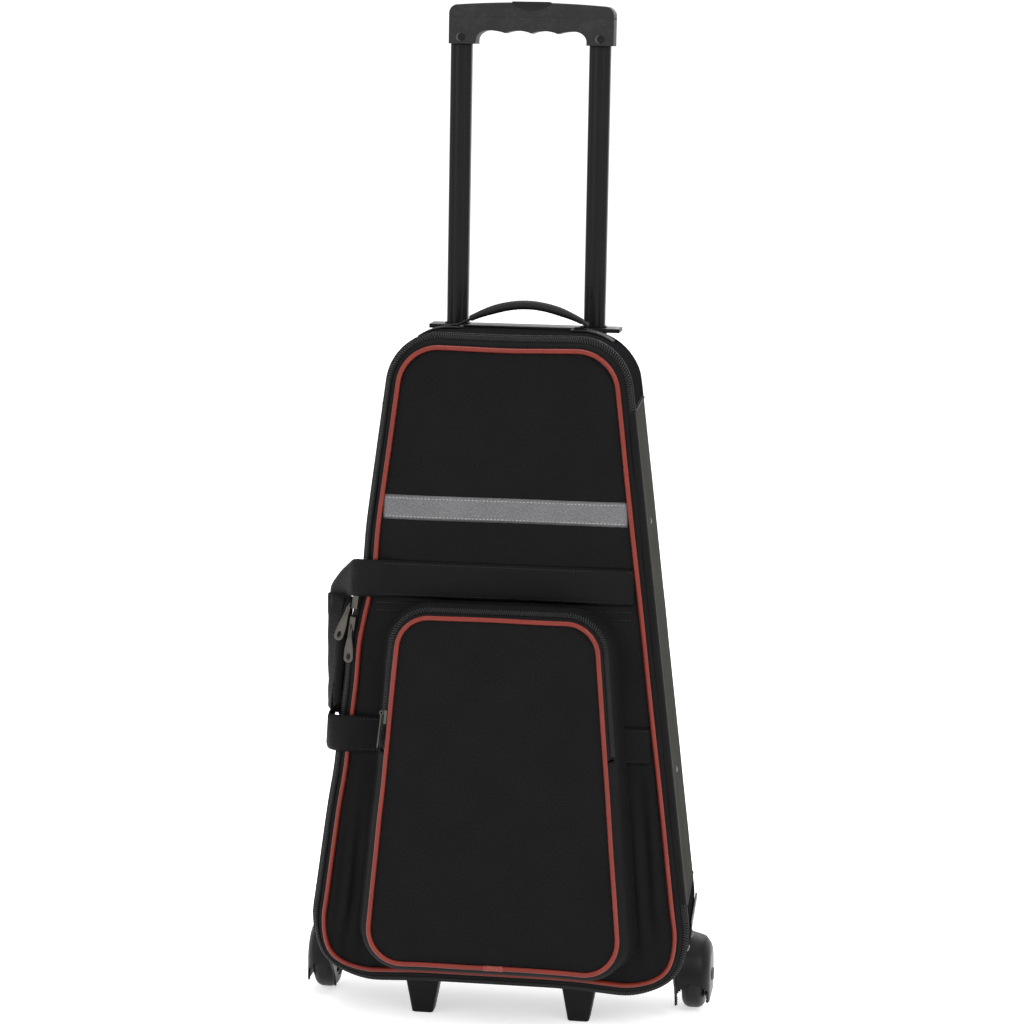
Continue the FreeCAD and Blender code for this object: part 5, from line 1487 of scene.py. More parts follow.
@dataclass(frozen=True)
class Coil:
    """A coil zipper's chain that follows an outline.

    Args:
        line: Outline that it follows.
        out: Offset of the chain's middle from the outline.
        depth: Depth of the chain's middle.
        tilt: Angle of its face from the front towards the outside, in degrees.
        left_tilt: How much more it turns where it runs down the left side.
        pitch: Distance between the loops of one half.
        width: Width of one half's loops.
        height: How far the loops stand up.
        slant: How far a loop leans along the chain, as a share of the pitch.
    """

    line: Outline
    out: float
    depth: float
    tilt: float = 32.0
    left_tilt: float = 20.0
    pitch: float = 2.1
    width: float = 2.9
    height: float = 1.25
    slant: float = 0.22

    def place(self, normals: Array, across: Array, lift: Array) -> Array:
        """Offsets and depths of places on the chain.

        Args:
            normals: Outward normal at each arc length.
            across: Distance from the chain's middle towards the outside.
            lift: Distance in front of the tapes.

        Returns:
            Offset and depth for each arc length and place.
        """
        angle = np.radians(self.tilt + self.left_tilt * np.clip(-normals[:, :1], 0, 1))
        across, lift = np.asarray(across, float), np.asarray(lift, float)
        out = self.out + across * np.cos(angle) + lift * np.sin(angle)
        depth = self.depth + across * np.sin(angle) - lift * np.cos(angle)
        return np.stack([out, depth], -1)

    def loops(self, name: str, length: Array, side: int) -> bpy.types.Object:
        """One half's row of loops, each an arched and slightly slanted bar.

        Args:
            name: Name of the piece.
            length: Arc length of each loop.
            side: 1 for the outer half, -1 for the inner half.

        Returns:
            The new object.
        """
        points, normals = self.line.along(length)
        run = np.stack([-normals[:, 1], normals[:, 0]], 1)
        stations = [(-0.14, 0.35, 0.24), (0.12, 0.95, 0.28), (0.5, 1.0, 0.29), (0.82, 0.8, 0.27),
                    (1.0, 0.1, 0.22)]
        bow = ((-1.0, -0.25), (-0.72, 0.62), (0.0, 1.0), (0.72, 0.62), (1.0, -0.25))
        corners = []
        for share, rise, thick in stations:
            for along, up in bow:
                spot = self.place(normals, side * share * self.width,
                                  np.array([self.height * rise * max(up, 0.0) + min(up, 0.0)]))
                move = (along * thick + side * (share - 0.4) * self.slant) * self.pitch
                place = points + normals * spot[:, 0, :1] + run * move
                corners.append(world(place[:, 0], spot[:, 0, 1], place[:, 1]))
        vertices = np.stack(corners, 1).reshape(-1, 3)
        rows, columns = len(stations), len(bow)
        count = rows * columns
        pattern = [[row + column, row + (column + 1) % columns,
                    row + columns + (column + 1) % columns, row + columns + column]
                   for row in range(0, count - columns, columns) for column in range(columns)]
        caps = [list(range(columns))[::-1], list(range(count - columns, count))]
        first = np.arange(len(length))[:, None, None] * count
        faces, ends = ((first + np.array(part)).reshape(-1, len(part[0]))
                       for part in (pattern, caps))
        return outward(new_object(name, vertices, faces.tolist() + ends.tolist()))

    def tape(self, name: str, length: Array, inner: float, outer: float) -> bpy.types.Object:
        """A strip of woven tape under the loops.

        Args:
            name: Name of the piece.
            length: Arc lengths.
            inner: Where it starts, from the chain's middle.
            outer: Where it ends.

        Returns:
            The new object.
        """
        _, normals = self.line.along(length)
        across = np.linspace(inner, outer, 5)
        top = self.place(normals, across, np.full(5, -0.15))
        under = self.place(normals, across[::-1], np.full(5, -0.9))
        return sweep(name, self.line, length, np.concatenate([top, under], 1), False)


@dataclass(frozen=True)
class MainZipper:
    """The long zipper round the front panel.

    Args:
        coil: Its chain.
    """

    coil: Coil = Coil(CASE_LINE, 10.9, 7.4)

    def run(self, step: float) -> Array:
        """Arc lengths along the zipper."""
        return CASE_LINE.run((RIGHT, ZIPPER_HIGH), (RIGHT, ZIPPER_LOW), step)

    def case_edge(self) -> bpy.types.Object:
        """The case's tape where it bends back to the wall."""
        length = self.run(4.0)
        _, normals = CASE_LINE.along(length)
        near = self.coil.place(normals, np.array([0.3, 1.8, 3.4]), np.full(3, -0.15))
        far = self.coil.place(normals, np.array([3.0, 1.8, 0.3]), np.full(3, -1.0))
        bend = np.broadcast_to(np.array([(14.35, 10.6), (14.5, 13.6), (13.6, 13.6), (13.3, 11.4)]),
                               (len(length), 4, 2))
        return sweep("zipper_tape_case", CASE_LINE, length, np.concatenate([near, bend, far], 1),
                     False)

    def dress(self, paints: Paints) -> None:
        """Make and finish both halves of the zipper."""
        lid_tape = self.coil.tape("zipper_tape_lid", self.run(4.0), -5.2, -0.3)
        dress(lid_tape, paints.front, Body.LID, "zipper", "lid_zipper")
        dress(self.case_edge(), paints.front, Body.CASE, "zipper", "case_zipper")
        length = self.run(self.coil.pitch)
        upper = self.coil.loops("zipper_teeth_lid", length, -1)
        dress(upper, paints.coil, Body.LID, "zipper")
        lower = self.coil.loops("zipper_teeth_case", length[:-1] + self.coil.pitch / 2, 1)
        dress(lower, paints.coil, Body.CASE, "zipper")


@dataclass(frozen=True)
class FrontPanel:
    """The quilted front panel with its edge band, red piping and reflective tape.

    Args:
        inset: Offset of the quilted pad inside the piping's centre line.
        back: Depth of the lining.
        piping: Its piping.
        tape_low: Height of the tape's lower edge.
        tape_high: Height of its upper edge.
        tape_half: Half length of the tape.
        tape_hem: Distance of its stitches from its edges.
    """

    inset: float = -1.2
    back: float = 8.6
    piping: Piping = Piping(CASE_LINE, 2.45, Ripple(42, 0.12, 90.0, 260.0, 7), 9.3, 2.5, 0.0, 0.4)
    tape_low: float = 522.0
    tape_high: float = 547.0
    tape_half: float = 123.8
    tape_hem: float = 3.2

    def pad(self) -> bpy.types.Object:
        """The quilted pad."""
        x, z = fill_grid(CASE_LINE, self.inset, 3.6, PANEL.seams)
        return cushion("front_quilt", x, z, PANEL(x, z), np.full_like(x, self.back), 0.3)

    def band(self) -> bpy.types.Object:
        """The cloth band between the piping and the zipper."""
        section = np.array([(0.6, 1.6), (2.6, 1.6), (4.6, 2.4), (6.2, 3.5), (7.4, 4.8),
                            (7.8, 6.2), (7.2, 7.8), (5.4, 8.3), (0.6, 6.6)])
        ripple = Ripple(41, 0.3, 30.0, 120.0)
        return sweep("lid_edge_band", CASE_LINE, CASE_LINE.whole(4.0), section, True,
                     lift=lambda x, z: ripple(x, z) * 0.6)

    def tuck_stitches(self) -> bpy.types.Object:
        """The rows of stitches in the two tucks above the pocket."""
        stitch = Stitch(pitch=3.3, dash=2.5, width=0.7, height=0.5)
        lines = []
        for height in PANEL.seams:
            x = np.linspace(-PANEL.tuck_half, PANEL.tuck_half, 90)
            z = np.full_like(x, height + 0.9)
            lines.append(stitch.row(f"tuck_{height:.0f}", world(x, PANEL(x, z) - 0.15, z), FORWARD))
        return joined("tuck_stitching", lines)

    def tape(self, paints: Paints) -> None:
        """The reflective tape with two rows of light stitches."""
        x = np.linspace(-self.tape_half, self.tape_half, 100)
        low, high = np.full_like(x, self.tape_low), np.full_like(x, self.tape_high)
        rows = [world(x, PANEL(x, z) - 0.55, z) for z in (high, low)]
        band = ribbon("reflective_band", *rows, FORWARD, 0.8)
        dress(band, paints.tape, Body.LID, "reflective", "reflective_tape")
        stitch = Stitch(pitch=3.7, dash=2.7, width=0.85, height=0.35)
        lines = []
        for index, height in enumerate((self.tape_low + self.tape_hem,
                                        self.tape_high - self.tape_hem)):
            z = np.full_like(x, height)
            path = world(x, PANEL(x, z) - 1.0, z)
            lines.append(stitch.row(f"tape_stitch_{index}", path, FORWARD))
        dress(joined("tape_stitching", lines), paints.thread_light, Body.LID, "reflective")

    def dress(self, paints: Paints) -> None:
        """Make and finish the panel's pieces."""
        pad = dress(self.pad(), paints.front, Body.LID, "front_fabric", "front_panel")
        dress(self.band(), paints.front, Body.LID, "front_fabric", "lid_band")
        dress(self.piping.build("edge_piping"), paints.piping, Body.LID, "piping", "lid_piping")
        dress(self.tuck_stitches(), paints.thread_dark, Body.LID, "front_fabric")
        self.tape(paints)


Station = tuple[tuple[float, float, float], tuple[float, float, float]]


def even_pair(first: Array, second: Array, step: float, passes: int) -> tuple[Array, Array]:
    """Two edges of a strap with evenly spaced, eased stations.

    Args:
        first: Points along one edge.
        second: Matching points along the other edge.
        step: Distance between stations.
        passes: How often the corners are eased.

    Returns:
        Both edges, resampled alike.
    """
    both = np.concatenate([first, second], 1)
    length = lengths_along(both) / math.sqrt(2.0)
    even = np.linspace(0, length[-1], max(3, int(length[-1] / step)))
    rows = eased(read_at(even, length, both), passes)
    return rows[:, :3], rows[:, 3:]


def strap(name: str, first: Array, second: Array, thickness: float,
          across: int = 11) -> bpy.types.Object:
    """Webbing between two edges whose face follows them."""
    middle = (first + second) / 2
    face = np.cross(np.gradient(middle, axis=0), second - first)
    return ribbon(name, first, second, face, thickness, across)


@dataclass(frozen=True)
class Straps:
    """The two webbing straps over the front, whose ends turn into the left handle.

    Args:
        high: Height of the upper strap's middle.
        low: Height of the lower strap's middle.
        width: Width of the webbing.
        thickness: Thickness of the webbing.
        rear_high: X of the upright run's rear edge at its top.
        rear_low: X of that edge at its bottom.
        start: Depth of the upright run's front edge.
        clear: Distance of that edge from the case's wall.
        run_high: Height of the upright run's upper end.
        run_low: Height of its lower end.
        right_high: X of the upper strap's right end.
        right_low: X of the lower strap's right end.
        piping: How far the strap stands off over the piping.
    """

    high: float = STRAP_HIGH
    low: float = STRAP_LOW
    width: float = 38.0
    thickness: float = 2.2
    rear_high: float = -186.5
    rear_low: float = -184.5
    start: float = 16.0
    clear: float = 3.6
    run_high: float = 428.0
    run_low: float = 324.0
    right_high: float = 131.5
    right_low: float = 151.5
    piping: float = 4.6

    def upright(self, z: Array) -> tuple[Array, Array]:
        """Rear and front edges of the upright run, as x and depth at heights."""
        front = -(CASE_LINE.half_at(z, SHELL) + self.clear)
        rear = self.rear_low + (self.rear_high - self.rear_low) * np.clip((z - 320) / 120, 0, 1)
        back = self.start + np.sqrt(np.clip(self.width ** 2 - (front - rear) ** 2, 1, None))
        return np.stack([rear, back], 1), np.stack([front, np.full_like(z, self.start)], 1)

    def front_edge(self, height: float, right: float) -> tuple[Array, Array]:
        """Places along one edge of a strap over the panel, from the right end to the left edge.

        Args:
            height: Height of that edge.
            right: X of the right end.

        Returns:
            X and depth of the places.
        """
        edge = float(CASE_LINE.half_at(height))
        x = np.linspace(right, -(edge - 9.0), 90)
        z = np.full_like(x, height)
        depth = PANEL(x, z) - self.thickness / 2 - 0.1
        near = smooth((-x - (edge - 34.0)) / 25.0)
        depth = depth * (1 - near) + (-self.piping) * near
        return x, depth

    def corners(self) -> tuple[list[Station], list[Station]]:
        """Places of the outer and inner edge round the upper and the lower corner."""
        upper = [((-139, -4.9, 480), (-141, -4.9, 442)),
                 ((-149, -3.0, 480), (-150, -3.8, 441.8)),
                 ((-157, 2.5, 479.3), (-156, -0.8, 441.4)),
                 ((-164, 12, 472.0), (-159.0, 5.0, 440.4)),
                 ((-171, 22, 463.5), (-159.6, 10.0, 438.6)),
                 ((-180, 33, 451.5), (-158.6, 14.0, 436.4)),
                 ((-185.6, 40, 443.0), (-157.6, 16.2, 433.5))]
        lower = [((-185.2, 51, 305), (-170.8, 15.6, 327.5)),
                 ((-185.6, 47, 291), (-172.4, 13.4, 326.0)),
                 ((-185.4, 36, 282.5), (-175.4, 9.5, 323.5)),
                 ((-184.6, 24, 280.6), (-178.4, 4.6, 321.0)),
                 ((-182.4, 10.5, 280.5), (-178.4, -0.2, 318.5)),
                 ((-177.2, 1.2, 280.5), (-172.4, -3.5, 318.5)),
                 ((-168.4, -3.9, 280.5), (-164.2, -4.7, 318.5)),
                 ((-158, -4.8, 280.5), (-156, -4.8, 318.5))]
        return upper, lower

    def loop(self) -> bpy.types.Object:
        """Both straps and the upright run between them as one piece of webbing."""
        half = self.width / 2
        rows = {}
        for sign, middle, right in ((1, self.high, self.right_high),
                                    (-1, self.low, self.right_low)):
            for edge in (half, -half):
                height = middle + sign * edge
                x, depth = self.front_edge(height, right)
                rows[sign, edge] = world(x, depth, np.full_like(x, height))
        corners = []
        for stations in self.corners():
            table = np.array(stations, float)
            corners.append([world(*table[:, k].T) for k in (0, 1)])
        z = np.linspace(self.run_high, self.run_low, 30)
        rear, front = self.upright(z)
        outer = np.concatenate([rows[1, half], corners[0][0], world(rear[:, 0], rear[:, 1], z),
                                corners[1][0], rows[-1, half][::-1]])
        inner = np.concatenate([rows[1, -half], corners[0][1], world(front[:, 0], front[:, 1], z),
                                corners[1][1], rows[-1, -half][::-1]])
        return strap("front_straps", *even_pair(outer, inner, 1.6, 8), self.thickness)

    def stitches(self) -> bpy.types.Object:
        """Rows of stitches along both edges of each strap."""
        stitch = Stitch(pitch=3.4, dash=2.4, width=0.6, height=0.25)
        lines = []
        for middle, right in ((self.high, self.right_high), (self.low, self.right_low)):
            for offset in (-15.6, 15.6):
                x, depth = self.front_edge(middle + offset, right - 0.5)
                path = world(x, depth - self.thickness / 2, np.full_like(x, middle + offset))
                lines.append(stitch.row(f"strap_{middle:.0f}_{offset:.0f}", path, FORWARD))
        return joined("strap_stitching", lines)

    def dress(self, paints: Paints) -> None:
        """Make and finish the straps."""
        piece = self.loop()
        piece.data.materials.append(paints.webbing)
        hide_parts("upper_strap", "lower_strap", "side_handle_webbing")
        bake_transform(piece)
        dress(self.stitches(), paints.thread_dark, Body.LID, "webbing")


@dataclass(frozen=True)
class SideHandle:
    """The padded sleeve on the left handle, and the rear loop.

    Args:
        straps: The straps that the sleeve sits on.
        low: Height of the sleeve's lower end.
        high: Height of its upper end.
        thickness: Thickness of the sleeve.
        fullness: Width of the sleeve as a share of the webbing's.
        fatness: Power that squares its section, less than 1 for a fuller one.
        rear_reach: How far left the rear loop is.
        rear_start: Depth of the rear loop's front edge.
    """

    straps: Straps = Straps()
    low: float = 315.0
    high: float = 439.5
    thickness: float = 11.0
    fullness: float = 1.12
    fatness: float = 0.6
    rear_reach: float = 185.0
    rear_start: float = 57.0

    def axes(self, z: Array) -> tuple[Array, Array, Array]:
        """Middle, half width and outer face of the upright run, in plan, at heights."""
        rear, front = self.straps.upright(z)
        middle, wide = (rear + front) / 2, (rear - front) / 2
        across = unit(wide)
        return middle, wide * self.fullness, np.stack([-across[:, 1], across[:, 0]], 1)

    def spot(self, z: Array, across: Array, lift: Array) -> Array:
        """Points of the sleeve.

        Args:
            z: Heights.
            across: Share of the half width, for each height and place.
            lift: Distance in front of the middle, likewise.

        Returns:
            Points for each height and place.
        """
        middle, wide, face = self.axes(z)
        plan = (middle[:, None] + wide[:, None] * across[..., None]
                + face[:, None] * lift[..., None])
        wall = CASE_LINE.half_at(z[:, None], SHELL + 0.5) - taper(plan[..., 1])
        plan[..., 0] = np.minimum(plan[..., 0], -wall)
        return world(plan[..., 0], plan[..., 1], np.repeat(z[:, None], plan.shape[1], 1))

    def sleeve(self) -> bpy.types.Object:
        """The padded wrap with rounded ends."""
        z = np.linspace(self.low, self.high, 60)
        turn = circle(48)
        lift, across = (np.sign(part) * np.abs(part) ** self.fatness
                        for part in (np.cos(turn), np.sin(turn)))
        edge = np.clip(np.minimum(z - self.low, self.high - z) / 5.0, 0, 1)
        shrink = 0.55 + 0.45 * np.sqrt(1 - (1 - edge) ** 2)
        wave = 1 + 0.05 * np.sin(z * 0.21 + 0.8) + 0.03 * np.sin(z * 0.47)
        pad = grid_piece("handle_sleeve",
                         self.spot(z, across * (0.9 + 0.1 * shrink[:, None]),
                                   lift * (shrink * wave * self.thickness / 2)[:, None]),
                         wrap_columns=True, caps=True)
        return outward(pad)

    def overlap(self) -> bpy.types.Object:
        """The sleeve's closing edge, a lip that laps over its outer face."""
        z = np.linspace(self.low + 3.0, self.high - 3.0, 60)
        wave = Ripple(51, 0.03, 30.0, 90.0, 6)(z, 0 * z)
        lift = np.full((60, 1), self.thickness / 2 + 0.3)
        first = self.spot(z, (-0.62 + wave)[:, None], lift)[:, 0]
        second = self.spot(z, (0.45 + wave)[:, None], lift)[:, 0]
        return strap("sleeve_lip", first, second, 1.4, 9)

    def stitches(self) -> bpy.types.Object:
        """A row of stitches at the lip."""
        stitch = Stitch(pitch=3.6, dash=2.6, width=0.7, height=0.3)
        z = np.linspace(self.low + 5.0, self.high - 5.0, 60)
        path = self.spot(z, np.full((60, 1), -0.5), np.full((60, 1), self.thickness / 2 + 1.0))
        row = stitch.row("lip", path[:, 0], np.array([-1.0, -0.4, 0]))
        return joined("sleeve_stitching", [row])

    def rear(self) -> bpy.types.Object:
        """The rear loop: upright webbing whose ends turn back to the case's wall."""
        near, far = self.rear_start, self.rear_start + self.straps.width
        out = -self.rear_reach

        def wall(height: float, depth: float) -> float:
            return float(taper(depth) - CASE_LINE.half_at(height, SHELL) - 1.2)

        upper = [((wall(468, 127) + 2, 127, 468), (wall(430, 127) + 2, 127, 430)),
                 ((wall(468, 106), 106, 468), (wall(430, 118) - 1, 118, 430)),
                 ((-169, 86, 461), (-173, 108, 430)), ((-180, 67, 447), (-181, 99, 427)),
                 ((out, near + 1, 434), (out, far, 422)), ((out, near, 420), (out, far, 412))]
        lower = [((out, near, 340), (out, far, 346)), ((out, near + 1, 326), (out, far, 336)),
                 ((-180, 67, 300), (-184, 99, 330)), ((-176, 86, 288), (-181, 108, 325)),
                 ((wall(281, 106) - 1, 106, 281), (wall(319, 118) - 2, 118, 320)),
                 ((wall(281, 127) + 2, 127, 281), (wall(319, 127) + 2, 127, 319))]
        table = np.array(upper + lower, float)
        first, second = (world(*table[:, k].T) for k in (0, 1))
        return strap("rear_loop", *even_pair(first, second, 2.0, 14), 2.2, 9)

    def dress(self, paints: Paints) -> None:
        """Make and finish the sleeve and the rear loop."""
        pad = self.sleeve()
        pad = puffed(pad, 4.0, 1.6, 4.0, lambda place: smooth(
            np.minimum(place[:, 2] - self.low, self.high - place[:, 2]) / 12.0))
        dress(pad, paints.sleeve, Body.SIDE_HANDLE, "sleeve", "side_handle_sleeve")
        dress(self.overlap(), paints.sleeve, Body.SIDE_HANDLE, "sleeve")
        dress(self.stitches(), paints.thread_dark, Body.SIDE_HANDLE, "sleeve")
        dress(self.rear(), paints.webbing, Body.CASE, "webbing", "rear_handle_loop")


@dataclass(frozen=True)
class Pocket:
    """The front pocket: flared wall, padded front, piping and its own zipper.

    Args:
        depth: How far the piping stands in front of the panel's plane.
        flare: How much wider the wall is at the panel than at the zipper.
        coil: The chain of its zipper.
        fold: Height where the flap begins.
        piping: Its piping.
        cover_low: X of the left end of the piping's joint cover.
        cover_high: X of its right end.
    """

    depth: float = 42.0
    flare: float = 8.5
    coil: Coil = Coil(POCKET_LINE, 7.0, -34.0, tilt=38.0, left_tilt=0.0, pitch=2.2, width=2.9,
                      height=1.3)
    fold: float = 290.5
    piping: Piping = Piping(POCKET_LINE, 2.4, Ripple(63, 0.14, 80.0, 220.0, 7), 8.7, 2.2, -41.9)
    cover_low: float = -8.3
    cover_high: float = 11.7

    @property
    def blend_span(self) -> tuple[tuple[float, float, float], tuple[float, float, float]]:
        """Where the cloth begins and ends to turn with the flap."""
        return (0.0, 0.0, 0.284), (0.0, 0.0, 0.297)

    def fold_over(self, piece: bpy.types.Object) -> None:
        """Bake a piece's transform into its mesh."""
        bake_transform(piece)

    def front_depth(self, x: Array, z: Array) -> Array:
        """Depth of the pocket's padded front at a place."""
        inside = POCKET_LINE.inside(x, z)
        swell = 1 - np.exp(-inside / 12.0)
        broad = Ripple(61, 0.5, 60.0, 190.0)(x, z)
        fine = Ripple(62, 0.13, 15.0, 40.0, 12)(x, z)
        pucker = 0.4 * np.exp(-inside / 7.0) * np.sin(x * 0.4 + z * 0.43 + np.sin(z * 0.06))
        sag = 0.9 * hump(z, 120.0, 50.0)
        return -self.depth + 1.3 - swell * (1.6 + sag + broad * 0.8 + fine) + pucker

    def front(self) -> bpy.types.Object:
        """The padded front of the pocket."""
        x, z = fill_grid(POCKET_LINE, -0.9, 3.4)
        return cushion("pocket_front", x, z, self.front_depth(x, z),
                       np.full_like(x, -self.depth + 3.2), 0.2)

    def cover(self) -> bpy.types.Object:
        """The sleeve of cloth over the joint of the piping."""
        x = np.linspace(self.cover_low, self.cover_high, 12)
        path = world(x, self.piping.depth, POCKET_LINE.low)

        def radius(share: Array) -> Array:
            return 2.75 + 0.12 * np.sin(share * 9) - 0.2 * (2 * share - 1) ** 8

        return tube_piece("piping_cover", path, radius)

    def wall(self) -> bpy.types.Object:
        """The flared wall from the panel to the zipper."""
        length = POCKET_LINE.whole(4.0)
        _, normals = POCKET_LINE.along(length)
        aside = np.abs(normals[:, :1]) ** 1.5
        spread = 0.4 + self.flare * aside
        share = np.linspace(0, 1, 15)[None, :]
        belly = -1.1 * np.sin(share * math.pi) * aside
        top = 8.6 + spread * (1 - share) ** 1.1 + belly
        low = -1.0 - 31.6 * share + 0 * top
        foot = np.concatenate([top[:, :1] + 1.6, top[:, :1] + 0.9], 1)
        foot_depth = np.broadcast_to(np.array([0.6, -0.6]), foot.shape)
        lip = np.concatenate([top[:, -1:] - 0.6, top[:, -1:] - 1.4], 1)
        lip_depth = np.broadcast_to(np.array([-33.2, -32.4]), lip.shape)
        out = np.concatenate([foot, top, lip, (top - 1.3)[:, ::-1][:, 1:]], 1)
        depth = np.concatenate([foot_depth, low, lip_depth, low[:, ::-1][:, 1:]], 1)
        ripple = Ripple(64, 0.5, 25.0, 110.0)
        return sweep("pocket_wall", POCKET_LINE, length, np.stack([out, depth], -1), True,
                     lift=lambda x, z: ripple(x, z) * 0.3)

    def shoulder(self, name: str, start: tuple[int, float], end: tuple[int, float],
                 section: Sequence[tuple[float, float]]) -> bpy.types.Object:
        """A band of cloth from the piping back to the zipper or, below it, to the wall.

        Args:
            name: Name of the piece.
            start: Side and height where it starts.
            end: Side and height where it ends.
            section: Offsets and depths of its section.

        Returns:
            The new object.
        """
        length = POCKET_LINE.run(start, end, 3.5)
        return sweep(name, POCKET_LINE, length, np.array(section), False)

    def zipper(self, paints: Paints) -> None:
        """The pocket's zipper, one row on the wall and one on the flap, with their tapes."""
        length = POCKET_LINE.run((RIGHT, self.fold + 4), (LEFT, self.fold + 4), self.coil.pitch)
        coarse = POCKET_LINE.run((RIGHT, self.fold + 1), (LEFT, self.fold + 1), 3.5)
        inner = self.coil.loops("pocket_teeth_wall", length, 1)
        dress(inner, paints.coil, Body.LID, "zipper", "pocket_zipper_inner")
        outer = self.coil.loops("pocket_teeth_flap", length[:-1] + self.coil.pitch / 2, -1)
        dress(outer, paints.coil, Body.FLAP, "zipper", "pocket_zipper_outer")
        dress(self.coil.tape("pocket_tape_wall", coarse, 0.2, 3.4), paints.front, Body.LID,
              "zipper")
        dress(self.coil.tape("pocket_tape_flap", coarse, -4.4, -0.2), paints.front, Body.FLAP,
              "zipper")

    def dress(self, paints: Paints) -> None:
        """Make and finish the pocket's pieces."""
        pad = self.front()
        pad.data.materials.append(paints.front)
        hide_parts("pocket_front_lower", "pocket_front_upper")
        self.fold_over(pad)
        cord = self.piping.build("pocket_edge_piping")
        cord.data.materials.append(paints.piping)
        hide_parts("pocket_piping_lower", "pocket_piping_upper")
        self.fold_over(cord)
        dress(self.cover(), paints.cover, Body.LID, "piping")
        dress(self.wall(), paints.front, Body.LID, "pocket_fabric", "pocket_gusset")
        lower = self.shoulder("pocket_rim_low", (LEFT, self.fold - 1), (RIGHT, self.fold - 1),
                              [(0.4, -41.4), (2.2, -40.6), (5.4, -37.2), (8.6, -33.0),
                               (9.0, -31.6), (7.6, -31.6), (7.0, -33.4), (4.2, -36.4),
                               (1.2, -39.2), (0.2, -39.6)])
        dress(lower, paints.front, Body.LID, "pocket_fabric")
        upper = self.shoulder("pocket_rim_flap", (RIGHT, self.fold + 1), (LEFT, self.fold + 1),
                              [(0.4, -41.4), (2.0, -40.9), (3.4, -39.6), (4.3, -37.8),
                               (3.9, -36.9), (2.8, -37.9), (1.6, -39.2), (0.2, -39.6)])
        dress(upper, paints.front, Body.FLAP, "pocket_fabric")
        self.zipper(paints)


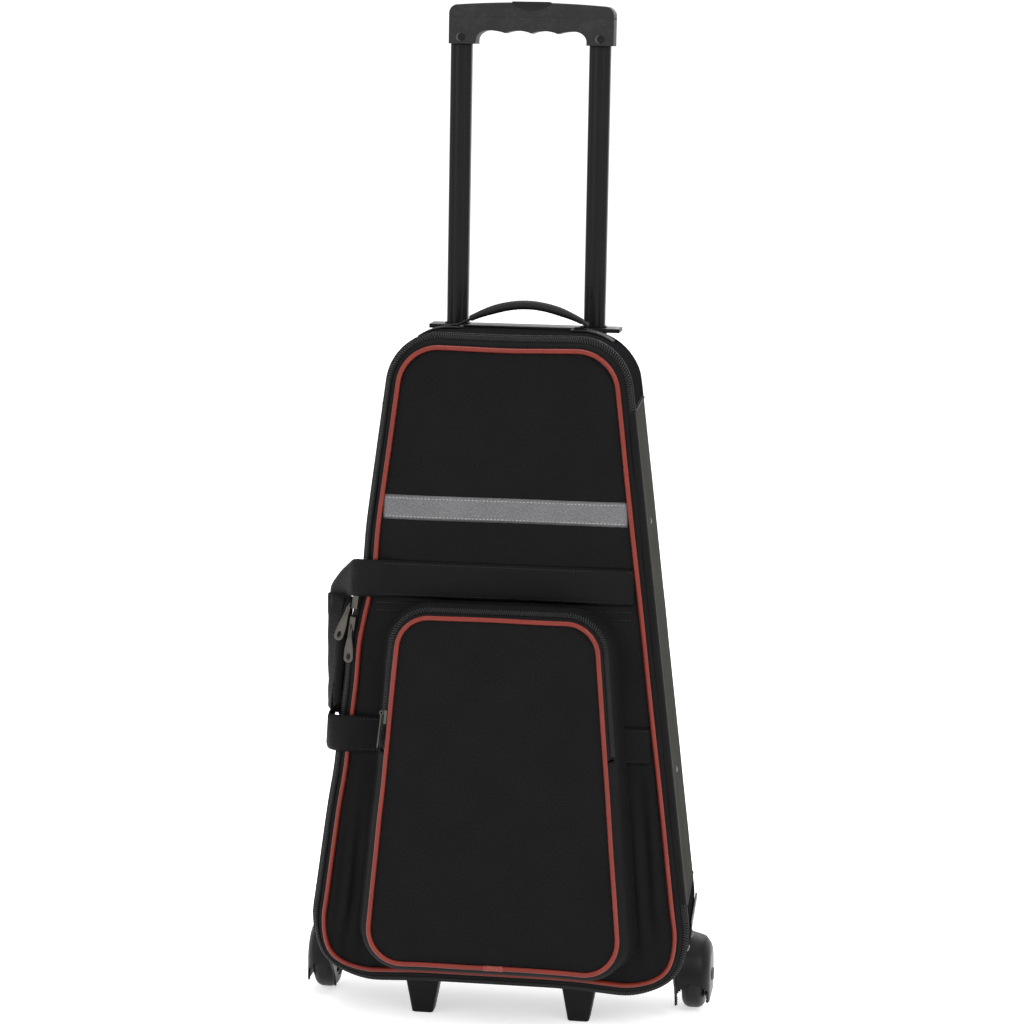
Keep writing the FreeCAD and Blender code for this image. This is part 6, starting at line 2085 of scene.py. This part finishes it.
@dataclass(frozen=True)
class TopHandle:
    """The small carry handle on the top.

    Args:
        depth: Depth of its middle.
        shift: X of its middle.
        half: Half length of the grip.
        end_rise: Height of the grip's ends over the case.
        peak_rise: Height of the arch's top.
        top: Height of the case's top.
        lean: How far the sides have moved in at the patches.
    """

    depth: float = 60.0
    shift: float = 10.0
    half: float = 58.0
    end_rise: float = 9.5
    peak_rise: float = 25.4
    top: float = 711.0
    lean: float = 2.2

    def grip(self) -> bpy.types.Object:
        """The moulded grip: an arch with blunt ends, a little thicker in the middle."""
        ends = 1 - np.cos(np.linspace(0, math.pi / 2, 8))
        share = np.concatenate([-1 + ends * 0.03, np.linspace(-0.965, 0.965, 80),
                                1 - ends[::-1] * 0.03])
        rise = self.end_rise + (self.peak_rise - self.end_rise) * np.cos(share * math.pi / 2) ** 0.9
        path = world(self.shift + share * self.half, np.full_like(share, self.depth),
                     self.top + rise)
        edge = 1 - np.abs(share)
        blunt = np.sqrt(np.clip(1 - (1 - np.clip(edge / 0.03, 0, 1)) ** 2, 0.05, 1))
        ribs = 0.10 * np.sin(share * 29 * math.pi) * smooth(edge / 0.2)
        size = (3.4 + 1.6 * smooth(edge / 0.5) + ribs) * blunt
        return outward(tube_piece("top_grip", path, lambda _: size, 24, 0.92))

    def surface(self, x: Array) -> Array:
        """Height of the case's top at a place across."""
        line = CASE_LINE
        flat = float(line.half_at(line.high - line.high_round)) - line.high_round * line.stretch
        radius = line.high_round + SHELL
        leaned = np.abs(x) + self.lean * np.clip(np.abs(x) / TAPER_HALF, 0, 1)
        beyond = np.clip(leaned - flat, 0.0, radius)
        return self.top - radius + np.sqrt(radius ** 2 - beyond ** 2)

    def webbing(self) -> bpy.types.Object:
        """The two webbing ends that come out of the grip, the right one folded back under it."""
        parts = []
        for side, x, z in ((LEFT, (-42.0, -48.0, -53.0, -57.0, -61.0), (10.6, 9.2, 7.0, 4.6, 3.0)),
                           (RIGHT, (62.0, 68.5, 72.6, 72.0, 66.0, 60.5),
                            (10.6, 9.2, 7.6, 5.6, 4.2, 2.8))):
            path = polish_path(world(np.array(x), np.full(len(x), self.depth),
                                     self.top + np.array(z)), 0.8, 5)
            turn = np.linspace(0, 1, len(path))[:, None]
            half = np.concatenate([1.2 * np.sin(turn * math.pi), 4.4 + 0 * turn,
                                   0.9 * np.sin(turn * math.pi)], 1)
            parts.append(strap(f"stub_{side}", path - half, path + half, 2.2, 9))
        return joined("top_handle_ends", parts)

    def anchors(self) -> bpy.types.Object:
        """The sewn patches that follow the case's top, with the roots of the webbing."""
        parts = []
        for side in (LEFT, RIGHT):
            x = side * np.linspace(56.0, 99.0, 34)
            height = self.surface(x) + 1.2
            low = world(x, np.full_like(x, self.depth - 13.0), height)
            high = world(x, np.full_like(x, self.depth + 13.0), height)
            pair = (high, low) if side == LEFT else (low, high)
            parts.append(strap(f"patch_{side}", *pair, 2.4, 9))
            root = side * np.array([73.0, 67.0, 61.5, 58.8, 58.6, 61.0, 66.0])
            z = self.surface(root) + np.array([2.2, 2.8, 3.7, 3.6, 2.7, 2.1, 1.7])
            path = polish_path(world(root, np.full(7, self.depth), z), 0.8, 4)
            parts.append(strap(f"root_{side}", path + [0, -4.6, 0], path + [0, 4.6, 0], 1.5, 7))
        return joined("top_handle_patches", [outward(part) for part in parts])

    def stitches(self) -> bpy.types.Object:
        """A sewn box with a cross on each patch."""
        stitch = Stitch(pitch=3.2, dash=2.3, width=0.6, height=0.3)
        lines = []
        for side in (LEFT, RIGHT):
            x0, x1 = side * 59.0, side * 96.0
            y0, y1 = self.depth - 10.5, self.depth + 10.5
            corners = [(x0, y0), (x1, y0), (x1, y1), (x0, y1), (x0, y0), (x1, y1)]
            for index, (a, b) in enumerate(zip(corners, corners[1:])):
                x, y = np.linspace(a[0], b[0], 20), np.linspace(a[1], b[1], 20)
                path = world(x, y, self.surface(x) + 2.4)
                lines.append(stitch.row(f"box_{side}_{index}", path, np.array([0.0, 0.0, 1.0])))
        return joined("patch_stitching", lines)

    def dress(self, paints: Paints) -> None:
        """Make and finish the top handle."""
        dress(self.grip(), paints.rubber, Body.TOP_HANDLE, "handle_rubber", "top_handle_grip")
        dress(self.webbing(), paints.webbing, Body.TOP_HANDLE, "webbing", "top_handle_webbing")
        dress(self.anchors(), paints.webbing, Body.CASE, "webbing", "handle_anchors")
        dress(self.stitches(), paints.thread_dark, Body.CASE, "webbing")


@dataclass(frozen=True)
class PullTab:
    """A zipper's pull: a plate with a narrow neck, a rounded end and an oval hole.

    Args:
        name: Name of the piece.
        node: Solid that it stands for.
        body: Body that it rides on.
        top: Its upper end, in millimetres.
        end: Its lower end.
        wide: Direction of its width.
        neck: Half width at the top.
        swell: Half width near the lower end.
        thickness: Thickness of the plate.
    """

    name: str
    node: str
    body: Body
    top: tuple[float, float, float]
    end: tuple[float, float, float]
    wide: tuple[float, float, float]
    neck: float = 2.1
    swell: float = 4.7
    thickness: float = 1.4

    def half_width(self, place: Array, length: float) -> Array:
        """Half width at a distance from the top."""
        width = self.neck + (self.swell - self.neck) * smooth((place - 3.0) / (length - 12.0))
        low = np.sqrt(np.clip(1 - (np.clip(place - (length - self.swell), 0, self.swell)
                                   / self.swell) ** 2, 0, 1))
        high = np.sqrt(np.clip(1 - (np.clip(2.0 - place, 0, 2.0) / 2.0) ** 2, 0, 1))
        return width * low * high

    def build(self) -> bpy.types.Object:
        """Make the plate with its hole, and the eye at its top."""
        top, end = np.array(self.top), np.array(self.end)
        length = float(np.linalg.norm(end - top))
        down, wide = (end - top) / length, np.array(self.wide)
        face = unit(np.cross(down, wide))
        wide = np.cross(face, down)
        share = (1 - np.cos(np.linspace(0, math.pi, 33))) / 2 * length
        half = self.half_width(share, length)
        outline = np.concatenate([np.stack([share, half], 1), np.stack([share, -half], 1)[-2:0:-1]])
        centre = np.array([length - 6.6, 0.0])
        angle = np.arctan2(outline[:, 1], outline[:, 0] - centre[0])
        hole = centre + np.stack([3.4 * np.cos(angle), 1.9 * np.sin(angle)], 1)
        middle, lip = (outline + hole) / 2, hole + (hole - centre) * 0.08
        reach = np.linalg.norm(outline - centre, axis=1, keepdims=True)
        inward = (centre - outline) / np.maximum(reach, 1.0)
        rings = [(outline + inward * inset, lift)
                 for lift, inset in ((-1, 0.25), (-0.6, 0.0), (0.6, 0.0), (1, 0.25))]
        rings += [(middle, 1), (lip, 1), (hole, 0.6), (hole, -0.6), (lip, -1), (middle, -1)]
        points = np.stack([top + ring[:, :1] * down + ring[:, 1:] * wide
                           + face * lift * self.thickness / 2 for ring, lift in rings])
        plate = grid_piece(f"{self.name}_plate", points, wrap_rows=True, wrap_columns=True)
        turn = np.linspace(0, math.tau, 22)
        eye = (top - down * 0.6
               + np.cos(turn)[:, None] * down * 2.0 + np.sin(turn)[:, None] * face * 1.7)
        loop = tube_piece(f"{self.name}_eye", eye, 0.75, 8)
        return joined(self.name, [outward(plate), outward(loop)])

    def dress(self, paints: Paints) -> None:
        """Make and finish the pull."""
        dress(self.build(), paints.nickel, self.body, "pull", self.node)


@dataclass(frozen=True)
class Pulls:
    """The three zipper pulls."""

    def dress(self, paints: Paints) -> None:
        """Make and finish every pull."""
        for tab in (
                PullTab("pull_upper", "tab_upper", Body.UPPER_TAB, (-157.6, -57.7, 431.0),
                        (-169.6, -57.7, 395.4), (1.0, 0.0, -0.34)),
                PullTab("pull_lower", "tab_lower", Body.LOWER_TAB, (-156.6, -55.8, 408.2),
                        (-158.4, -55.8, 372.0), (1.0, 0.0, -0.05)),
                PullTab("pull_pocket", "pocket_tab", Body.POCKET_TAB, (-116.5, -94.0, 329.4),
                        (-120.0, -94.0, 293.2), (0.0, 1.0, 0.0), 1.8, 4.2)):
            tab.dress(paints)


@dataclass(frozen=True)
class GripScrews:
    """The two screws in the legs of the trolley's grip.

    Args:
        radius: Radius of the ring round the head.
        groove: Radius of the groove inside that ring.
        pan: Radius of the head.
        slot: Half length of the cross.
    """

    radius: float = 3.9
    groove: float = 3.0
    pan: float = 2.7
    slot: float = 1.7

    def head(self, name: str, centre: tuple[float, float, float]) -> bpy.types.Object:
        """A pan head with a cross recess inside a raised ring."""
        r, a = disc(self.radius, 30, 64)
        x, z = r * np.cos(a + 0.4), r * np.sin(a + 0.4)
        arm = np.minimum(np.abs(r * np.cos(a)), np.abs(r * np.sin(a)))
        cross = smooth((0.62 - arm) / 0.25) * smooth((self.slot - r) / 0.3)
        ring = 0.45 * smooth((r - self.groove) / 0.2) * smooth((self.radius - r) / 0.5)
        dome = 0.75 - 0.45 * (r / self.pan) ** 2
        height = np.where(r < self.pan, dome, 0.12 + ring) - 0.6 * cross
        points = np.stack([centre[0] + x, centre[1] - height, centre[2] + z], -1)
        return grid_piece(name, points, wrap_columns=True, caps=True)

    def dress(self, paints: Paints) -> None:
        """Make and finish both heads."""
        low, high = node_box("grip_screws")
        heads = [self.head(f"head_{side}", (side * TUBE_SPREAD + GRIP_SHIFT, low[1],
                                            (low[2] + high[2]) / 2)) for side in (LEFT, RIGHT)]
        dress(joined("grip_screw_heads", heads), paints.button, Body.TROLLEY, "bolt")


@dataclass(frozen=True)
class TrolleyTop:
    """The visible parts of the telescopic handle: grip, button, tubes and bezel.

    Args:
        shift: How far the grip stands to the right of the tubes.
        front: Y of the lower moulding's front face.
        rear: Y of its rear face.
        half: Half width of the grip.
        inner: Half width between its legs.
        foot: Height of the legs' lower ends.
        under: Height of the finger rests' cusps.
        rest: Height of the finger rests over their cusps.
        finger: Width of a finger rest.
        knee: X where the underside turns down into a leg.
        drop: How far it falls there.
        parting: Height of the parting line.
        overlap: How far each moulding reaches past that line.
        top: Height of the cap's middle before its crown.
        crown: How far the crown rises.
        crown_half: X where the crown ends.
        corner: Radius of the cap's corners.
        key_half: Half width of the button.
        key_top: Height of its top.
        key_low: Height of its lower edge at the ends.
        key_dip: How far that edge dips in the middle.
        tube_round: Greatest radius of the tubes' corners.
        groove: Distances from a tube's edge where its groove starts, deepens, rises and ends.
        groove_depth: Depth of that groove.
    """

    shift: float = GRIP_SHIFT
    front: float = 63.9
    rear: float = 93.7
    half: float = 84.8
    inner: float = 56.9
    foot: float = 996.8
    under: float = 1008.0
    rest: float = 2.7
    finger: float = 27.0
    knee: float = 44.0
    drop: float = 10.5
    parting: float = 1024.4
    overlap: float = 0.6
    top: float = 1036.6
    crown: float = 2.9
    crown_half: float = 76.0
    corner: float = 9.0
    key_half: float = 20.2
    key_top: float = 1040.3
    key_low: float = 1038.0
    key_dip: float = 6.8
    tube_round: float = 5.0
    groove: tuple[float, float, float, float] = (5.6, 6.0, 6.6, 7.0)
    groove_depth: float = 0.45

    def underside(self) -> Array:
        """Places along the underside from the left leg to the right one."""
        x = np.linspace(-self.finger, self.finger, 73)
        wave = np.abs(np.sin(x * math.pi / self.finger)) ** 0.75
        middle = np.stack([x, self.under + self.rest * wave], 1)
        x = np.linspace(self.finger, self.knee, 18)[1:]
        share = (x - self.finger) / (self.knee - self.finger)
        rising = np.stack([x, self.under + self.rest * np.sin(share * math.pi / 2) ** 0.8], 1)
        turn = np.linspace(0, math.pi / 2, 14)[1:]
        arc = np.stack([self.knee + (self.inner - self.knee) * np.sin(turn),
                        self.under + self.rest - self.drop * (1 - np.cos(turn))], 1)
        right = np.concatenate([rising, arc, [[self.inner, self.foot]]])
        return np.concatenate([(right * [-1, 1])[::-1], middle, right])

    def line_top(self, x: Array) -> Array:
        """Height of the cap's upper face."""
        return self.top + self.crown * (1 - (x / self.crown_half) ** 2)

    def body(self) -> bpy.types.Object:
        """The lower moulding with finger rests."""
        side = np.linspace(self.foot, self.parting + self.overlap, 16)
        line = np.linspace(self.half, -self.half, 60)[1:-1]
        bottom = np.linspace(-self.half, -self.inner, 16)[1:-1]
        outline = np.concatenate([
            level(bottom, self.foot), self.underside(), level(-bottom[::-1], self.foot),
            level(side, self.half)[:, ::-1], level(line, side[-1]),
            level(side[::-1], -self.half)[:, ::-1]])
        return slab("grip_lower", outline + [self.shift, 0], self.front, self.rear, 1.3)

    def cap(self) -> bpy.types.Object:
        """The upper moulding with its crowned top."""
        turn = np.linspace(0, math.pi / 2, 12)
        centre = self.half - self.corner
        height = float(self.line_top(centre)) - self.corner
        corner = np.stack([centre + self.corner * np.cos(turn),
                           height + self.corner * np.sin(turn)], 1)
        x = np.linspace(centre, -centre, 90)[1:-1]
        low = np.linspace(-self.half, self.half, 90)
        outline = np.concatenate([level(low, self.parting - self.overlap), corner,
                                  np.stack([x, self.line_top(x)], 1),
                                  (corner * [-1, 1])[::-1]])
        return slab("grip_upper", outline + [self.shift, 0], self.front - 0.1, self.rear + 0.1,
                    1.6)

    def key(self) -> bpy.types.Object:
        """The release button, whose lower edge is an arc."""
        x = np.linspace(-self.key_half, self.key_half, 50)
        arc = self.key_low - self.key_dip * (1 - (x / self.key_half) ** 2)
        upper = np.linspace(self.key_half - 0.8, 0.8 - self.key_half, 30)
        outline = np.concatenate([np.stack([x, arc], 1), level(upper, self.key_top)])
        return slab("release_key", outline + [self.shift, 0], self.front - 0.55, 80.0, 0.6)

    def tube(self, name: str, node: str) -> bpy.types.Object:
        """A sliding tube of rounded section with a groove near each edge."""
        low, high = node_box(node)
        middle, size = (low + high) / 2, (high - low) / 2
        radius = min(self.tube_round, size[1] - 0.3)
        quarter = np.linspace(0, math.pi / 2, 7)
        across = np.concatenate([radius * (1 - np.cos(quarter)), self.groove, size[:1]])
        deep = np.concatenate([radius * (1 - np.sin(quarter)),
                               [0.0, self.groove_depth, self.groove_depth, 0.0, 0.0]])
        half = np.stack([across, deep], 1) - size[:2]
        face = np.concatenate([half, (half * [-1, 1])[::-1][1:]])
        ring = np.concatenate([face, -face]) + middle[:2]
        points = np.stack([np.column_stack([ring, np.full(len(ring), height)])
                           for height in np.linspace(low[2], high[2], 24)])
        return outward(grid_piece(name, points, wrap_columns=True, caps=True))

    def bezel(self) -> bpy.types.Object:
        """The plate on the case's top that the tubes come out of."""
        low, high = node_box("trolley_plate")
        corner = np.array([[low[0], low[2]], [high[0], low[2]], [high[0], high[2]],
                           [low[0], high[2]]])
        share = np.linspace(0, 1, 40)[:-1, None]
        outline = np.concatenate([a + (b - a) * share
                                  for a, b in zip(corner, np.roll(corner, -1, 0))])
        return slab("trolley_bezel", outline - [0, TOP_FALL - 0.6], low[1], high[1] - 1.0, 0.7)

    def dress(self, paints: Paints) -> None:
        """Make and finish the handle's visible parts."""
        dress(self.body(), paints.grip, Body.TROLLEY, "grip", "grip_body")
        dress(self.cap(), paints.grip, Body.TROLLEY, "grip", "grip_cap")
        dress(self.key(), paints.button, Body.BUTTON, "button", "release_button")
        for name, node in (("slide_tube_left", "inner_tube_left"),
                           ("slide_tube_right", "inner_tube_right")):
            dress(self.tube(name, node), paints.tube, Body.TROLLEY, "tube", node)
        dress(self.bezel(), paints.moulding, Body.CASE, "moulding", "trolley_plate")


@dataclass(frozen=True)
class ReturnSpring:
    """The coil spring under the release button's yoke.

    Args:
        turns: Number of turns.
        wire: Radius of its wire.
        travel: Not used.
    """

    turns: float = 6.5
    wire: float = 0.42
    travel: float = 4.0

    def dress(self, paints: Paints) -> None:
        """Make the spring."""
        low, high = node_box("button_spring")
        middle, radius = (low + high) / 2, (high[0] - low[0]) / 2 - self.wire
        share = np.linspace(0, 1, 240)
        turn = share * self.turns * math.tau
        height = low[2] + self.wire + share * (high[2] - low[2] - 2 * self.wire)
        path = np.stack([middle[0] + radius * np.cos(turn), middle[1] + radius * np.sin(turn),
                         height], 1)
        coil = tube_piece("return_spring", path, self.wire, 8)
        dress(coil, paints.steel, Body.TROLLEY, "spring", "button_spring")
        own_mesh(coil)


@dataclass(frozen=True)
class WheelGuard:
    """A moulded guard: a plate on the case's lower corner with a dome over the wheel.

    Args:
        side: Which side it is on.
        low: Height of its lower edge.
        high: Height of its upper edge.
        front: Y of its front edge.
        rear: Y of its rear edge.
        reach: X of the dome's outer face, inside the wall.
        leg: Least x of the plate.
        axis: Y and height of the dome's middle.
        radius: Radius of the dome's footprint.
        shoulder: Radius of the dome's shoulder.
        fillet: Reach of the round where the dome leaves the plate.
        opening: Height of the top of the wheel opening.
        pillar: Half width of the dome's part that stays closed below.
        thickness: Thickness of the wall.
        gap: How far the plate stands off the case's wall.
        corner: Radius of its upper corners.
        front_cut: How far its front edge is cut back at the bottom.
        rear_cut: How far its rear edge is cut forward there.
        cut_high: Height where the cuts begin.
        cut_low: Height where they are full.
        rivet: Radius of a rivet's head.
    """

    side: int
    low: float = 13.6
    high: float = 111.6
    front: float = -36.8
    rear: float = 99.0
    reach: float = 211.6
    leg: float = 178.6
    axis: tuple[float, float] = (48.8, 36.0)
    radius: float = 41.6
    shoulder: float = 17.0
    fillet: float = 4.0
    opening: float = 35.0
    pillar: float = 26.0
    thickness: float = 1.8
    gap: float = 0.9
    corner: float = 12.0
    front_cut: float = 38.0
    rear_cut: float = 14.0
    cut_high: float = 66.0
    cut_low: float = 14.0
    rivet: float = 3.4

    @property
    def name(self) -> str:
        """Left or right."""
        return SIDE_NAMES[self.side]

    def grid(self) -> tuple[Array, Array]:
        """Y and height of the wall's points, with rounded upper corners."""
        z = np.linspace(self.low, self.high, 110)
        rise = np.clip(z - (self.high - self.corner), 0.0, self.corner)
        cut = self.corner - np.sqrt(self.corner ** 2 - rise ** 2)
        taken = smooth((self.cut_high - z) / (self.cut_high - self.cut_low))
        first = self.front + self.front_cut * taken + cut
        last = self.rear - self.rear_cut * taken - cut
        share = np.linspace(0, 1, 150)
        return first[:, None] + (last - first)[:, None] * share, np.repeat(z[:, None], 150, 1)

    def wall_at(self, y: Array, z: Array) -> Array:
        """Distance of the plate's inner face from the middle."""
        return CASE_LINE.width_at(z, SHELL) - taper(y - PANEL_PLANE) + self.gap

    def rise(self, y: Array, z: Array) -> Array:
        """Share of the dome's height at a place."""
        above = np.clip(z - self.axis[1], 0.0, None)
        inside = self.radius - np.hypot(y - self.axis[0], above) + self.fillet
        part = np.clip(inside / (self.shoulder + self.fillet), 0, 1)
        return np.sqrt(1 - (1 - part) ** 2) * smooth(inside / (2 * self.fillet))

    def build(self) -> bpy.types.Object:
        """Make the wall with its wheel opening."""
        y, z = self.grid()
        plate = np.maximum(self.wall_at(y, z), self.leg)
        share = self.rise(y, z)
        x = plate + (self.reach - plate) * share
        points = np.stack([self.side * x, y, z], -1)
        quads, _ = grid_faces(*y.shape, False, False)
        place, height, risen = (grid.ravel()[quads].mean(1) for grid in (y, z, share))
        arch = self.opening - 9.0 * ((risen - 0.5) / 0.45) ** 2
        away = np.abs(place - self.axis[0]) > self.pillar
        quads = quads[~(away & (height < arch) & (risen > 0.05) & (risen < 0.95))]
        if self.side == RIGHT:
            quads = quads[:, ::-1]
        piece = new_object(f"wheel_guard_{self.name}", points.reshape(-1, 3), quads.tolist())
        shape = bmesh.new()
        shape.from_mesh(piece.data)
        loose = [vertex for vertex in shape.verts if not vertex.link_faces]
        bmesh.ops.delete(shape, geom=loose, context="VERTS")
        shape.to_mesh(piece.data)
        shape.free()
        wall_thickness = piece.modifiers.new("wall", "SOLIDIFY")
        wall_thickness.thickness = self.thickness * MM
        wall_thickness.offset = 1.0
        return piece

    def rivets(self) -> bpy.types.Object:
        """The two rivets in the plate near its front edge."""
        heads = []
        for index, (y, z) in enumerate(((-24.0, 101.0), (-20.0, 84.0))):
            r, a = disc(self.rivet, 12, 28)
            bow = 1.3 * np.sqrt(1 - (r / (self.rivet + 0.1)) ** 2)
            x = self.wall_at(y, z) + self.thickness + bow
            points = np.stack([self.side * x, y + r * np.cos(a), z + r * np.sin(a)], -1)
            heads.append(grid_piece(f"rivet_{index}", points, wrap_columns=True, caps=True))
        return joined(f"guard_rivets_{self.name}", heads)

    def dress(self, paints: Paints) -> None:
        """Make and finish the guard and its rivets."""
        dress(self.build(), paints.moulding, Body.CASE, "moulding", f"wheel_housing_{self.name}")
        dress(self.rivets(), paints.dark_steel, Body.CASE, "rivet")


@dataclass(frozen=True)
class Hardware:
    """The hard parts, which keep their CAD shape with softened edges.

    Args:
        hold_heights: Heights of the hold straps' middles.
        hold_half: Half width of their webbing.
        hold_inset: Distance of their ends from the side walls' line.
        hold_depth: Depth of their ends.
        hold_bow: How far their middles stand in front of that.
    """

    hold_heights: tuple[float, float] = (205.0, 500.0)
    hold_half: float = 18.5
    hold_inset: float = 40.0
    hold_depth: float = 117.8
    hold_bow: float = 0.44

    def inside(self, paints: Paints) -> None:
        """The hold straps, as webbing across the back board."""
        parts = []
        for height in self.hold_heights:
            half = float(CASE_LINE.half_at(height)) - self.hold_inset
            x = np.linspace(-half, half, 60)
            depth = self.hold_depth - self.hold_bow * np.cos(x / half * math.pi / 2)
            low, high = (world(x, depth, height + edge)
                         for edge in (-self.hold_half, self.hold_half))
            parts.append(ribbon(f"hold_{height:.0f}", low, high, FORWARD, 2.0))
        dress(joined("load_straps", parts), paints.webbing, Body.CASE, "webbing", "hold_straps")

    def dress(self, paints: Paints) -> None:
        """Finish every CAD node that stays."""
        for material, nodes in (
                (paints.board, {"back_board": 0.5, "base_board": 0.5, "release_yoke": 0.3}),
                (paints.tube, {"outer_tubes": 0.0}),
                (paints.moulding, {"tube_socket": 0.6}),
                (paints.dark_steel, {"axle_bolts": 0.3, "side_rivets": 0.4, "foot_screws": 0.2,
                                     "grip_screws": 0.3}),
                (paints.feet, {"feet": 1.2}),
                (paints.steel, {"lock_pin_left": 0.3, "lock_pin_right": 0.3,
                                "bearings_left": 0.0, "bearings_right": 0.0}),
                (paints.tyre, {"tyre_left": 0.0, "tyre_right": 0.0}),
                (paints.hub, {"hub_left": 0.4, "hub_right": 0.4}),
                (paints.nickel, {"slider_upper": 0.4, "slider_lower": 0.4,
                                 "pocket_slider": 0.35})):
            for node, bevel in nodes.items():
                finish_node(node, material, bevel)
        self.inside(paints)


@dataclass(frozen=True)
class Studio:
    """Floor, lamps and the camera at the photograph's angle.

    Args:
        turn: How far the camera stands to the right of square, in degrees.
        pitch: How far it looks down, in degrees.
        roll: Its roll, in degrees.
        focal: Focal length in pixels of the photograph's frame.
        frame: Width of that frame in pixels.
        sensor: Width of the sensor.
        distance: Distance from the aim.
        aim: Point at the middle of the frame.
        lift: Brightness added to the floor where it is seen.
        floor_half: Half width of the floor.
    """

    turn: float = 7.75
    pitch: float = 8.51
    roll: float = 1.01
    focal: float = 3144.0
    frame: float = 1024.0
    sensor: float = 36.0
    distance: float = 3250.0
    aim: tuple[float, float, float] = (-5.9, 39.75, 518.9)
    lift: float = 0.55
    floor_half: float = 9000.0

    def camera(self) -> None:
        """Create the camera."""
        turn, pitch, roll = (math.radians(a) for a in (self.turn, self.pitch, self.roll))
        forward = Vector((-math.sin(turn) * math.cos(pitch), math.cos(turn) * math.cos(pitch),
                          -math.sin(pitch)))
        right = Vector((math.cos(turn), math.sin(turn), 0.0))
        up = right.cross(forward)
        across = right * math.cos(roll) + up * math.sin(roll)
        above = up * math.cos(roll) - right * math.sin(roll)
        place = (Vector(self.aim) - forward * self.distance) * MM
        lens = bpy.data.cameras.new("photo_camera")
        lens.sensor_width = self.sensor
        lens.lens = self.focal * self.sensor / self.frame
        lens.clip_end = 50.0
        camera = bpy.data.objects.new("photo_camera", lens)
        turned = Matrix((across, above, -forward)).transposed()
        camera.matrix_world = Matrix.Translation(place) @ turned.to_4x4()
        bpy.context.scene.collection.objects.link(camera)
        bpy.context.scene.camera = camera

    def seen(self, g: Graph) -> bpy.types.NodeSocket:
        """Whether a ray comes from the camera, a reflection or a transmission."""
        path = g.node("ShaderNodeLightPath")
        direct = g.math("MAXIMUM", path.outputs["Is Camera Ray"], path.outputs["Is Glossy Ray"])
        return g.math("MAXIMUM", direct, path.outputs["Is Transmission Ray"])

    def floor(self) -> None:
        """A pale floor that runs far behind the case."""
        corners = [(-1, -1), (1, -1), (1, 1), (-1, 1)]
        vertices = np.array([(x * self.floor_half, y * self.floor_half, -0.4) for x, y in corners])
        piece = new_object("floor", vertices, [[0, 1, 2, 3]], flat=True)
        material = bpy.data.materials.new("pale_floor")
        material.use_nodes = True
        g = Graph(material.node_tree)
        shader = material.node_tree.nodes["Principled BSDF"]
        shader.inputs["Roughness"].default_value = 0.8
        shader.inputs["Specular IOR Level"].default_value = 0.1
        place = g.node("ShaderNodeTexCoord")
        speck = g.noise(place.outputs["Object"], 60.0)
        shader.inputs["Emission Color"].default_value = (1.0, 1.0, 1.0, 1.0)
        g.join(g.math("MULTIPLY", self.seen(g), self.lift), shader.inputs["Emission Strength"])
        g.join(g.mix(speck, (0.93, 0.93, 0.93, 1), (0.95, 0.95, 0.95, 1)),
               shader.inputs["Base Color"])
        piece.data.materials.append(material)

    def lamp(self, name: str, place: tuple[float, float, float], aim: float, size: float,
             power: float) -> None:
        """Add a square soft box.

        Args:
            name: Name of the lamp.
            place: Where it stands, in metres.
            aim: Height over the frame's middle that it points at, in metres.
            size: Width and height, in metres.
            power: Power, in watts.
        """
        light = bpy.data.lights.new(name, "AREA")
        light.shape = "RECTANGLE"
        light.size = light.size_y = size
        light.energy = power
        lamp = bpy.data.objects.new(name, light)
        lamp.location = place
        way = Vector((0.0, 0.0, aim)) - Vector(place)
        lamp.rotation_euler = way.to_track_quat("-Z", "Y").to_euler()
        bpy.context.scene.collection.objects.link(lamp)

    def world(self) -> None:
        """Plain white surroundings."""
        surroundings = bpy.data.worlds.new("studio")
        surroundings.use_nodes = True
        g = Graph(surroundings.node_tree)
        background = surroundings.node_tree.nodes["Background"]
        background.inputs["Color"].default_value = (1.0, 1.0, 1.0, 1.0)
        g.join(g.span(self.seen(g), 0.0, 1.0, 0.92, 1.15), background.inputs["Strength"])
        bpy.context.scene.world = surroundings

    def build(self) -> None:
        """Set up the whole studio."""
        self.world()
        self.floor()
        self.lamp("key", (2.3, -1.9, 2.4), 0.45, 1.6, 42.0)
        self.lamp("fill", (-2.6, -2.0, 1.7), 0.45, 1.8, 16.0)
        self.lamp("top", (0.0, 0.3, 3.0), 0.5, 2.0, 34.0)
        self.lamp("rear", (0.6, 2.8, 2.2), 0.5, 1.8, 30.0)
        self.camera()
        bpy.context.scene.view_settings.view_transform = "Standard"


def main() -> None:
    """Build every sub-assembly in order."""
    paints = Paints()
    for part in (SoftBody(), MainZipper(), FrontPanel(), Straps(), SideHandle(), Pocket(),
                 TopHandle(), Pulls(), GripScrews(), TrolleyTop(), ReturnSpring(),
                 WheelGuard(LEFT), WheelGuard(RIGHT), Hardware()):
        LOG.info("== %s", type(part).__name__)
        part.dress(paints)
    Studio().build()


if __name__ == "__main__":
    main()
